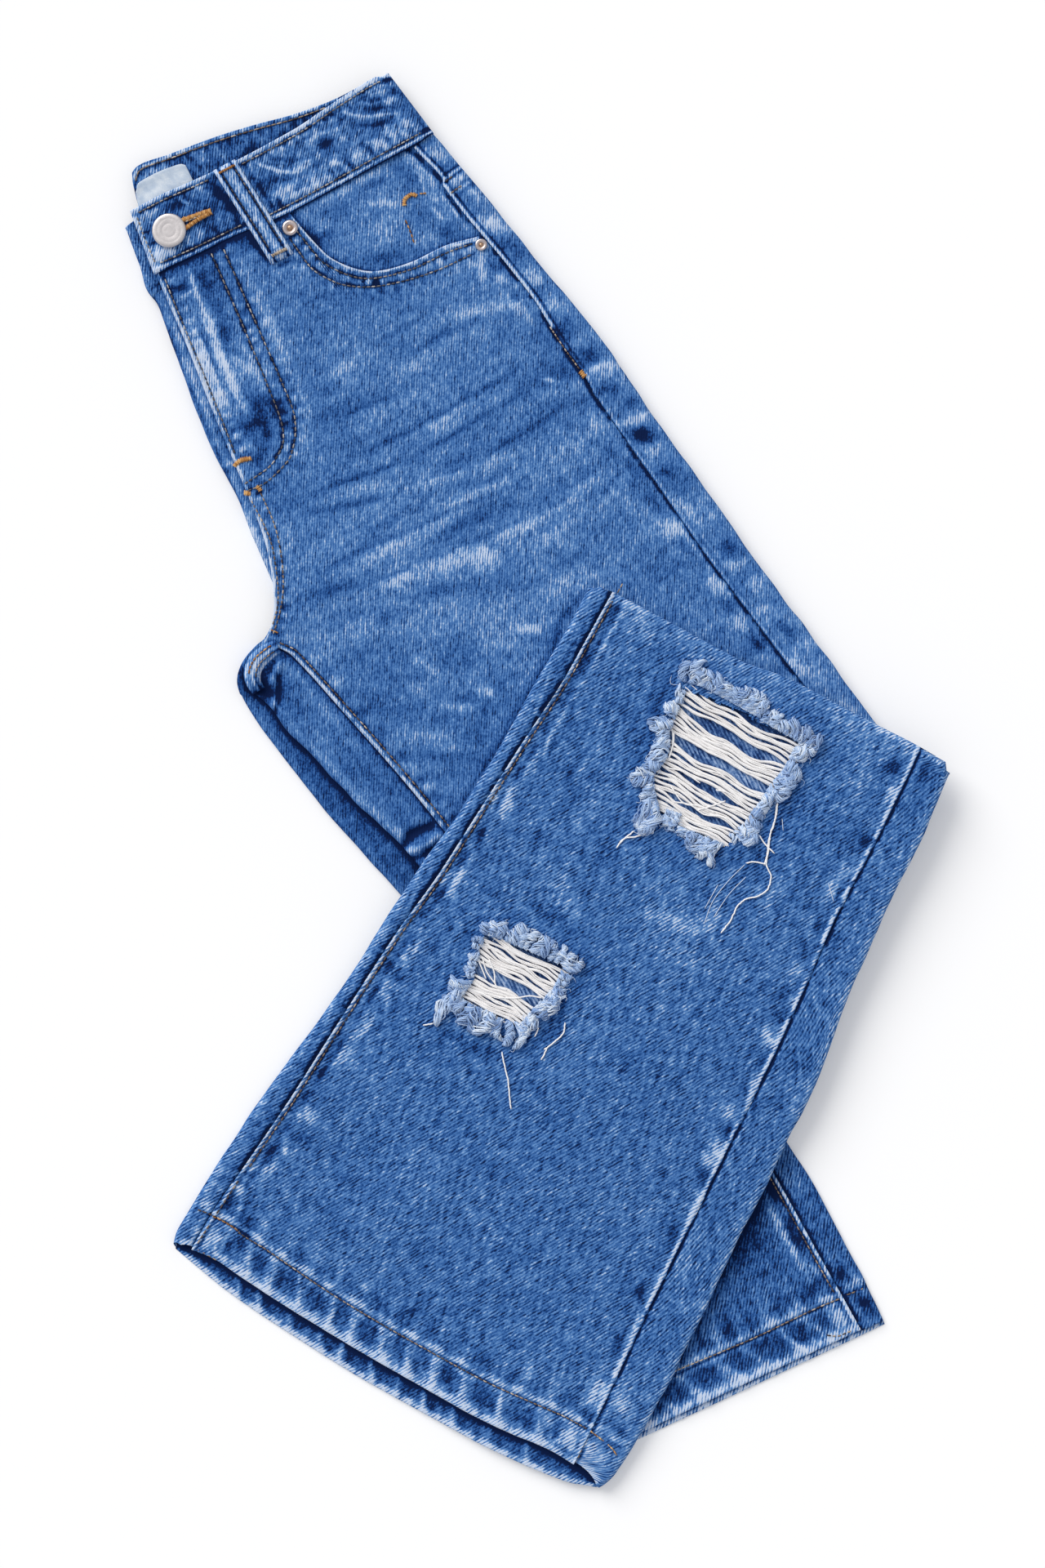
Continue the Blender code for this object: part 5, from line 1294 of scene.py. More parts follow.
def belt_loop():
    """A strip of doubled cloth over the waistband, sewn down at both ends."""
    f = between(0, 62, 1.2)[:, None]
    across = between(0, LOOP_WIDTH, .8, (0, .4, .8, 1.2, 1.6, 2.0, 2.4, 2.8, 3.2)) - .5
    middle = lerp(*LOOP_S, f)
    s = middle + LOOP_WIDTH * across
    t = lerp(*LOOP_T, f) + 2.0 * across
    z = band_top(middle) + BAND + .45 + .45 * np.sin(math.pi * f) + .25 * (1 - (2 * across) ** 2)
    z = z - 1.6 * np.clip((f - .95) / .05, 0, 1) ** 2 - 1.4 * np.clip((.04 - f) / .04, 0, 1) ** 2
    z = z + .5 * bell(f - .905, .02)
    cloth = Cloth("hip", s, t, z, LOOP_WIDTH * across, 62 * f)
    clouds(cloth, 341, .08, .1)
    cloth.wear += .08
    edge = LOOP_WIDTH * (.5 - np.abs(across))
    # White worn edges, painted shade in the stitched grooves, and a lighter middle.
    cloth.wear += .75 * bell(edge - .45, .5) - .85 * bell(edge - 2.3, .75) + .26 * bell(edge - 6.3, 2.4)
    cloth.z += .25 * bell(edge - .8, 1.0) - .3 * bell(edge - 2.3, .8)
    cloth.wear += .45 * bell(f - .93, .012) - .30 * bell(f - .905, .010) + .40 * bell(f - .985, .012)
    cloth.wear += .30 * bell(f - .01, .012)
    for side in ("start", "end", "left", "right"):
        cloth.rim(side, EDGE, .0)
    cloth.build("belt_loop_cloth", DENIM_LOOP, "denim", ("belt_loop",))
    height = relief(cloth)
    for offset in (-4.0, 4.0):
        row = [(68.4 + offset, -22 + .16 * offset), (64.0 + offset, 31.0 + .16 * offset)]
        DUSTY_ROWS.row("hip", row, height, 2.4, .7, bias=.16)
    BROWN_ROWS.zigzag("hip", [(59.0, 32.6), (68.8, 34.4)], height, .9, .5, bias=.80)
    ORANGE_ROWS.zigzag("hip", [(63.4, -24.8), (74.0, -23.0)], height, .7, .6, bias=.16)


def label():
    """Care label tab left bare: thin cloth with rounded upper corners."""
    f, g = spread(0, 1, .06)[:, None], spread(0, 1, .04)[None]
    s = lerp(18.0 - 7.0 * f, 50.5 - 3.0 * f, g)
    top = lerp(-50.2, -43.2, g) - 1.6 * np.sin(math.pi * g) + 3.4 * bell(g, .07) + 1.4 * bell(1 - g, .03)
    t = lerp(top, lerp(-33, -26, g), f)
    z = BAND_LOW + BAND + 1.1 + .35 * noise(s, t, 9, 51) + .5 * bell(f, .2)
    cloth = Cloth("hip", s, t, z)
    for side in ("start", "left", "right"):
        cloth.rim(side, ((.2, .1), (.3, .4), (.2, .7)), 0)
    made = cloth.build("label_bare", LABEL, "label_cloth", ("label_tab",))
    spots = .55 + .5 * cloudy(cloth.s, cloth.t, 4.5, 52) + .3 * noise(cloth.s, cloth.t, 1.6, 53)
    paint(made, "shade", np.clip(spots, 0, 1))


def buttonhole():
    """Close orange stitches round the slot beside the button."""
    def height(s, _):
        return band_top(s) + .5

    ORANGE_ROWS.zigzag("hip", [(29.5, -16.2), (38, -13.6), (46.5, -10.6)], height, 1.3, .42, bias=.55)
    ORANGE_ROWS.zigzag("hip", [(28.0, -11.2), (36, -11.0), (46.0, -9.6)], height, 1.3, .42, bias=.45)
    ORANGE_ROWS.row("hip", [(31, -18), (33, -13), (31, -9)], height, 2.2, .3, bias=.3)
    DUSTY_ROWS.row("hip", [(30, -14.6), (37, -12.6), (44, -10.6)], height, 2.0, .5, bias=.95)


def turned(name, profile, at, material, steps=56, replaces=()):
    """A round fastener turned from a profile of (radius, height) in mm."""
    turns = np.arange(steps) * 2 * math.pi / steps
    points = [(0, 0, profile[0][1] * MM)]
    for radius, z in profile[1:]:
        points += [(radius * MM * math.cos(a), radius * MM * math.sin(a), z * MM) for a in turns]
    faces = [(0, 1 + k, 1 + (k + 1) % steps) for k in range(steps)]
    for low in range(1, 1 + (len(profile) - 2) * steps, steps):
        for k in range(steps):
            j = (k + 1) % steps
            faces.append((low + k, low + steps + k, low + steps + j, low + j))
    add_mesh(name, np.array(points) + at, faces, material, replaces=replaces)


BUTTON_PLACE = (19.8, -15.9)
BUTTON_PROFILE = [
    (0, 2.74), (2.0, 2.74), (3.7, 2.75), (4.0, 2.71), (4.3, 2.76), (6.6, 2.82), (7.0, 2.78), (7.4, 2.84),
    (8.8, 2.84), (9.5, 2.66), (9.95, 2.2), (10.05, 1.6), (9.8, .9), (9.2, .4), (6.0, .1),
]
# Each rivet: its name, place and scale.
RIVETS = (("rivet_front", (77.4, 25.4), 1.08), ("rivet_side", (161.2, 100.6), .82))
RIVET_RING = [(1.7, .55), (2.2, 1.15), (2.9, 1.5), (3.8, 1.42), (4.35, .8), (4.3, .1)]
RIVET_POST = [(0, 1.5), (.7, 1.42), (1.25, 1.1), (1.5, .5), (1.55, .0)]


def fasteners():
    """The button, its face bare, and the two rivets of the pocket."""
    seat = place("hip", *BUTTON_PLACE, band_top(BUTTON_PLACE[0]) + .2)
    turned("button_face", BUTTON_PROFILE, seat, NICKEL, 72, ("button",))
    for name, spot, scale in RIVETS:
        seat = place("hip", *spot, thigh_top(*spot) + .5)
        ring = [(0, .35)] + [(r * scale, z * scale) for r, z in RIVET_RING]
        post = [(r * scale, z * scale) for r, z in RIVET_POST]
        turned(name + "_ring", ring, seat, RING, 48, (name,))
        turned(name + "_post", post, seat, COPPER, 32)


# ------------------------------------------------------------------ lower left leg
ROLL = 4.6
SHIN_INSEAM = [
    (13, -12), (13, 48), (9.5, 100), (6.5, 150), (4, 190), (-1, 232), (-5, 290), (-8.5, 348), (-13, 398),
    (-16.5, 456),
]
SHIN_OUTSEAM = [
    (215, -14), (217, 10), (219, 48), (220, 100), (225, 150), (228, 190), (230, 232), (233, 290),
    (236, 348), (239.5, 398), (243.5, 456),
]
SHIN_HEM_ROW = [
    (-28, 432.5), (-18, 430.8), (-8, 430.2), (0, 430.6), (5, 432.2), (20, 432.8), (40, 434.6),
    (60, 436.5), (80, 437.7), (100, 438.3), (120, 438.5), (150, 438.4), (170, 438), (190, 436.5),
    (210, 434.5), (228, 433), (240, 433), (250, 434.5), (257, 436), (263, 439.4),
]
SHIN_MARKS = (
    # beside the inseam
    (17, 124, 20, 142, 3.2, .42), (14, 178, 17, 197, 2.8, .34), (13, 230, 12, 248, 2.6, .26),
    (8, 260, 14, 276, 3, .24), (11, 280, 9, 300, 2.2, .30), (9, 300, 8, 317, 2.2, .24),
    (2, 350, 10, 354, 4, .36), (2, 382, 1, 398, 2.4, .28), (3, 374, 5, 380, 1.6, .46),
    (22, 56, 23, 112, 1.6, .20), (23, 10, 23, 40, 1.4, .14), (34, -4, 46, 14, 5, .12),
    (26, -6, 38, 30, 4, .10), (50, 70, 47, 96, 2, .16), (64, 100, 62, 130, 3, .10),
    (18, 2, 18, 14, 2.8, -.26), (18, 30, 19, 56, 2.2, -.20), (16, 150, 18, 172, 3, -.16),
    (8, 252, 14, 254, 4, -.30), (4, 262, 5, 276, 2.6, -.20), (2, 316, 2, 345, 3, -.16),
    (2, 362, 14, 368, 4, -.24), (-4, 404, -2, 419, 4, -.30), (-8, 424, 2, 427, 4, -.24),
    (27, 60, 27, 150, 2.6, -.08), (44, 140, 47, 156, 3.4, -.16), (42, 84, 43, 108, 2.4, -.16),
    # the middle
    (118, 153, 148, 147, 162, 134, 5, .22), (50, 152, 82, 170, 5, .12), (186, 8, 197, 38, 4, .12),
    (182, 78, 180, 130, 4, .10), (152, 110, 158, 142, 3, .15), (120, 170, 170, 160, 7, .08),
    (60, 178, 90, 184, 5, -.10), (98, 114, 142, 119, 5, -.08), (66, 20, 70, 88, 5, -.12),
    (166, 36, 164, 104, 6, -.12), (80, 114, 84, 152, 4, -.10), (36, 268, 66, 270, 92, 266, 4, -.16),
    (104, 200, 108, 252, 5, -.12), (130, 0, 170, 4, 5, -.10),
    # beside the outseam
    (211, 15, 213, 24, 3.4, .34), (211, 70, 209, 93, 3.6, .34), (213, 133, 216, 146, 3.6, .30),
    (216, 176, 222, 183, 3.6, .44), (223, 203, 228, 222, 2.2, .36), (216, 228, 225, 232, 3.4, .38),
    (220, 246, 230, 257, 4.6, .40), (219, 259, 226, 262, 3.4, .28), (230, 278, 233, 300, 2.2, .30),
    (233, 328, 234, 346, 2.0, .34), (233, 360, 236, 384, 1.8, .22), (229, 404, 237, 420, 4.6, .36),
    (206, 0, 208, 11, 4.6, -.42), (213, 47, 214, 56, 3.2, -.28), (213, 80, 215, 92, 3, -.24),
    (214, 104, 216, 113, 3.2, -.28), (214, 122, 216, 130, 4, -.26), (216, 148, 217, 158, 4, -.30),
    (218, 164, 222, 170, 3.6, -.22), (222, 190, 224, 198, 3.2, -.26), (224, 236, 228, 242, 4, -.34),
    (222, 266, 232, 274, 4.4, -.26), (224, 300, 231, 318, 4, -.26), (221, 346, 230, 350, 4, -.34),
    (229, 366, 231, 392, 3, -.24), (226, 424, 236, 428, 4, -.28), (217, 82, 221, 90, 3, .26),
    (219, 102, 224, 126, 2.4, .18), (215, 150, 222, 157, 3, .26), (223, 166, 228, 182, 2.4, .18),
    (229, 206, 232, 228, 2.2, .18), (236, 282, 239, 340, 2.0, .16), (237, 386, 239, 410, 2.4, .18),
    (210, 76, 213, 82, 3.4, -.24), (216, 138, 218, 144, 3.0, -.28), (221, 208, 224, 218, 3.0, -.24),
    (220, 243, 225, 250, 3.4, -.18), (228, 326, 231, 334, 3, -.22), (19, 58, 26, 74, 4, -.16),
    (26, 2, 34, 8, 4, -.08), (12, -6, 17, 10, 4, .12), (4, 128, 12, 138, 4, .14),
    (104, 114, 138, 132, 8, .08), (178, -10, 214, -9.5, 1.8, .22), (6, 128, 9, 140, 4, .24),
    # (227, 451.5 ...) and (-18, 452 ...) are painted shadow along the hem's lower edge.
    (8, 188, 10, 196, 3, .30), (240, 422, 250, 430, 4, -.24), (227, 451.5, 238, 451.5, 3.2, -.7),
    (-10, 394, -5, 398, 4, .36), (-18, 408, -2, 412, 4, .30), (-18, 452, 8, 452.5, 2.2, -.5),
    (-4, 10, -3, 34, 3, .20), (232, 274, 233, 296, 3, .34), (140, 436, 146, 456, 2.6, .2),
    (110, 440, 118, 456, 2.6, .16), (6, 203, 16, 203, 4, -.24), (6, 275, 16, 276, 3.4, -.24),
    (6, 424, 8, 440, 3.4, -.34), (-3, 370, -1, 392, 3, -.24), (0, 262, 1, 276, 2.6, .24),
    (215, 430, 215, 446, 2.6, .30), (229, 440, 236, 444, 5, .20),
    # above the hem
    (7, 427, 12, 426, 3.2, -.18), (28, 426, 32, 425, 3.2, -.14), (46, 427, 50, 427, 3, -.08),
    (64, 428, 68, 428, 3.2, -.22), (82, 429, 86, 429, 3, -.16), (101, 430, 105, 430, 3.2, -.20),
    (116, 431, 120, 430, 3, -.18), (134, 430, 138, 430, 3, -.16), (175, 431, 179, 430, 3.2, -.26),
    (206, 430, 211, 429, 3.4, -.16), (50, 440, 60, 452, 5, .16), (108, 440, 111, 450, 4, .14),
    (128, 441, 142, 452, 6, .16), (160, 440, 168, 450, 5, .14), (188, 440, 200, 450, 6, .18),
    (216, 438, 232, 448, 6, .18), (88, 440, 94, 450, 4, .10), (2, -3, 20, -2, 40, -4, 3, .14),
    (112, 423, 124, 424, 5.4, -.24), (176, 425, 186, 425, 4, -.12), (86, 425, 94, 425, 4, -.14),
    (52, 419, 58, 424, 4, .10), (190, 416, 198, 424, 5, .12), (146, 424, 160, 424, 4.4, -.14),
    (214, 424, 218, 425, 4, -.16),
)
HEM_PUCKERS = (15, 31, 51, 73, 88, 108, 126, 143, 163, 187, 212)
RIGHT_HEM_PUCKERS = (-174, -156, -137, -118.5, -95.5, -76.5, -53, -35.5)
SIDE_BAND_MARKS = (
    (245, 402, 252, 418, 5.4, .30), (241, 436, 245, 451, 2.6, .36), (222, -4, 227, 6, 4.6, -.24),
    (222, 104, 226, 113, 4, -.24), (229, 211, 231, 221, 3.2, -.26), (248, 424, 257, 426, 3.6, -.22),
    (240, 20, 241, 60, 2.6, -.14), (236, 300, 242, 330, 4, .10), (247, 438, 258, 452, 6, .22),
    (216, -11, 236, -8, 1.8, .22), (-22, 426, -18, 430, 3, .16), (-14, 300, -12, 330, 3, -.10),
    (-21, 436, -20, 450, 4, .16), (-6, 6, -5, 48, 3.4, .10), (-5, 128, -7, 140, 4, .14),
    (243, 106, 246, 116, 2.6, -.12), (248, 190, 252, 214, 3.4, .08), (-14, 438, -12, 452, 6, .34),
    (-10, 405, -6, 416, 4, .24), (-8, 390, -7, 398, 3, .24), (-6, 130, -5, 138, 4, .16),
    (242, 438, 248, 446, 5, .26),
)


def shin_heights(w, t):
    """Top face, and underside, of the lower leg; both close on each other at the fold."""
    deep = np.clip(t - fold_line(w), 0, None)
    low = lerp(FOLD_FLOOR, shin_floor(w, t), step_up(deep, 0, 9))
    top = shin_floor(w, t) + TUBE
    swell = np.sqrt(1 - (1 - np.clip(deep / ROLL, 0, 1)) ** 2)
    middle, half = (top + low) / 2, (top - low) / 2
    return middle + half * swell, middle - half * swell


def inside_outline(w, t, corners, ragged, seed):
    """True within a tear, its edge made ragged."""
    w = w + ragged * noise(w, t, 3.0, seed)
    t = t + ragged * noise(w, t, 3.0, seed + 1)
    inside = np.zeros(np.shape(w), bool)
    for (w0, t0), (w1, t1) in zip(corners, corners[1:] + corners[:1]):
        crosses = (t0 > t) != (t1 > t)
        with np.errstate(divide="ignore", invalid="ignore"):
            at = (w1 - w0) * (t - t0) / (t1 - t0 if t1 != t0 else 1e-9) + w0
        inside ^= crosses & (w < at)
    return inside


def hem_bars(cloth, across, down, height, bars, slant, hollow=.20):
    """Light bars and dark hollows of a puckered hem, the hollows partly less worn and partly painted shade;
    down runs from 0 at its seam to height.
    """
    inside = (down > 0) & (down < height + 2)
    deep = np.clip(down / height, 0, 1)
    cloth.wear -= np.where(inside, .10 * bell(down - height * .45, height * .4), 0)
    gaps = [(b - a) / 2 for a, b in zip(bars, bars[1:])] + [7.5]
    for index, (bar, gap) in enumerate(zip(bars, gaps)):
        slope = slant + .16 * math.sin(4.1 * index)
        lean = slope * (down - height / 2) + .012 * np.clip(down - height * .45, 0, None) ** 2
        away = across - bar - lean - 1.3 * noise(across, down, 8.0, 400)
        strong = .95 + .25 * math.sin(2.3 * index)
        wide = (2.2 + .6 * math.sin(1.7 * index + 1)) * (1 + .8 * deep ** 3)
        light = bell(away, wide) * np.clip(.55 + .9 * deep, 0, 1.1)
        between_bars = np.clip(1.5 * bell(away - gap, .62 * gap), 0, 1)
        dark = between_bars * np.clip(1.3 * bell(down - height * .46, height * .42), 0, 1)
        rough = 1 + .45 * noise(across, down, 2.8, 406)
        cloth.wear += np.where(inside, strong * rough * (.46 * light - hollow * dark), 0)
        cloth.z += np.where(inside, strong * (.40 * light - .60 * dark), 0)
    teeth = (1 + .55 * noise(across + .5 * down, down * .5, 2.4, 405)) * (down < height + 3)
    cloth.wear += (.46 * bell(down - height + .7, 1.9) + .30 * bell(down - height + 2.6, 3.4)) * teeth
    cloth.wear += .26 * bell(down - 1.9, 1.1) * (.7 + .6 * noise(across, 0 * across, 5, 404))


def above_hem(cloth, across, up, pitch, start):
    """Scalloped pale band and short streaks just above a hem."""
    wander = 3.0 * noise(across, 0 * across, pitch * 1.1, 411)
    beat = .5 + .5 * np.cos(2 * math.pi * (across + wander - start) / pitch)
    shape = bell(up - 2.0 - 1.0 * beat, 1.5 + .8 * beat) * (up > -1)
    cloth.wear += (.34 + .22 * beat) * shape * (1 + .5 * noise(across, up, 3.0, 412))
    cloth.z += .35 * beat * shape
    tall = bell(up - 12, 8.5) * beat ** 3
    cloth.wear += .20 * tall
    cloth.wear -= .18 * bell(up - 9, 4.6) * (1 - beat) ** 2


SHIN_HEM_MARKS = (
    (-9, 433, -8, 448, 6.2, .60), (230, 436, 235, 450, 5.6, .42), (2, 438, 3, 448, 3.0, -.30),
    (222, 438, 225, 448, 2.6, -.34),
)


def shin_front():
    """The left leg's front below the fold, with both tears cut out and the hem."""
    u = between(0, 226, 1.35, (0, .45, 1.0, 1.6, 2.3, 3.1, 4.1, 5.3))
    turns = np.radians(np.linspace(-80, 90, 16))[:-1, None]
    fold = fold_line(lerp(shin_inseam(-6.0), shin_outseam(-6.0), u))
    steps = np.linspace(0, 1, 318)[:, None]
    t = np.vstack([fold + ROLL * (1 - np.cos(turns)), lerp(fold + ROLL, hem_front(u), steps)])
    k = np.vstack([np.sin(turns), 1 + 0 * steps])
    w = lerp(shin_inseam(t), shin_outseam(t), u)
    level = shin_floor(w, t)
    low = lerp(FOLD_FLOOR, level, step_up(t - fold, 0, 9))
    z = lerp(low, level + TUBE, .5 + .5 * k)
    cloth = Cloth("shin", w, t, z, w, walk(t, z))
    clouds(cloth, 421, .05, .4)
    marks(cloth, SHIN_MARKS, gain=1.5, deep=.78)
    # Painted highlight towards the fold's crest.
    cloth.wear += .12 * np.clip((14 - t) / 16, 0, 1)
    ridge(cloth, SHIN_INSEAM, .7, .75, .85, .8)
    ridge(cloth, SHIN_INSEAM, 2.8, .8, -.55, -.3)
    ridge(cloth, SHIN_INSEAM, 11.0, 1.1, .24, .25)
    ridge(cloth, SHIN_INSEAM, 7.5, 2.2, -.18, -.2)
    puckers(cloth, SHIN_INSEAM, 7.0, 2.6, 19.0, .18, 422)
    ridge(cloth, SHIN_OUTSEAM, 0, .9, -1.0, -.5)
    ridge(cloth, SHIN_OUTSEAM, -1.8, 1.15, .86, .3)
    down = t - hem_seam(u)
    hem_bars(cloth, w, down, hem_front(u) - hem_seam(u), HEM_PUCKERS, .32)
    above_hem(cloth, w, -down, 17.9, 14.0)
    # Painted shade in the hem seam's groove.
    cloth.wear -= .50 * bell(down, .8)
    cloth.z -= .45 * bell(down, 1.3)
    cloth.z += .5 * step_up(down, .5, 3)
    marks(cloth, SHIN_HEM_MARKS)
    holes = np.zeros(t.shape, bool)
    for i, corners in enumerate(TEARS.values()):
        holes |= inside_outline(w, t, corners, 1.2, 430 + 3 * i)
        cloth.wear -= .08 * bell(np.abs(cloth.off(corners + corners[:1])) - 9.5, 3.4)
    cloth.rim("end", ((.5, .1), (1.0, .6), (1.2, 1.3), (.9, 2.0), (-.4, 2.4), (-3, 2.4)), .12)
    cloth.hole[:len(holes)] = holes
    cloth.build("leg_front", DENIM_LEG, "denim",
                ("front_left_shin", "front_left_fold", "hem_left_front"))
    height = relief(cloth)
    BROWN_ROWS.row("shin", [(p + 2.8, q) for p, q in SHIN_INSEAM[:-1]], height, 2.7, .65, bias=.26)
    BROWN_ROWS.row("shin", [(-11.5, 405), (-13.6, 430)], height, 2.6, .9, bias=.2)
    BROWN_ROWS.row("shin", SHIN_HEM_ROW[1:-3], height, 2.5, .55)
    BROWN_ROWS.row("shin", [(-14, 436), (-15, 451)], height, 2.6, .9, bias=.25)
    BROWN_ROWS.row("shin", [(-14, 452.5), (2, 452.5)], height, 2.6, .9, bias=.35)
    ORANGE_ROWS.row("shin", [(-15, 431.0), (-8, 430.6), (0, 431.0), (5, 432.4)], height, 2.6, .4, bias=.45)


def back_stations():
    """Places round the back of the lower leg: the part they lie in, and how far along it they are."""
    turns = np.radians(np.linspace(80, -80, 11))
    parts = (("top_left", (0, .045, .11, .2, .31, .43, .56, .68)), ("left", turns),
             ("low", np.linspace(.05, .95, 22)), ("right", -turns),
             ("top_right", (.78, .66, .54, .42, .31, .2, .11, .05, 0)))
    return [(part, value) for part, values in parts for value in values]


def back_column(part, value):
    """One line of cloth down the back of the lower leg, from the fold to the hem, as w, t and z."""
    inset = 3.4
    if part == "top_left":
        side, start, depth = 0, 6.0, .9 * value ** 2
    elif part == "left":
        side, start, depth = 0, 1.0, .70 - .30 * math.sin(value)
    elif part == "low":
        side, start, depth = value, lerp(2, 235, value), 1.0
    elif part == "right":
        side, start, depth = 1, 236.0, .93
    else:
        side, start, depth = 1, 226.0, 1.15 * value ** 2.1
    fold = fold_line(start)
    swells = ROLL * (1 - np.cos(np.radians(np.linspace(2, 84, 8))))
    end = lerp(hem_front(side) - .6, hem_back(side), depth)
    t = np.concatenate([fold + swells, lerp(fold + ROLL, end, np.linspace(0, 1, 230))])
    left, right = shin_left(t), shin_right(t)
    wave = .7 * noise(t, 0 * t, 16, 441)
    if part == "top_left":
        w = lerp(shin_inseam(t) - .3, left + inset, value / .8)
    elif part == "left":
        w = left + inset * (1 - math.cos(value)) + wave * .6
    elif part == "low":
        w = lerp(left, right, value)
    elif part == "right":
        w = right - inset * (1 - math.cos(value)) + wave
    else:
        w = lerp(shin_outseam(t) + .3, right - inset, value / .86)
    top, low = shin_heights(w, t)
    if part in ("left", "right"):
        return w, t, lerp(low, top - .5, .5 + .5 * math.sin(value))
    return w, t, low if part == "low" else top - .35


def shin_back():
    """The back of the lower leg: what shows beside the seams, round the folds, and the underside."""
    stations = back_stations()
    w, t, z = np.moveaxis([back_column(*station) for station in stations], 0, 2)
    cloth = Cloth("shin", w, t, z, -walk(w, z, 1), t)
    clouds(cloth, 451, .06, .3)
    on_top = np.array([part.startswith("top") for part, _ in stations])
    plain_wear, plain_z = cloth.wear.copy(), cloth.z.copy()
    marks(cloth, SIDE_BAND_MARKS, gain=1.5, deep=.8)
    ridge(cloth, SHIN_INSEAM, -.2, 1.7, -.95, -.9)
    ridge(cloth, SHIN_OUTSEAM, .2, 1.0, -.90, -.4)
    ridge(cloth, SHIN_OUTSEAM, 2.2, 1.0, .16, .15)
    cloth.wear = np.where(on_top, cloth.wear, plain_wear)
    cloth.z = np.where(on_top, cloth.z, plain_z)
    # Painted highlight along both folded edges of the leg.
    cloth.wear += .22 * bell(shin_right(cloth.t) - cloth.s - 1.4, 2.2)
    cloth.wear += .16 * bell(cloth.s - shin_left(cloth.t) - 2.0, 2.6)
    side = np.array([0.0 if part in ("top_left", "left") else 1.0 for part, _ in stations])
    down = t - hem_seam(side)
    # Painted shade in the hem seam's groove; lighter above it and at the hem's edge.
    cloth.wear -= .30 * bell(down, .9) * on_top
    cloth.wear += .24 * bell(down + 4, 3) * on_top - .06 * (down > 0)
    cloth.wear += .70 * bell(t[-1:] - t - .7, 2.0) * on_top
    cloth.build("leg_back", DENIM_LEG, "denim", ("back_left_shin",))
    height = relief(cloth)
    BROWN_ROWS.row("shin", SHIN_HEM_ROW[:2], height, 2.5, .6)
    BROWN_ROWS.row("shin", SHIN_HEM_ROW[-4:], height, 2.5, .6)
    ORANGE_ROWS.row("shin", SHIN_HEM_ROW[-4:], height, 2.7, .5, bias=.4)
    BROWN_ROWS.row("shin", [(240.5, 437), (242, 451)], height, 2.6, 1.2, bias=.3)


def hem_inside(name, flat, left_of, right_of, front_of, end_of, level, thick, replaces, bars, material,
               dark=3.8):
    """The far side of a leg's hem, seen past its front edge, with its inside up, and painted shadow below
    that edge, about dark mm deep.
    """
    u = np.linspace(0, 1, 230)
    f = between(0, 20, 1.0, (0, .5, 1.1, 1.8))[:, None]
    end = end_of(u)
    t = lerp(front_of(lerp(left_of(445), right_of(445), u)) - 6, end, f)
    s = lerp(left_of(t), right_of(t), u)
    z = level(s, t) + thick * np.sqrt(np.clip(1 - (2 * u - 1) ** 12, 0, 1))
    cloth = Cloth(flat, s, t, z)
    clouds(cloth, 461, .10, .2)
    deep = end - t
    below = np.clip(t - front_of(s), 0, None)
    for index, bar in enumerate(bars):
        away = s - bar - 5.5 + .5 * deep + 1.2 * noise(s, t, 6.0, 465)
        strong = .8 + .3 * math.sin(1.9 * index)
        cloth.wear += strong * (.58 * bell(away, 2.2) - .26 * bell(away - 6.0, 3.0) * bell(deep - 4.5, 3.6))
        cloth.z += .4 * bell(away, 2.4)
    cloth.wear += .84 * bell(deep - .4, 2.3) * (1 + .6 * noise(s + .5 * t, .5 * t, 2.4, 466)) - .12
    # Painted shadow below the front hem's edge.
    cloth.wear -= 1.2 * bell(below, dark) + .20 * np.exp(-below / 4.5)
    cloth.rim("end", ((.5, .15), (.9, .7), (.9, 1.3), (.4, 1.9), (-1.5, 2.0)), .0)
    cloth.build(name, material, "denim", replaces)


def hem_opening(w):
    """Where the opening begins below the left leg's front, from one tip to the other."""
    front = hem_front(np.clip((w + 16.3) / 257.8, 0, 1))
    left_tip = 4.4 * np.clip((-16 - w) / 10, 0, 1.4) ** 1.6
    right_tip = 3.0 * np.clip((w - 246) / 12, 0, 1.3) ** 1.8
    return front + left_tip + right_tip


# ------------------------------------------------------------------ tears
# Bundles of weft across a tear: t of their upper and lower side, w of both ends, and their sag.
BANDS = {
    "upper": ((22.0, 34.0, 79, 154, .6), (37.5, 50.5, 81, 152, 1.6), (57.0, 69.5, 87, 151, -.8),
              (70.5, 83.0, 87, 150, .6), (84.0, 95.5, 91, 144, .8)),
    "lower": ((204.0, 213.2, 45, 98, .4), (212.6, 222.5, 46, 98, .5), (231.5, 241.2, 50, 94, -1.7),
              (240.4, 249.5, 49, 93, -.7)),
}
STRAYS = {
    "upper": (
        [(81, 48), (85, 53), (88, 60), (89, 66)], [(84, 50), (87, 56), (89, 64)],
        [(98, 79), (110, 84), (118, 81), (128, 80)], [(104, 86), (114, 83), (122, 84), (134, 80), (144, 82)],
        [(90, 71), (100, 68), (112, 69)], [(122, 68), (130, 66), (146, 69)],
        [(118, 84), (124, 78), (130, 71)],
    ),
    "lower": (
        [(50, 220), (56, 226), (64, 230)], [(54, 219), (60, 224), (66, 231), (72, 230)],
        [(48, 222), (58, 230)], [(70, 236), (78, 232), (86, 226), (92, 224)],
    ),
}
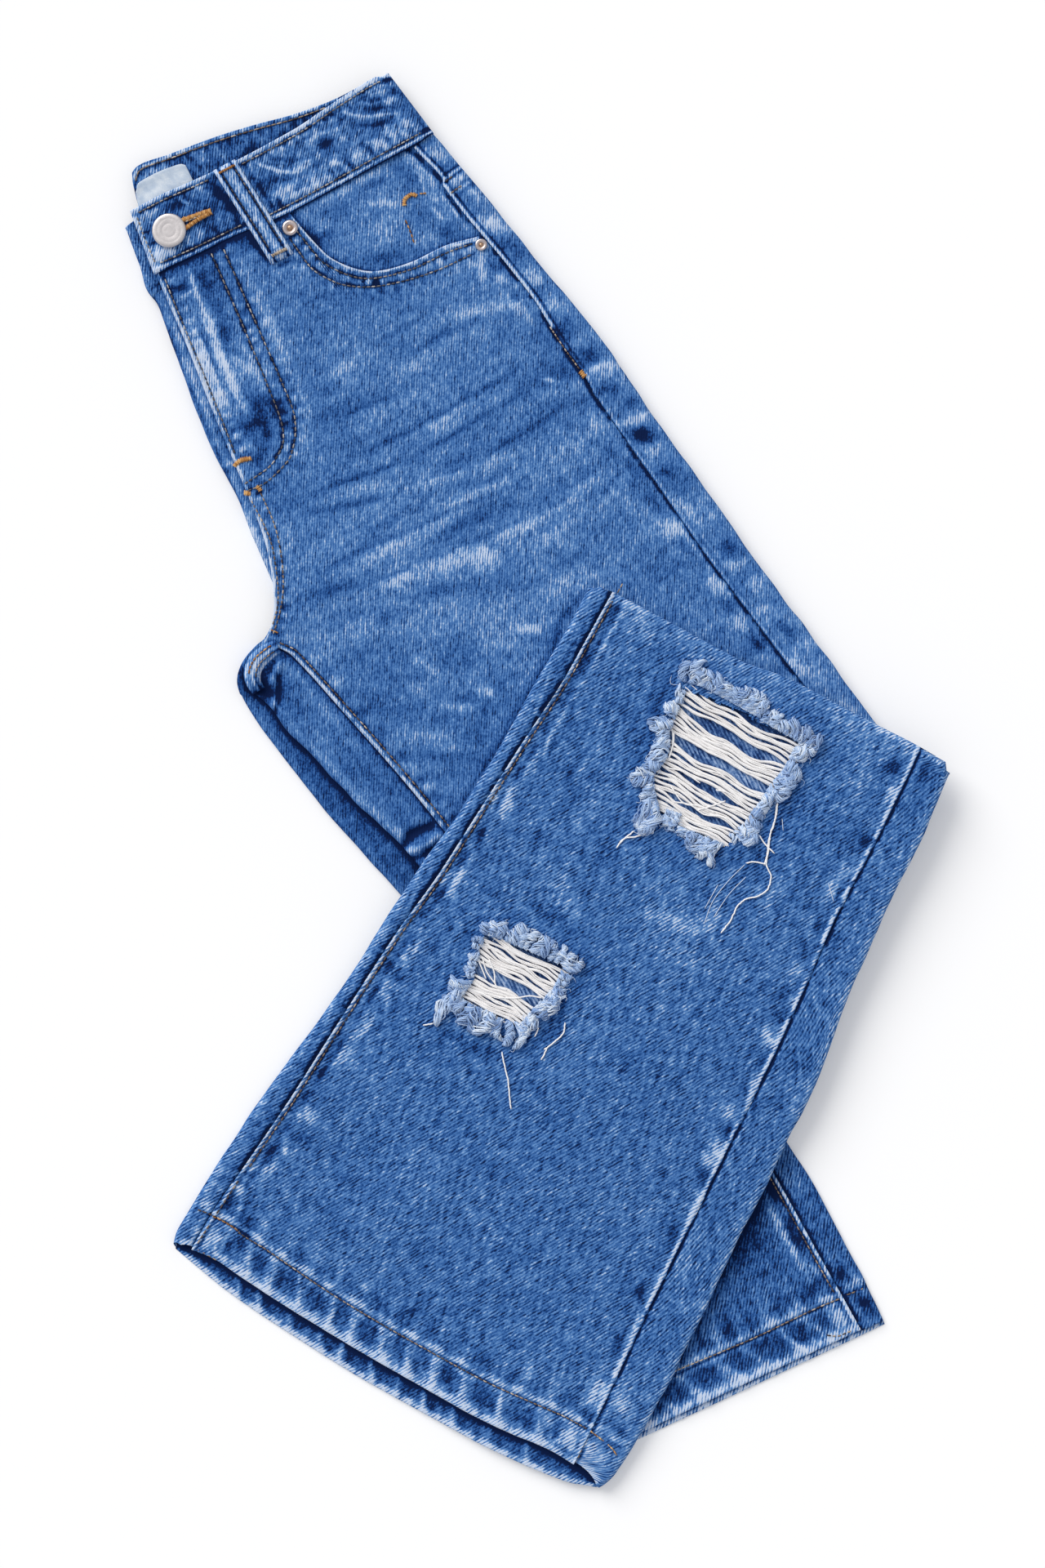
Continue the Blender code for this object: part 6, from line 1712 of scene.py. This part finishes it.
# Tufts round a tear: two corners of the root, and the tip.
TUFTS = {
    "upper": (
        (74, 22, 82, 20, 73, 6), (79, 20, 89, 19, 81, 4), (87, 19, 98, 19, 94, 5),
        (97, 19, 107, 19, 102, 9), (105, 19, 117, 19, 112, 5), (113, 19, 126, 19, 121, 3),
        (124, 20, 137, 20, 132, 9), (135, 20, 147, 20, 144, 9), (145, 20, 154, 19, 158, 8),
        (149, 20, 155, 23, 162, 14), (150, 24, 150, 32, 160, 28), (151, 31, 150, 42, 163, 38),
        (150, 41, 148, 52, 163, 48), (148, 52, 148, 62, 158, 57), (148, 61, 146, 72, 157, 66),
        (147, 70, 145, 80, 159, 77), (146, 78, 141, 88, 152, 87), (150, 80, 146, 86, 160, 82),
        (79, 26, 80, 34, 73, 29), (80, 34, 81, 44, 70, 41), (81, 44, 82, 52, 67, 53),
        (82, 52, 87, 60, 75, 59), (87, 60, 88, 68, 76, 67), (88, 68, 86, 76, 77, 75),
        (86, 76, 86, 82, 73, 89), (86, 78, 91, 86, 80, 84), (86, 82, 97, 93, 91, 101),
        (89, 86, 99, 96, 94, 113), (92, 92, 102, 97, 98, 112), (90, 94, 99, 99, 92, 114),
        (100, 97, 112, 97, 106, 101), (102, 92, 112, 90, 110, 99), (112, 97, 124, 96, 118, 101),
        (120, 96, 132, 95, 125, 110), (128, 95, 138, 94, 132, 112), (136, 94, 143, 93, 141, 110),
    ),
    "lower": (
        (44, 208, 52, 206, 43, 197), (50, 206, 60, 205, 54, 193), (58, 205, 70, 204, 63, 190),
        (68, 204, 80, 203, 75, 189), (78, 203, 90, 202, 86, 190), (88, 202, 97, 201, 97, 191),
        (92, 202, 98, 203, 106, 191), (94, 204, 95, 212, 103, 208), (95, 211, 95, 219, 104, 216),
        (94, 218, 93, 227, 105, 223), (92, 226, 90, 235, 103, 231), (90, 234, 89, 241, 100, 238),
        (89, 240, 88, 247, 99, 246), (84, 244, 92, 243, 95, 259), (76, 246, 85, 245, 86, 261),
        (68, 246, 77, 246, 76, 260), (60, 247, 69, 246, 66, 263), (52, 247, 61, 247, 56, 262),
        (48, 246, 55, 247, 48, 259), (47, 244, 52, 248, 40, 270), (46, 210, 46, 218, 40, 214),
        (47, 218, 49, 226, 42, 225), (49, 226, 52, 234, 43, 232), (52, 234, 51, 242, 36, 243),
        (51, 240, 50, 247, 41, 251),
    ),
}
LOOSE = (
   
    [(157, 57), (160, 64), (162, 74), (166, 84), (169, 92),
     (175, 97), (176.5, 104), (174, 110), (168, 116), (166, 122), (166.5, 130), (165, 140)],
    [(157, 58), (161, 68), (163, 78), (167, 88), (168, 93)], [(157, 79), (163, 82), (170, 84)],
    [(168, 92), (162, 94), (158, 97)], [(99, 110), (94, 115), (89, 119), (87.4, 126)],
    [(92, 112), (89.4, 118), (87.6, 122)], [(87, 263), (91, 268), (99, 277), (103, 283), (108, 290)],
    [(96, 239), (99, 241), (99.5, 246)], [(111, 230), (113, 236), (111, 243), (108, 250)],
    [(109, 248), (109.5, 256)], [(44, 268), (39, 272)],
)
FINE = (
    [(158, 98), (154, 112), (152, 126), (154, 140)], [(162, 104), (158, 120), (157, 134)],
    [(150, 116), (150, 132)], [(164, 64), (168, 70)], [(206, 84), (214, 92)],
)


def leg_top(w, t):
    """Height of the lower leg's top face."""
    return shin_heights(w, t)[0]


def on_leg(path, lift):
    """Positions of a path over the lower leg, lifted off its top face."""
    w, t = path.T
    return place("shin", w, t, leg_top(w, t) + lift)


def inside_seen(name, corners):
    """The inside of the back, seen through a tear, with painted shadow beside the bundles of weft and under
    the tear's upper edge.
    """
    ws, ts = zip(*corners)
    w, t = np.meshgrid(spread(min(ws) - 10, max(ws) + 10, 2.0), spread(min(ts) - 10, max(ts) + 10, 2.0))
    cloth = Cloth("shin", w, t, leg_top(w, t) - 2.9)
    clouds(cloth, 510, .12, .3)
    cloth.wear += .02
    for t0, t1, *_ in BANDS[name]:
        cloth.wear -= .20 * bell(np.clip(np.abs(t - (t0 + t1) / 2) - (t1 - t0) / 2, 0, None), 1.5)
    cloth.wear -= .30 * bell(t - min(ts) - 1, 3.0)
    cloth.build("inside_seen_" + name, INSIDE, "denim_inside")


def bundle(rng, lines, tones, band, phase, index, count):
    """Five twisted yarns of weft, as one of the count bundles across a band."""
    t0, t1, w0, w1, sag = band
    f = (index + .5 + rng.uniform(-.15, .15)) / count
    seed = 521 + 17 * index + int(10 * t0)
    twist = rng.uniform(.05, .16) * rng.choice((-1, 1))
    for i in range(5):
        start, stop = w0 - rng.uniform(.5, 3), w1 + rng.uniform(.5, 3)
        along = np.linspace(start, stop, 34)
        x = np.clip((along - w0) / (w1 - w0), 0, 1)
        wave = sag * np.sin(math.pi * x) * 1.2 + .8 * np.sin(2 * math.pi * along / 34 + phase)
        pinch = 1.0 + .26 * np.abs(2 * x - 1) ** 3 - .20 * bell(x - .3, .14) - .16 * bell(x - .72, .12)
        level = (t0 + t1) / 2 + (f - .5) * (t1 - t0) * pinch + wave
        level = level + .75 * noise(along, 0 * along, 12.0, seed)
        turn = i * 1.257 + along * twist + phase * index
        radius = .55 + .25 * noise(along, 0 * along, 7.0, seed + 3)
        level = level + radius * np.cos(turn) + .28 * noise(along, 0 * along + 9 * i, 4.0, seed + 5)
        lift = .55 * np.sin(turn) + .35 * noise(along, 0 * along, 9, seed + 7) - .9
        lines.append(on_leg(np.stack([along, level], 1), lift))
        tones.append(rng.uniform(.48, 1.0))


def tears():
    """What shows in each tear, the weft left across it, and the frayed warp round it."""
    rng = np.random.default_rng(500)
    for name, corners in TEARS.items():
        inside_seen(name, corners)
        lines, tones = [], []
        for band in BANDS[name]:
            count = max(2, int(round((band[1] - band[0]) / (2.35 if name == "upper" else 2.1))))
            phase = rng.uniform(0, 6)
            for index in range(count):
                bundle(rng, lines, tones, band, phase, index, count)
        for stray in STRAYS[name]:
            lines.append(on_leg(rounded(stray, 1.2), .1))
            tones.append(.9)
        tubes("weft_" + name, lines, .43, WEFT, tones, 6, .8, ("tear_" + name + "_weft",))
        fray(name, rng)


def fray(name, rng):
    """Tufts of cut warp round a tear: each a few soft ropes of yarn, bulged, twisted and curled."""
    lines, tones, fine, fine_tones = [], [], [], []
    x = np.linspace(0, 1, 12)
    step = np.linspace(0, 1, 5)
    for row in TUFTS[name]:
        a, b, tip = np.array(row, float).reshape(3, 2)
        out = tip - (a + b) / 2
        long = np.linalg.norm(out) > 9.5
        ropes = max(2, int(round(np.linalg.norm(b - a) / (3.0 if long else 2.6))))
        for r in range(ropes):
            f = (r + .5 + rng.uniform(-.3, .3)) / ropes
            root = a + (b - a) * f
            goal = tip + (b - a) * (f - .5) * (.7 if long else .85) - out * rng.uniform(.06, .34)
            ahead = goal + rng.normal(0, .8, 2) - root
            length = np.linalg.norm(ahead)
            side = np.array([-ahead[1], ahead[0]]) / length
            bow = rng.uniform(-.28, .28) * length * np.sin(math.pi * x)
            hook = rng.uniform(-2.6, 2.6) * np.clip(x - .6, 0, 1) ** 2 * 4
            middle = root + ahead * x[:, None] + side * (bow + hook)[:, None]
            fat = rng.uniform(1.3, 2.3) if long else rng.uniform(.8, 1.3)
            lumps = 1 + .35 * noise(x * 12, np.full(12, 7.0 * r), 3.0, int(rng.integers(1, 9999)))
            girth = fat * (.40 + .85 * np.sin(math.pi * np.clip(.08 + .80 * x ** 1.35, 0, 1))) * lumps
            rise = girth * .75 + (.9 if long else .3) * np.sin(math.pi * x) * rng.uniform(.2, 1.4)
            twist = rng.uniform(.5, 1.6) * rng.choice((-1, 1))
            tone = rng.uniform(.22, .92)
            for k in range(12 if long else 9):
                angle = 2 * math.pi * (k / 12 + twist * x)
                angle = angle + .8 * noise(x * 10, np.full(12, 3.0 * k), 4.0, 533)
                aside = girth * np.cos(angle) * (1 + .25 * rng.normal())
                path = middle + side * aside[:, None]
                u, v = 2 * path.T
                path = path + .30 * np.stack([noise(u, v + 9 * k, 3.0, seed) for seed in (534, 535)], 1)
                lines.append(on_leg(path, rise + .8 * girth * np.sin(angle)))
                tones.append(float(np.clip(tone + rng.normal(0, .20), 0, 1)))
            for _ in range(7):
                start = rng.integers(2, 12)
                away = rng.normal(0, 1.7, 2)
                bent = np.array([away[1], -away[0]]) * (.5 * np.sin(math.pi * step))[:, None]
                hair = middle[start] + away * step[:, None] + bent
                fine.append(on_leg(hair, rise[start] + girth[start] * .5 * (1 - step) + .2))
                fine_tones.append(float(rng.uniform(.5, 1)))
    tubes("fray_" + name, lines, .40, FRAY, tones, 5, .6, ("tear_" + name + "_fray",))
    tubes("fray_hairs_" + name, fine, .15, FRAY, fine_tones, 4, .5)


def loose_threads():
    """Long threads hanging from the tears, and single fibres lying on the leg."""
    lines = []
    for path in LOOSE:
        path = rounded(path, 1.0)
        wobble = .25 * noise(path[:, 0] * 4, path[:, 1] * 4, 3.0, 540)
        w, t = path.T
        lines.append(place("shin", w + wobble, t, leg_top(w, t) + .7 + wobble))
    tubes("loose_threads", lines, .44, WEFT, [1.0] * len(lines), 6, .5)
    lines = [on_leg(rounded(path, 1.0), .35) for path in FINE]
    tubes("loose_fibres", lines, .2, FRAY, [.95] * len(lines), 5, .5)


# ------------------------------------------------------------------ lower right leg
RIGHT_SEAM = [(-24, -135), (-22, -117), (-19.5, -87), (-17, -50), (-15, -24), (-13, 4)]
RIGHT_MARKS = (
    # (-24, -104 ...) and (-36, -100 ...) are painted shadow beside the left leg's edge.
    (-31, -94, -30, -62, 2.2, .22), (-31.5, -84, -30, -62, -28, -38, 2.0, .34), (-27, -17, -17, -6, 6, .20),
    (-24, -104, -25, -86, 4, -.34), (-26, -78, -25, -56, 3.4, -.26), (-24, -46, -22, -40, 3, .26),
    (-30, -36, -22, -31, 5, -.30), (-84, -36, -80, -32, 4, -.18), (-48, -33, -42, -33, 4, -.18),
    (-60, -50, -54, -30, 3, .12), (-96, -34, -92, -30, 3, .14), (-22, -19, -19, -4, 5, .34),
    (-44, -28, -38, -27, 3, .26), (-60, -28, -56, -25, 3, .26), (-40, -60, -60, -80, 12, -.10),
    (-36, -100, -52, -84, 10, -.20),
)
RIGHT_SIDE_MARKS = (
    (-10, -100, -8, -80, 4, .06), (-12, -36, -8, -32, 4, -.28), (-5, -32, -2, -24, 2.6, .34),
    (-12, -26, -6, -25, 2.6, .18), (-6, -15, -3, -10, 4, -.30), (-12, -18, -11, -6, 2.2, .16),
)
STRIP_EDGE = [(-140, -11), (-92, -50), (-55, -77), (-10, -116)]


RIGHT_HEM = 21.5
RIGHT_HEM_ROW = [(-125, -23.6), (-94, -22.2), (-68, -21.4), (-34, -21.8), (-17, -21.2)]


def right_leg_front():
    """What shows of the right leg's front, from the left leg's edge to its hem."""
    t = lerp(-135.0, 0.0, between(-135, 0, 1.4))[:, None]
    u = np.sort(1 - between(0, 165, 1.5, (0, .6, 1.4, 2.4)))
    s = lerp(right_left(t), right_seam(t), u)
    cloth = Cloth("right", s, t, RIGHT_TUBE)
    clouds(cloth, 601, .10, .3)
    marks(cloth, RIGHT_MARKS, gain=1.5)
    # Painted shadow beside the left leg's edge, which lies over this leg.
    cloth.wear -= .26 * np.exp(-np.clip(-cloth.off(STRIP_EDGE), 0, None) / 4.4)
    ridge(cloth, RIGHT_SEAM, -.9, 1.0, .85, .6)
    ridge(cloth, RIGHT_SEAM, -3.0, 1.0, -.55, -.25)
    down = cloth.t + RIGHT_HEM
    hem_bars(cloth, s, down, 21.0, RIGHT_HEM_PUCKERS, .50, hollow=.12)
    above_hem(cloth, s, -down, 17.0, -110)
    # Painted shade in the hem seam's groove.
    cloth.wear -= .50 * bell(down, .8)
    cloth.z -= .4 * bell(down, 1.3)
    cloth.z += .3 * step_up(down, .5, 3)
    cloth.rim("end", ((.5, .1), (.9, .5), (1.0, 1.0), (.6, 1.5), (-2, 1.6)), .0)
    cloth.build("right_leg_front", DENIM_RIGHT, "denim", ("front_right_shin", "hem_right_front"))
    height = relief(cloth)
    BROWN_ROWS.row("right", [(p - 3.2, q) for p, q in RIGHT_SEAM[:-1]], height, 2.6, .6, bias=.35)
    BROWN_ROWS.row("right", RIGHT_HEM_ROW, height, 2.5, .5, bias=.6)
    BROWN_ROWS.row("right", [(-33, -5), (-26, -1.4), (-16, -1)], height, 2.4, .8, bias=.3)


def right_leg_side():
    """The right leg's back, beside its seam and round the fold."""
    t = spread(-135, 1.0, 1.5)
    seam, edge = right_seam(t) + .3, right_right(t) + .2 * noise(t, 0 * t, 9, 61)
    cloth = edge_strip("right", t, seam, edge, RIGHT_TUBE - .2, 0, 2.6, 30, 1, 1.5)
    clouds(cloth, 611, .10, .2)
    marks(cloth, RIGHT_SIDE_MARKS, gain=1.5)
    ridge(cloth, RIGHT_SEAM, .4, 1.3, -.95, -.5)
    down = cloth.t + RIGHT_HEM
    # Painted shade in the hem seam's groove; lighter above it.
    cloth.wear += .22 * bell(down + 4, 2.4) - .30 * bell(down, .9) + .14 * bell(cloth.t + 1, 2)
    cloth.rim("end", ((.4, .1), (.8, .4), (.9, .9)), .0)
    cloth.build("right_leg_side", DENIM_RIGHT, "denim", ("back_right_shin",))
    BROWN_ROWS.row("right", [(-13, -21.4), (0, -20.4)], relief(cloth), 2.5, .5, bias=.6)


def right_leg_inside():
    """The far side of the right leg's hem, and the cloth underneath."""
    hem_inside("right_hem_inside", "right", right_left, right_right, lambda s: -.4 + 0 * s,
               lambda u: 3.4 + .8 * u * (1 - u), lambda s, t: 0 * s, 1.4, ("hem_right_back",),
               RIGHT_HEM_PUCKERS, DENIM_RIGHT, dark=1.3)
    t = lerp(-135, 2, spread(0, 1, .04)[:, None])
    s = lerp(right_left(t), right_right(t) - 2, spread(0, 1, .02))
    Cloth("right", s, t, .15).build("right_leg_underside", DENIM_RIGHT, "denim")


# ------------------------------------------------------------------ folded layers underneath
def loft(name, flat, rings, material, replaces=()):
    """A closed solid through soft (s, z) outlines, one per t, drawn in at both ends."""
    rows = [(t, np.array(outline, float)) for t, outline in rings]

    def shrunk(row, move, scale):
        middle = row[1].mean(0)
        return row[0] + move, middle + (row[1] - middle) * scale

    first, last = rows[0], rows[-1]
    rows = [shrunk(first, -3, .05), shrunk(first, -2.6, .72), *rows,
            shrunk(last, 2.6, .72), shrunk(last, 3, .05)]
    count = len(first[1])
    points = np.concatenate([place(flat, o[:, 0], t, o[:, 1]) for t, o in rows])
    faces = []
    for low in range(0, (len(rows) - 1) * count, count):
        for j in range(count):
            k = (j + 1) % count
            faces.append((low + j, low + k, low + count + k, low + count + j))
    made = add_mesh(name, points, faces, material, replaces=replaces)
    cut_s = np.concatenate([o[:, 0] + 2 * o[:, 1] for _, o in rows])
    cut_t = np.concatenate([np.full(count, float(t)) for t, _ in rows])
    map_cloth(made, cut_s, cut_t)
    paint(made, "wear", np.full(len(points), -.12))
    smoother = made.modifiers.new("soft", "SUBSURF")
    smoother.levels = smoother.render_levels = 1


def hip_ring(t):
    """Outline of the layers folded in under the thigh, at one t."""
    fold, sink = float(thigh_fold(t)), 2.4
    if t < 150:
        left = float(under_hip(t)) + 37
    else:
        left = float(lerp(under_hip(150) + 37, -52, step_up(t, 150, 215)))

    def under_top(s, lower=0.0):
        return s, float(thigh_top(s, t)) - sink - lower

    step = fold - 18.5
    wave = .5 * float(noise(t, 0, 30, 71))
    return [(left, 1.0), (left + 1.5, .2), (lerp(left, fold, .5), .2), (fold - 5, .2),
            (fold - 2 + wave, .7), (fold - .8 + wave, 2.5), (fold - 2 + wave, 4.4),
            (fold - 5, HIDDEN_LOBE), (step, HIDDEN_LOBE), under_top(step, 1.2),
            *[under_top(lerp(left, step, f)) for f in (.93, .75, .55, .35, .15)],
            (left + 1.5, under_top(left)[1]), under_top(left, 1.0)]


def leg_ring(t):
    """Outline of the layers folded in under the lower leg, at one t: three lobes at the side."""
    left, right = [float(table_curve(UNDER_SHIN, "t", name)(t)) for name in ("left", "right")]

    def under_floor(w, lower=.6):
        return w, float(shin_floor(w, t)) - lower

    top = under_floor(right)[1]
    ring = [(left, 1.0), (left + 2, .2), (lerp(left, right, .5), .2), (right - 6, .2)]
    for lobe in range(3):
        low, high = top * lobe / 3, top * (lobe + 1) / 3
        bulge = right - 1.5 * lobe + .6 * float(noise(t, 50 * lobe, 24, 72))
        for inwards, f in ((1.5, .22), (0, .5), (1.5, .78), (5, .97)):
            ring.append((bulge - inwards, lerp(low, high, f)))
    ring += [under_floor(lerp(left, right, f)) for f in (.8, .6, .4, .2)]
    return ring + [under_floor(left + 3), under_floor(left, 1.6)]


def hidden_folds():
    """The layers folded in under the thigh and under the lower leg."""
    loft("folded_layers_hip", "hip", [(t, hip_ring(t)) for t in range(26, 496, 10)], INSIDE,
         ("hidden_layers",))
    loft("folded_layers_leg", "shin", [(t, leg_ring(t)) for t in range(47, 340, 10)], DENIM_LEG)


# ------------------------------------------------------------------ stage, light and camera
VIEW_HEIGHT = 0.9216
LENS = 85.0
FILM = 36.0
VIEW_MIDDLE = (-0.00785, -0.00282)
FOCUS_HEIGHT = 0.010
WHITE = (1, 1, 1, 1)
FLOOR_COLOUR = (.90, .90, .90, 1)
FLOOR_GLOW = .16
FLOOR_HALF = 4.0
FLOOR_LEVEL = -0.0003
ROOM_COLOUR = (.52, .53, .56, 1)
SUN_ENERGY = 2.22
SUN_COLOUR = (1.0, .98, .95)
SUN_WIDTH = 40
SUN_TURN = (-39, -41, 0)


def floor_material():
    """White; it glows faintly towards the camera and in reflections, and lights nothing."""
    g = Graph(bpy.data.materials.new("white_floor"))
    g.tree.nodes.remove(g.shader)
    rays = g.node("ShaderNodeLightPath").outputs
    seen = g.math("MAXIMUM", rays["Is Camera Ray"], rays["Is Glossy Ray"])
    seen = g.math("MAXIMUM", seen, rays["Is Transmission Ray"])
    diffuse = g.node("ShaderNodeBsdfDiffuse", Color=FLOOR_COLOUR)
    glow = g.node("ShaderNodeEmission", Color=WHITE, Strength=g.math("MULTIPLY", seen, FLOOR_GLOW))
    both = g.node("ShaderNodeAddShader", i0=diffuse.outputs[0], i1=glow.outputs[0])
    g.put(g.tree.nodes["Material Output"], "Surface", both.outputs[0])
    return g.owner


def stage():
    """A wide white floor, a little below the cloth."""
    mesh = bpy.data.meshes.new("floor")
    corners = [(x * FLOOR_HALF, y * FLOOR_HALF, 0) for x, y in ((-1, -1), (1, -1), (1, 1), (-1, 1))]
    mesh.from_pydata(corners, [], [(0, 1, 2, 3)])
    mesh.materials.append(floor_material())
    floor = bpy.data.objects.new("floor", mesh)
    bpy.context.scene.collection.objects.link(floor)
    floor.location.z = FLOOR_LEVEL


def light():
    """A soft sun, in an even grey room that looks white to the camera."""
    world = bpy.data.worlds.new("studio")
    bpy.context.scene.world = world
    g = Graph(world)
    seen = g.node("ShaderNodeLightPath").outputs["Is Camera Ray"]
    mix = g.node("ShaderNodeMix", {"data_type": "RGBA"}, Factor=seen, A=ROOM_COLOUR, B=WHITE)
    background = g.tree.nodes["Background"]
    g.put(background, "Color", mix.outputs["Result"])
    g.put(background, "Strength", 1.0)
    sun = bpy.data.lights.new("sun", "SUN")
    sun.energy = SUN_ENERGY
    sun.angle = math.radians(SUN_WIDTH)
    sun.color = SUN_COLOUR
    lamp = bpy.data.objects.new("sun", sun)
    bpy.context.scene.collection.objects.link(lamp)
    lamp.rotation_euler = [math.radians(angle) for angle in SUN_TURN]


def camera():
    """Straight down on the middle of the frame."""
    data = bpy.data.cameras.new("camera")
    data.lens = LENS
    data.sensor_fit = "VERTICAL"
    data.sensor_height = FILM
    data.dof.use_dof = False
    made = bpy.data.objects.new("camera", data)
    made.location = (*VIEW_MIDDLE, VIEW_HEIGHT * LENS / FILM + FOCUS_HEIGHT)
    made.rotation_euler = (0, 0, 0)
    scene = bpy.context.scene
    scene.collection.objects.link(made)
    scene.camera = made
    scene.view_settings.view_transform = "Standard"


def main():
    hip_left()
    pocket_inside()
    hip_side()
    hip_inner_side()
    right_half_front()
    right_half_back()
    crotch_curl()
    band_front()
    band_back()
    band_under()
    belt_loop()
    label()
    buttonhole()
    fasteners()
    shin_front()
    shin_back()
    hem_inside("hem_inside", "shin", lambda t: shin_left(t) + 1.2, lambda t: shin_right(t) - 1.2,
               hem_opening, hem_back, shin_floor, 1.9, ("hem_left_back",), HEM_PUCKERS, DENIM_LEG)
    tears()
    loose_threads()
    right_leg_front()
    right_leg_side()
    right_leg_inside()
    hidden_folds()
    BROWN_ROWS.build("stitches_brown", BROWN, .44)
    DUSTY_ROWS.build("stitches_dusty", DUSTY, .44)
    ORANGE_ROWS.build("stitches_orange", ORANGE, .46)
    stage()
    light()
    camera()


main()
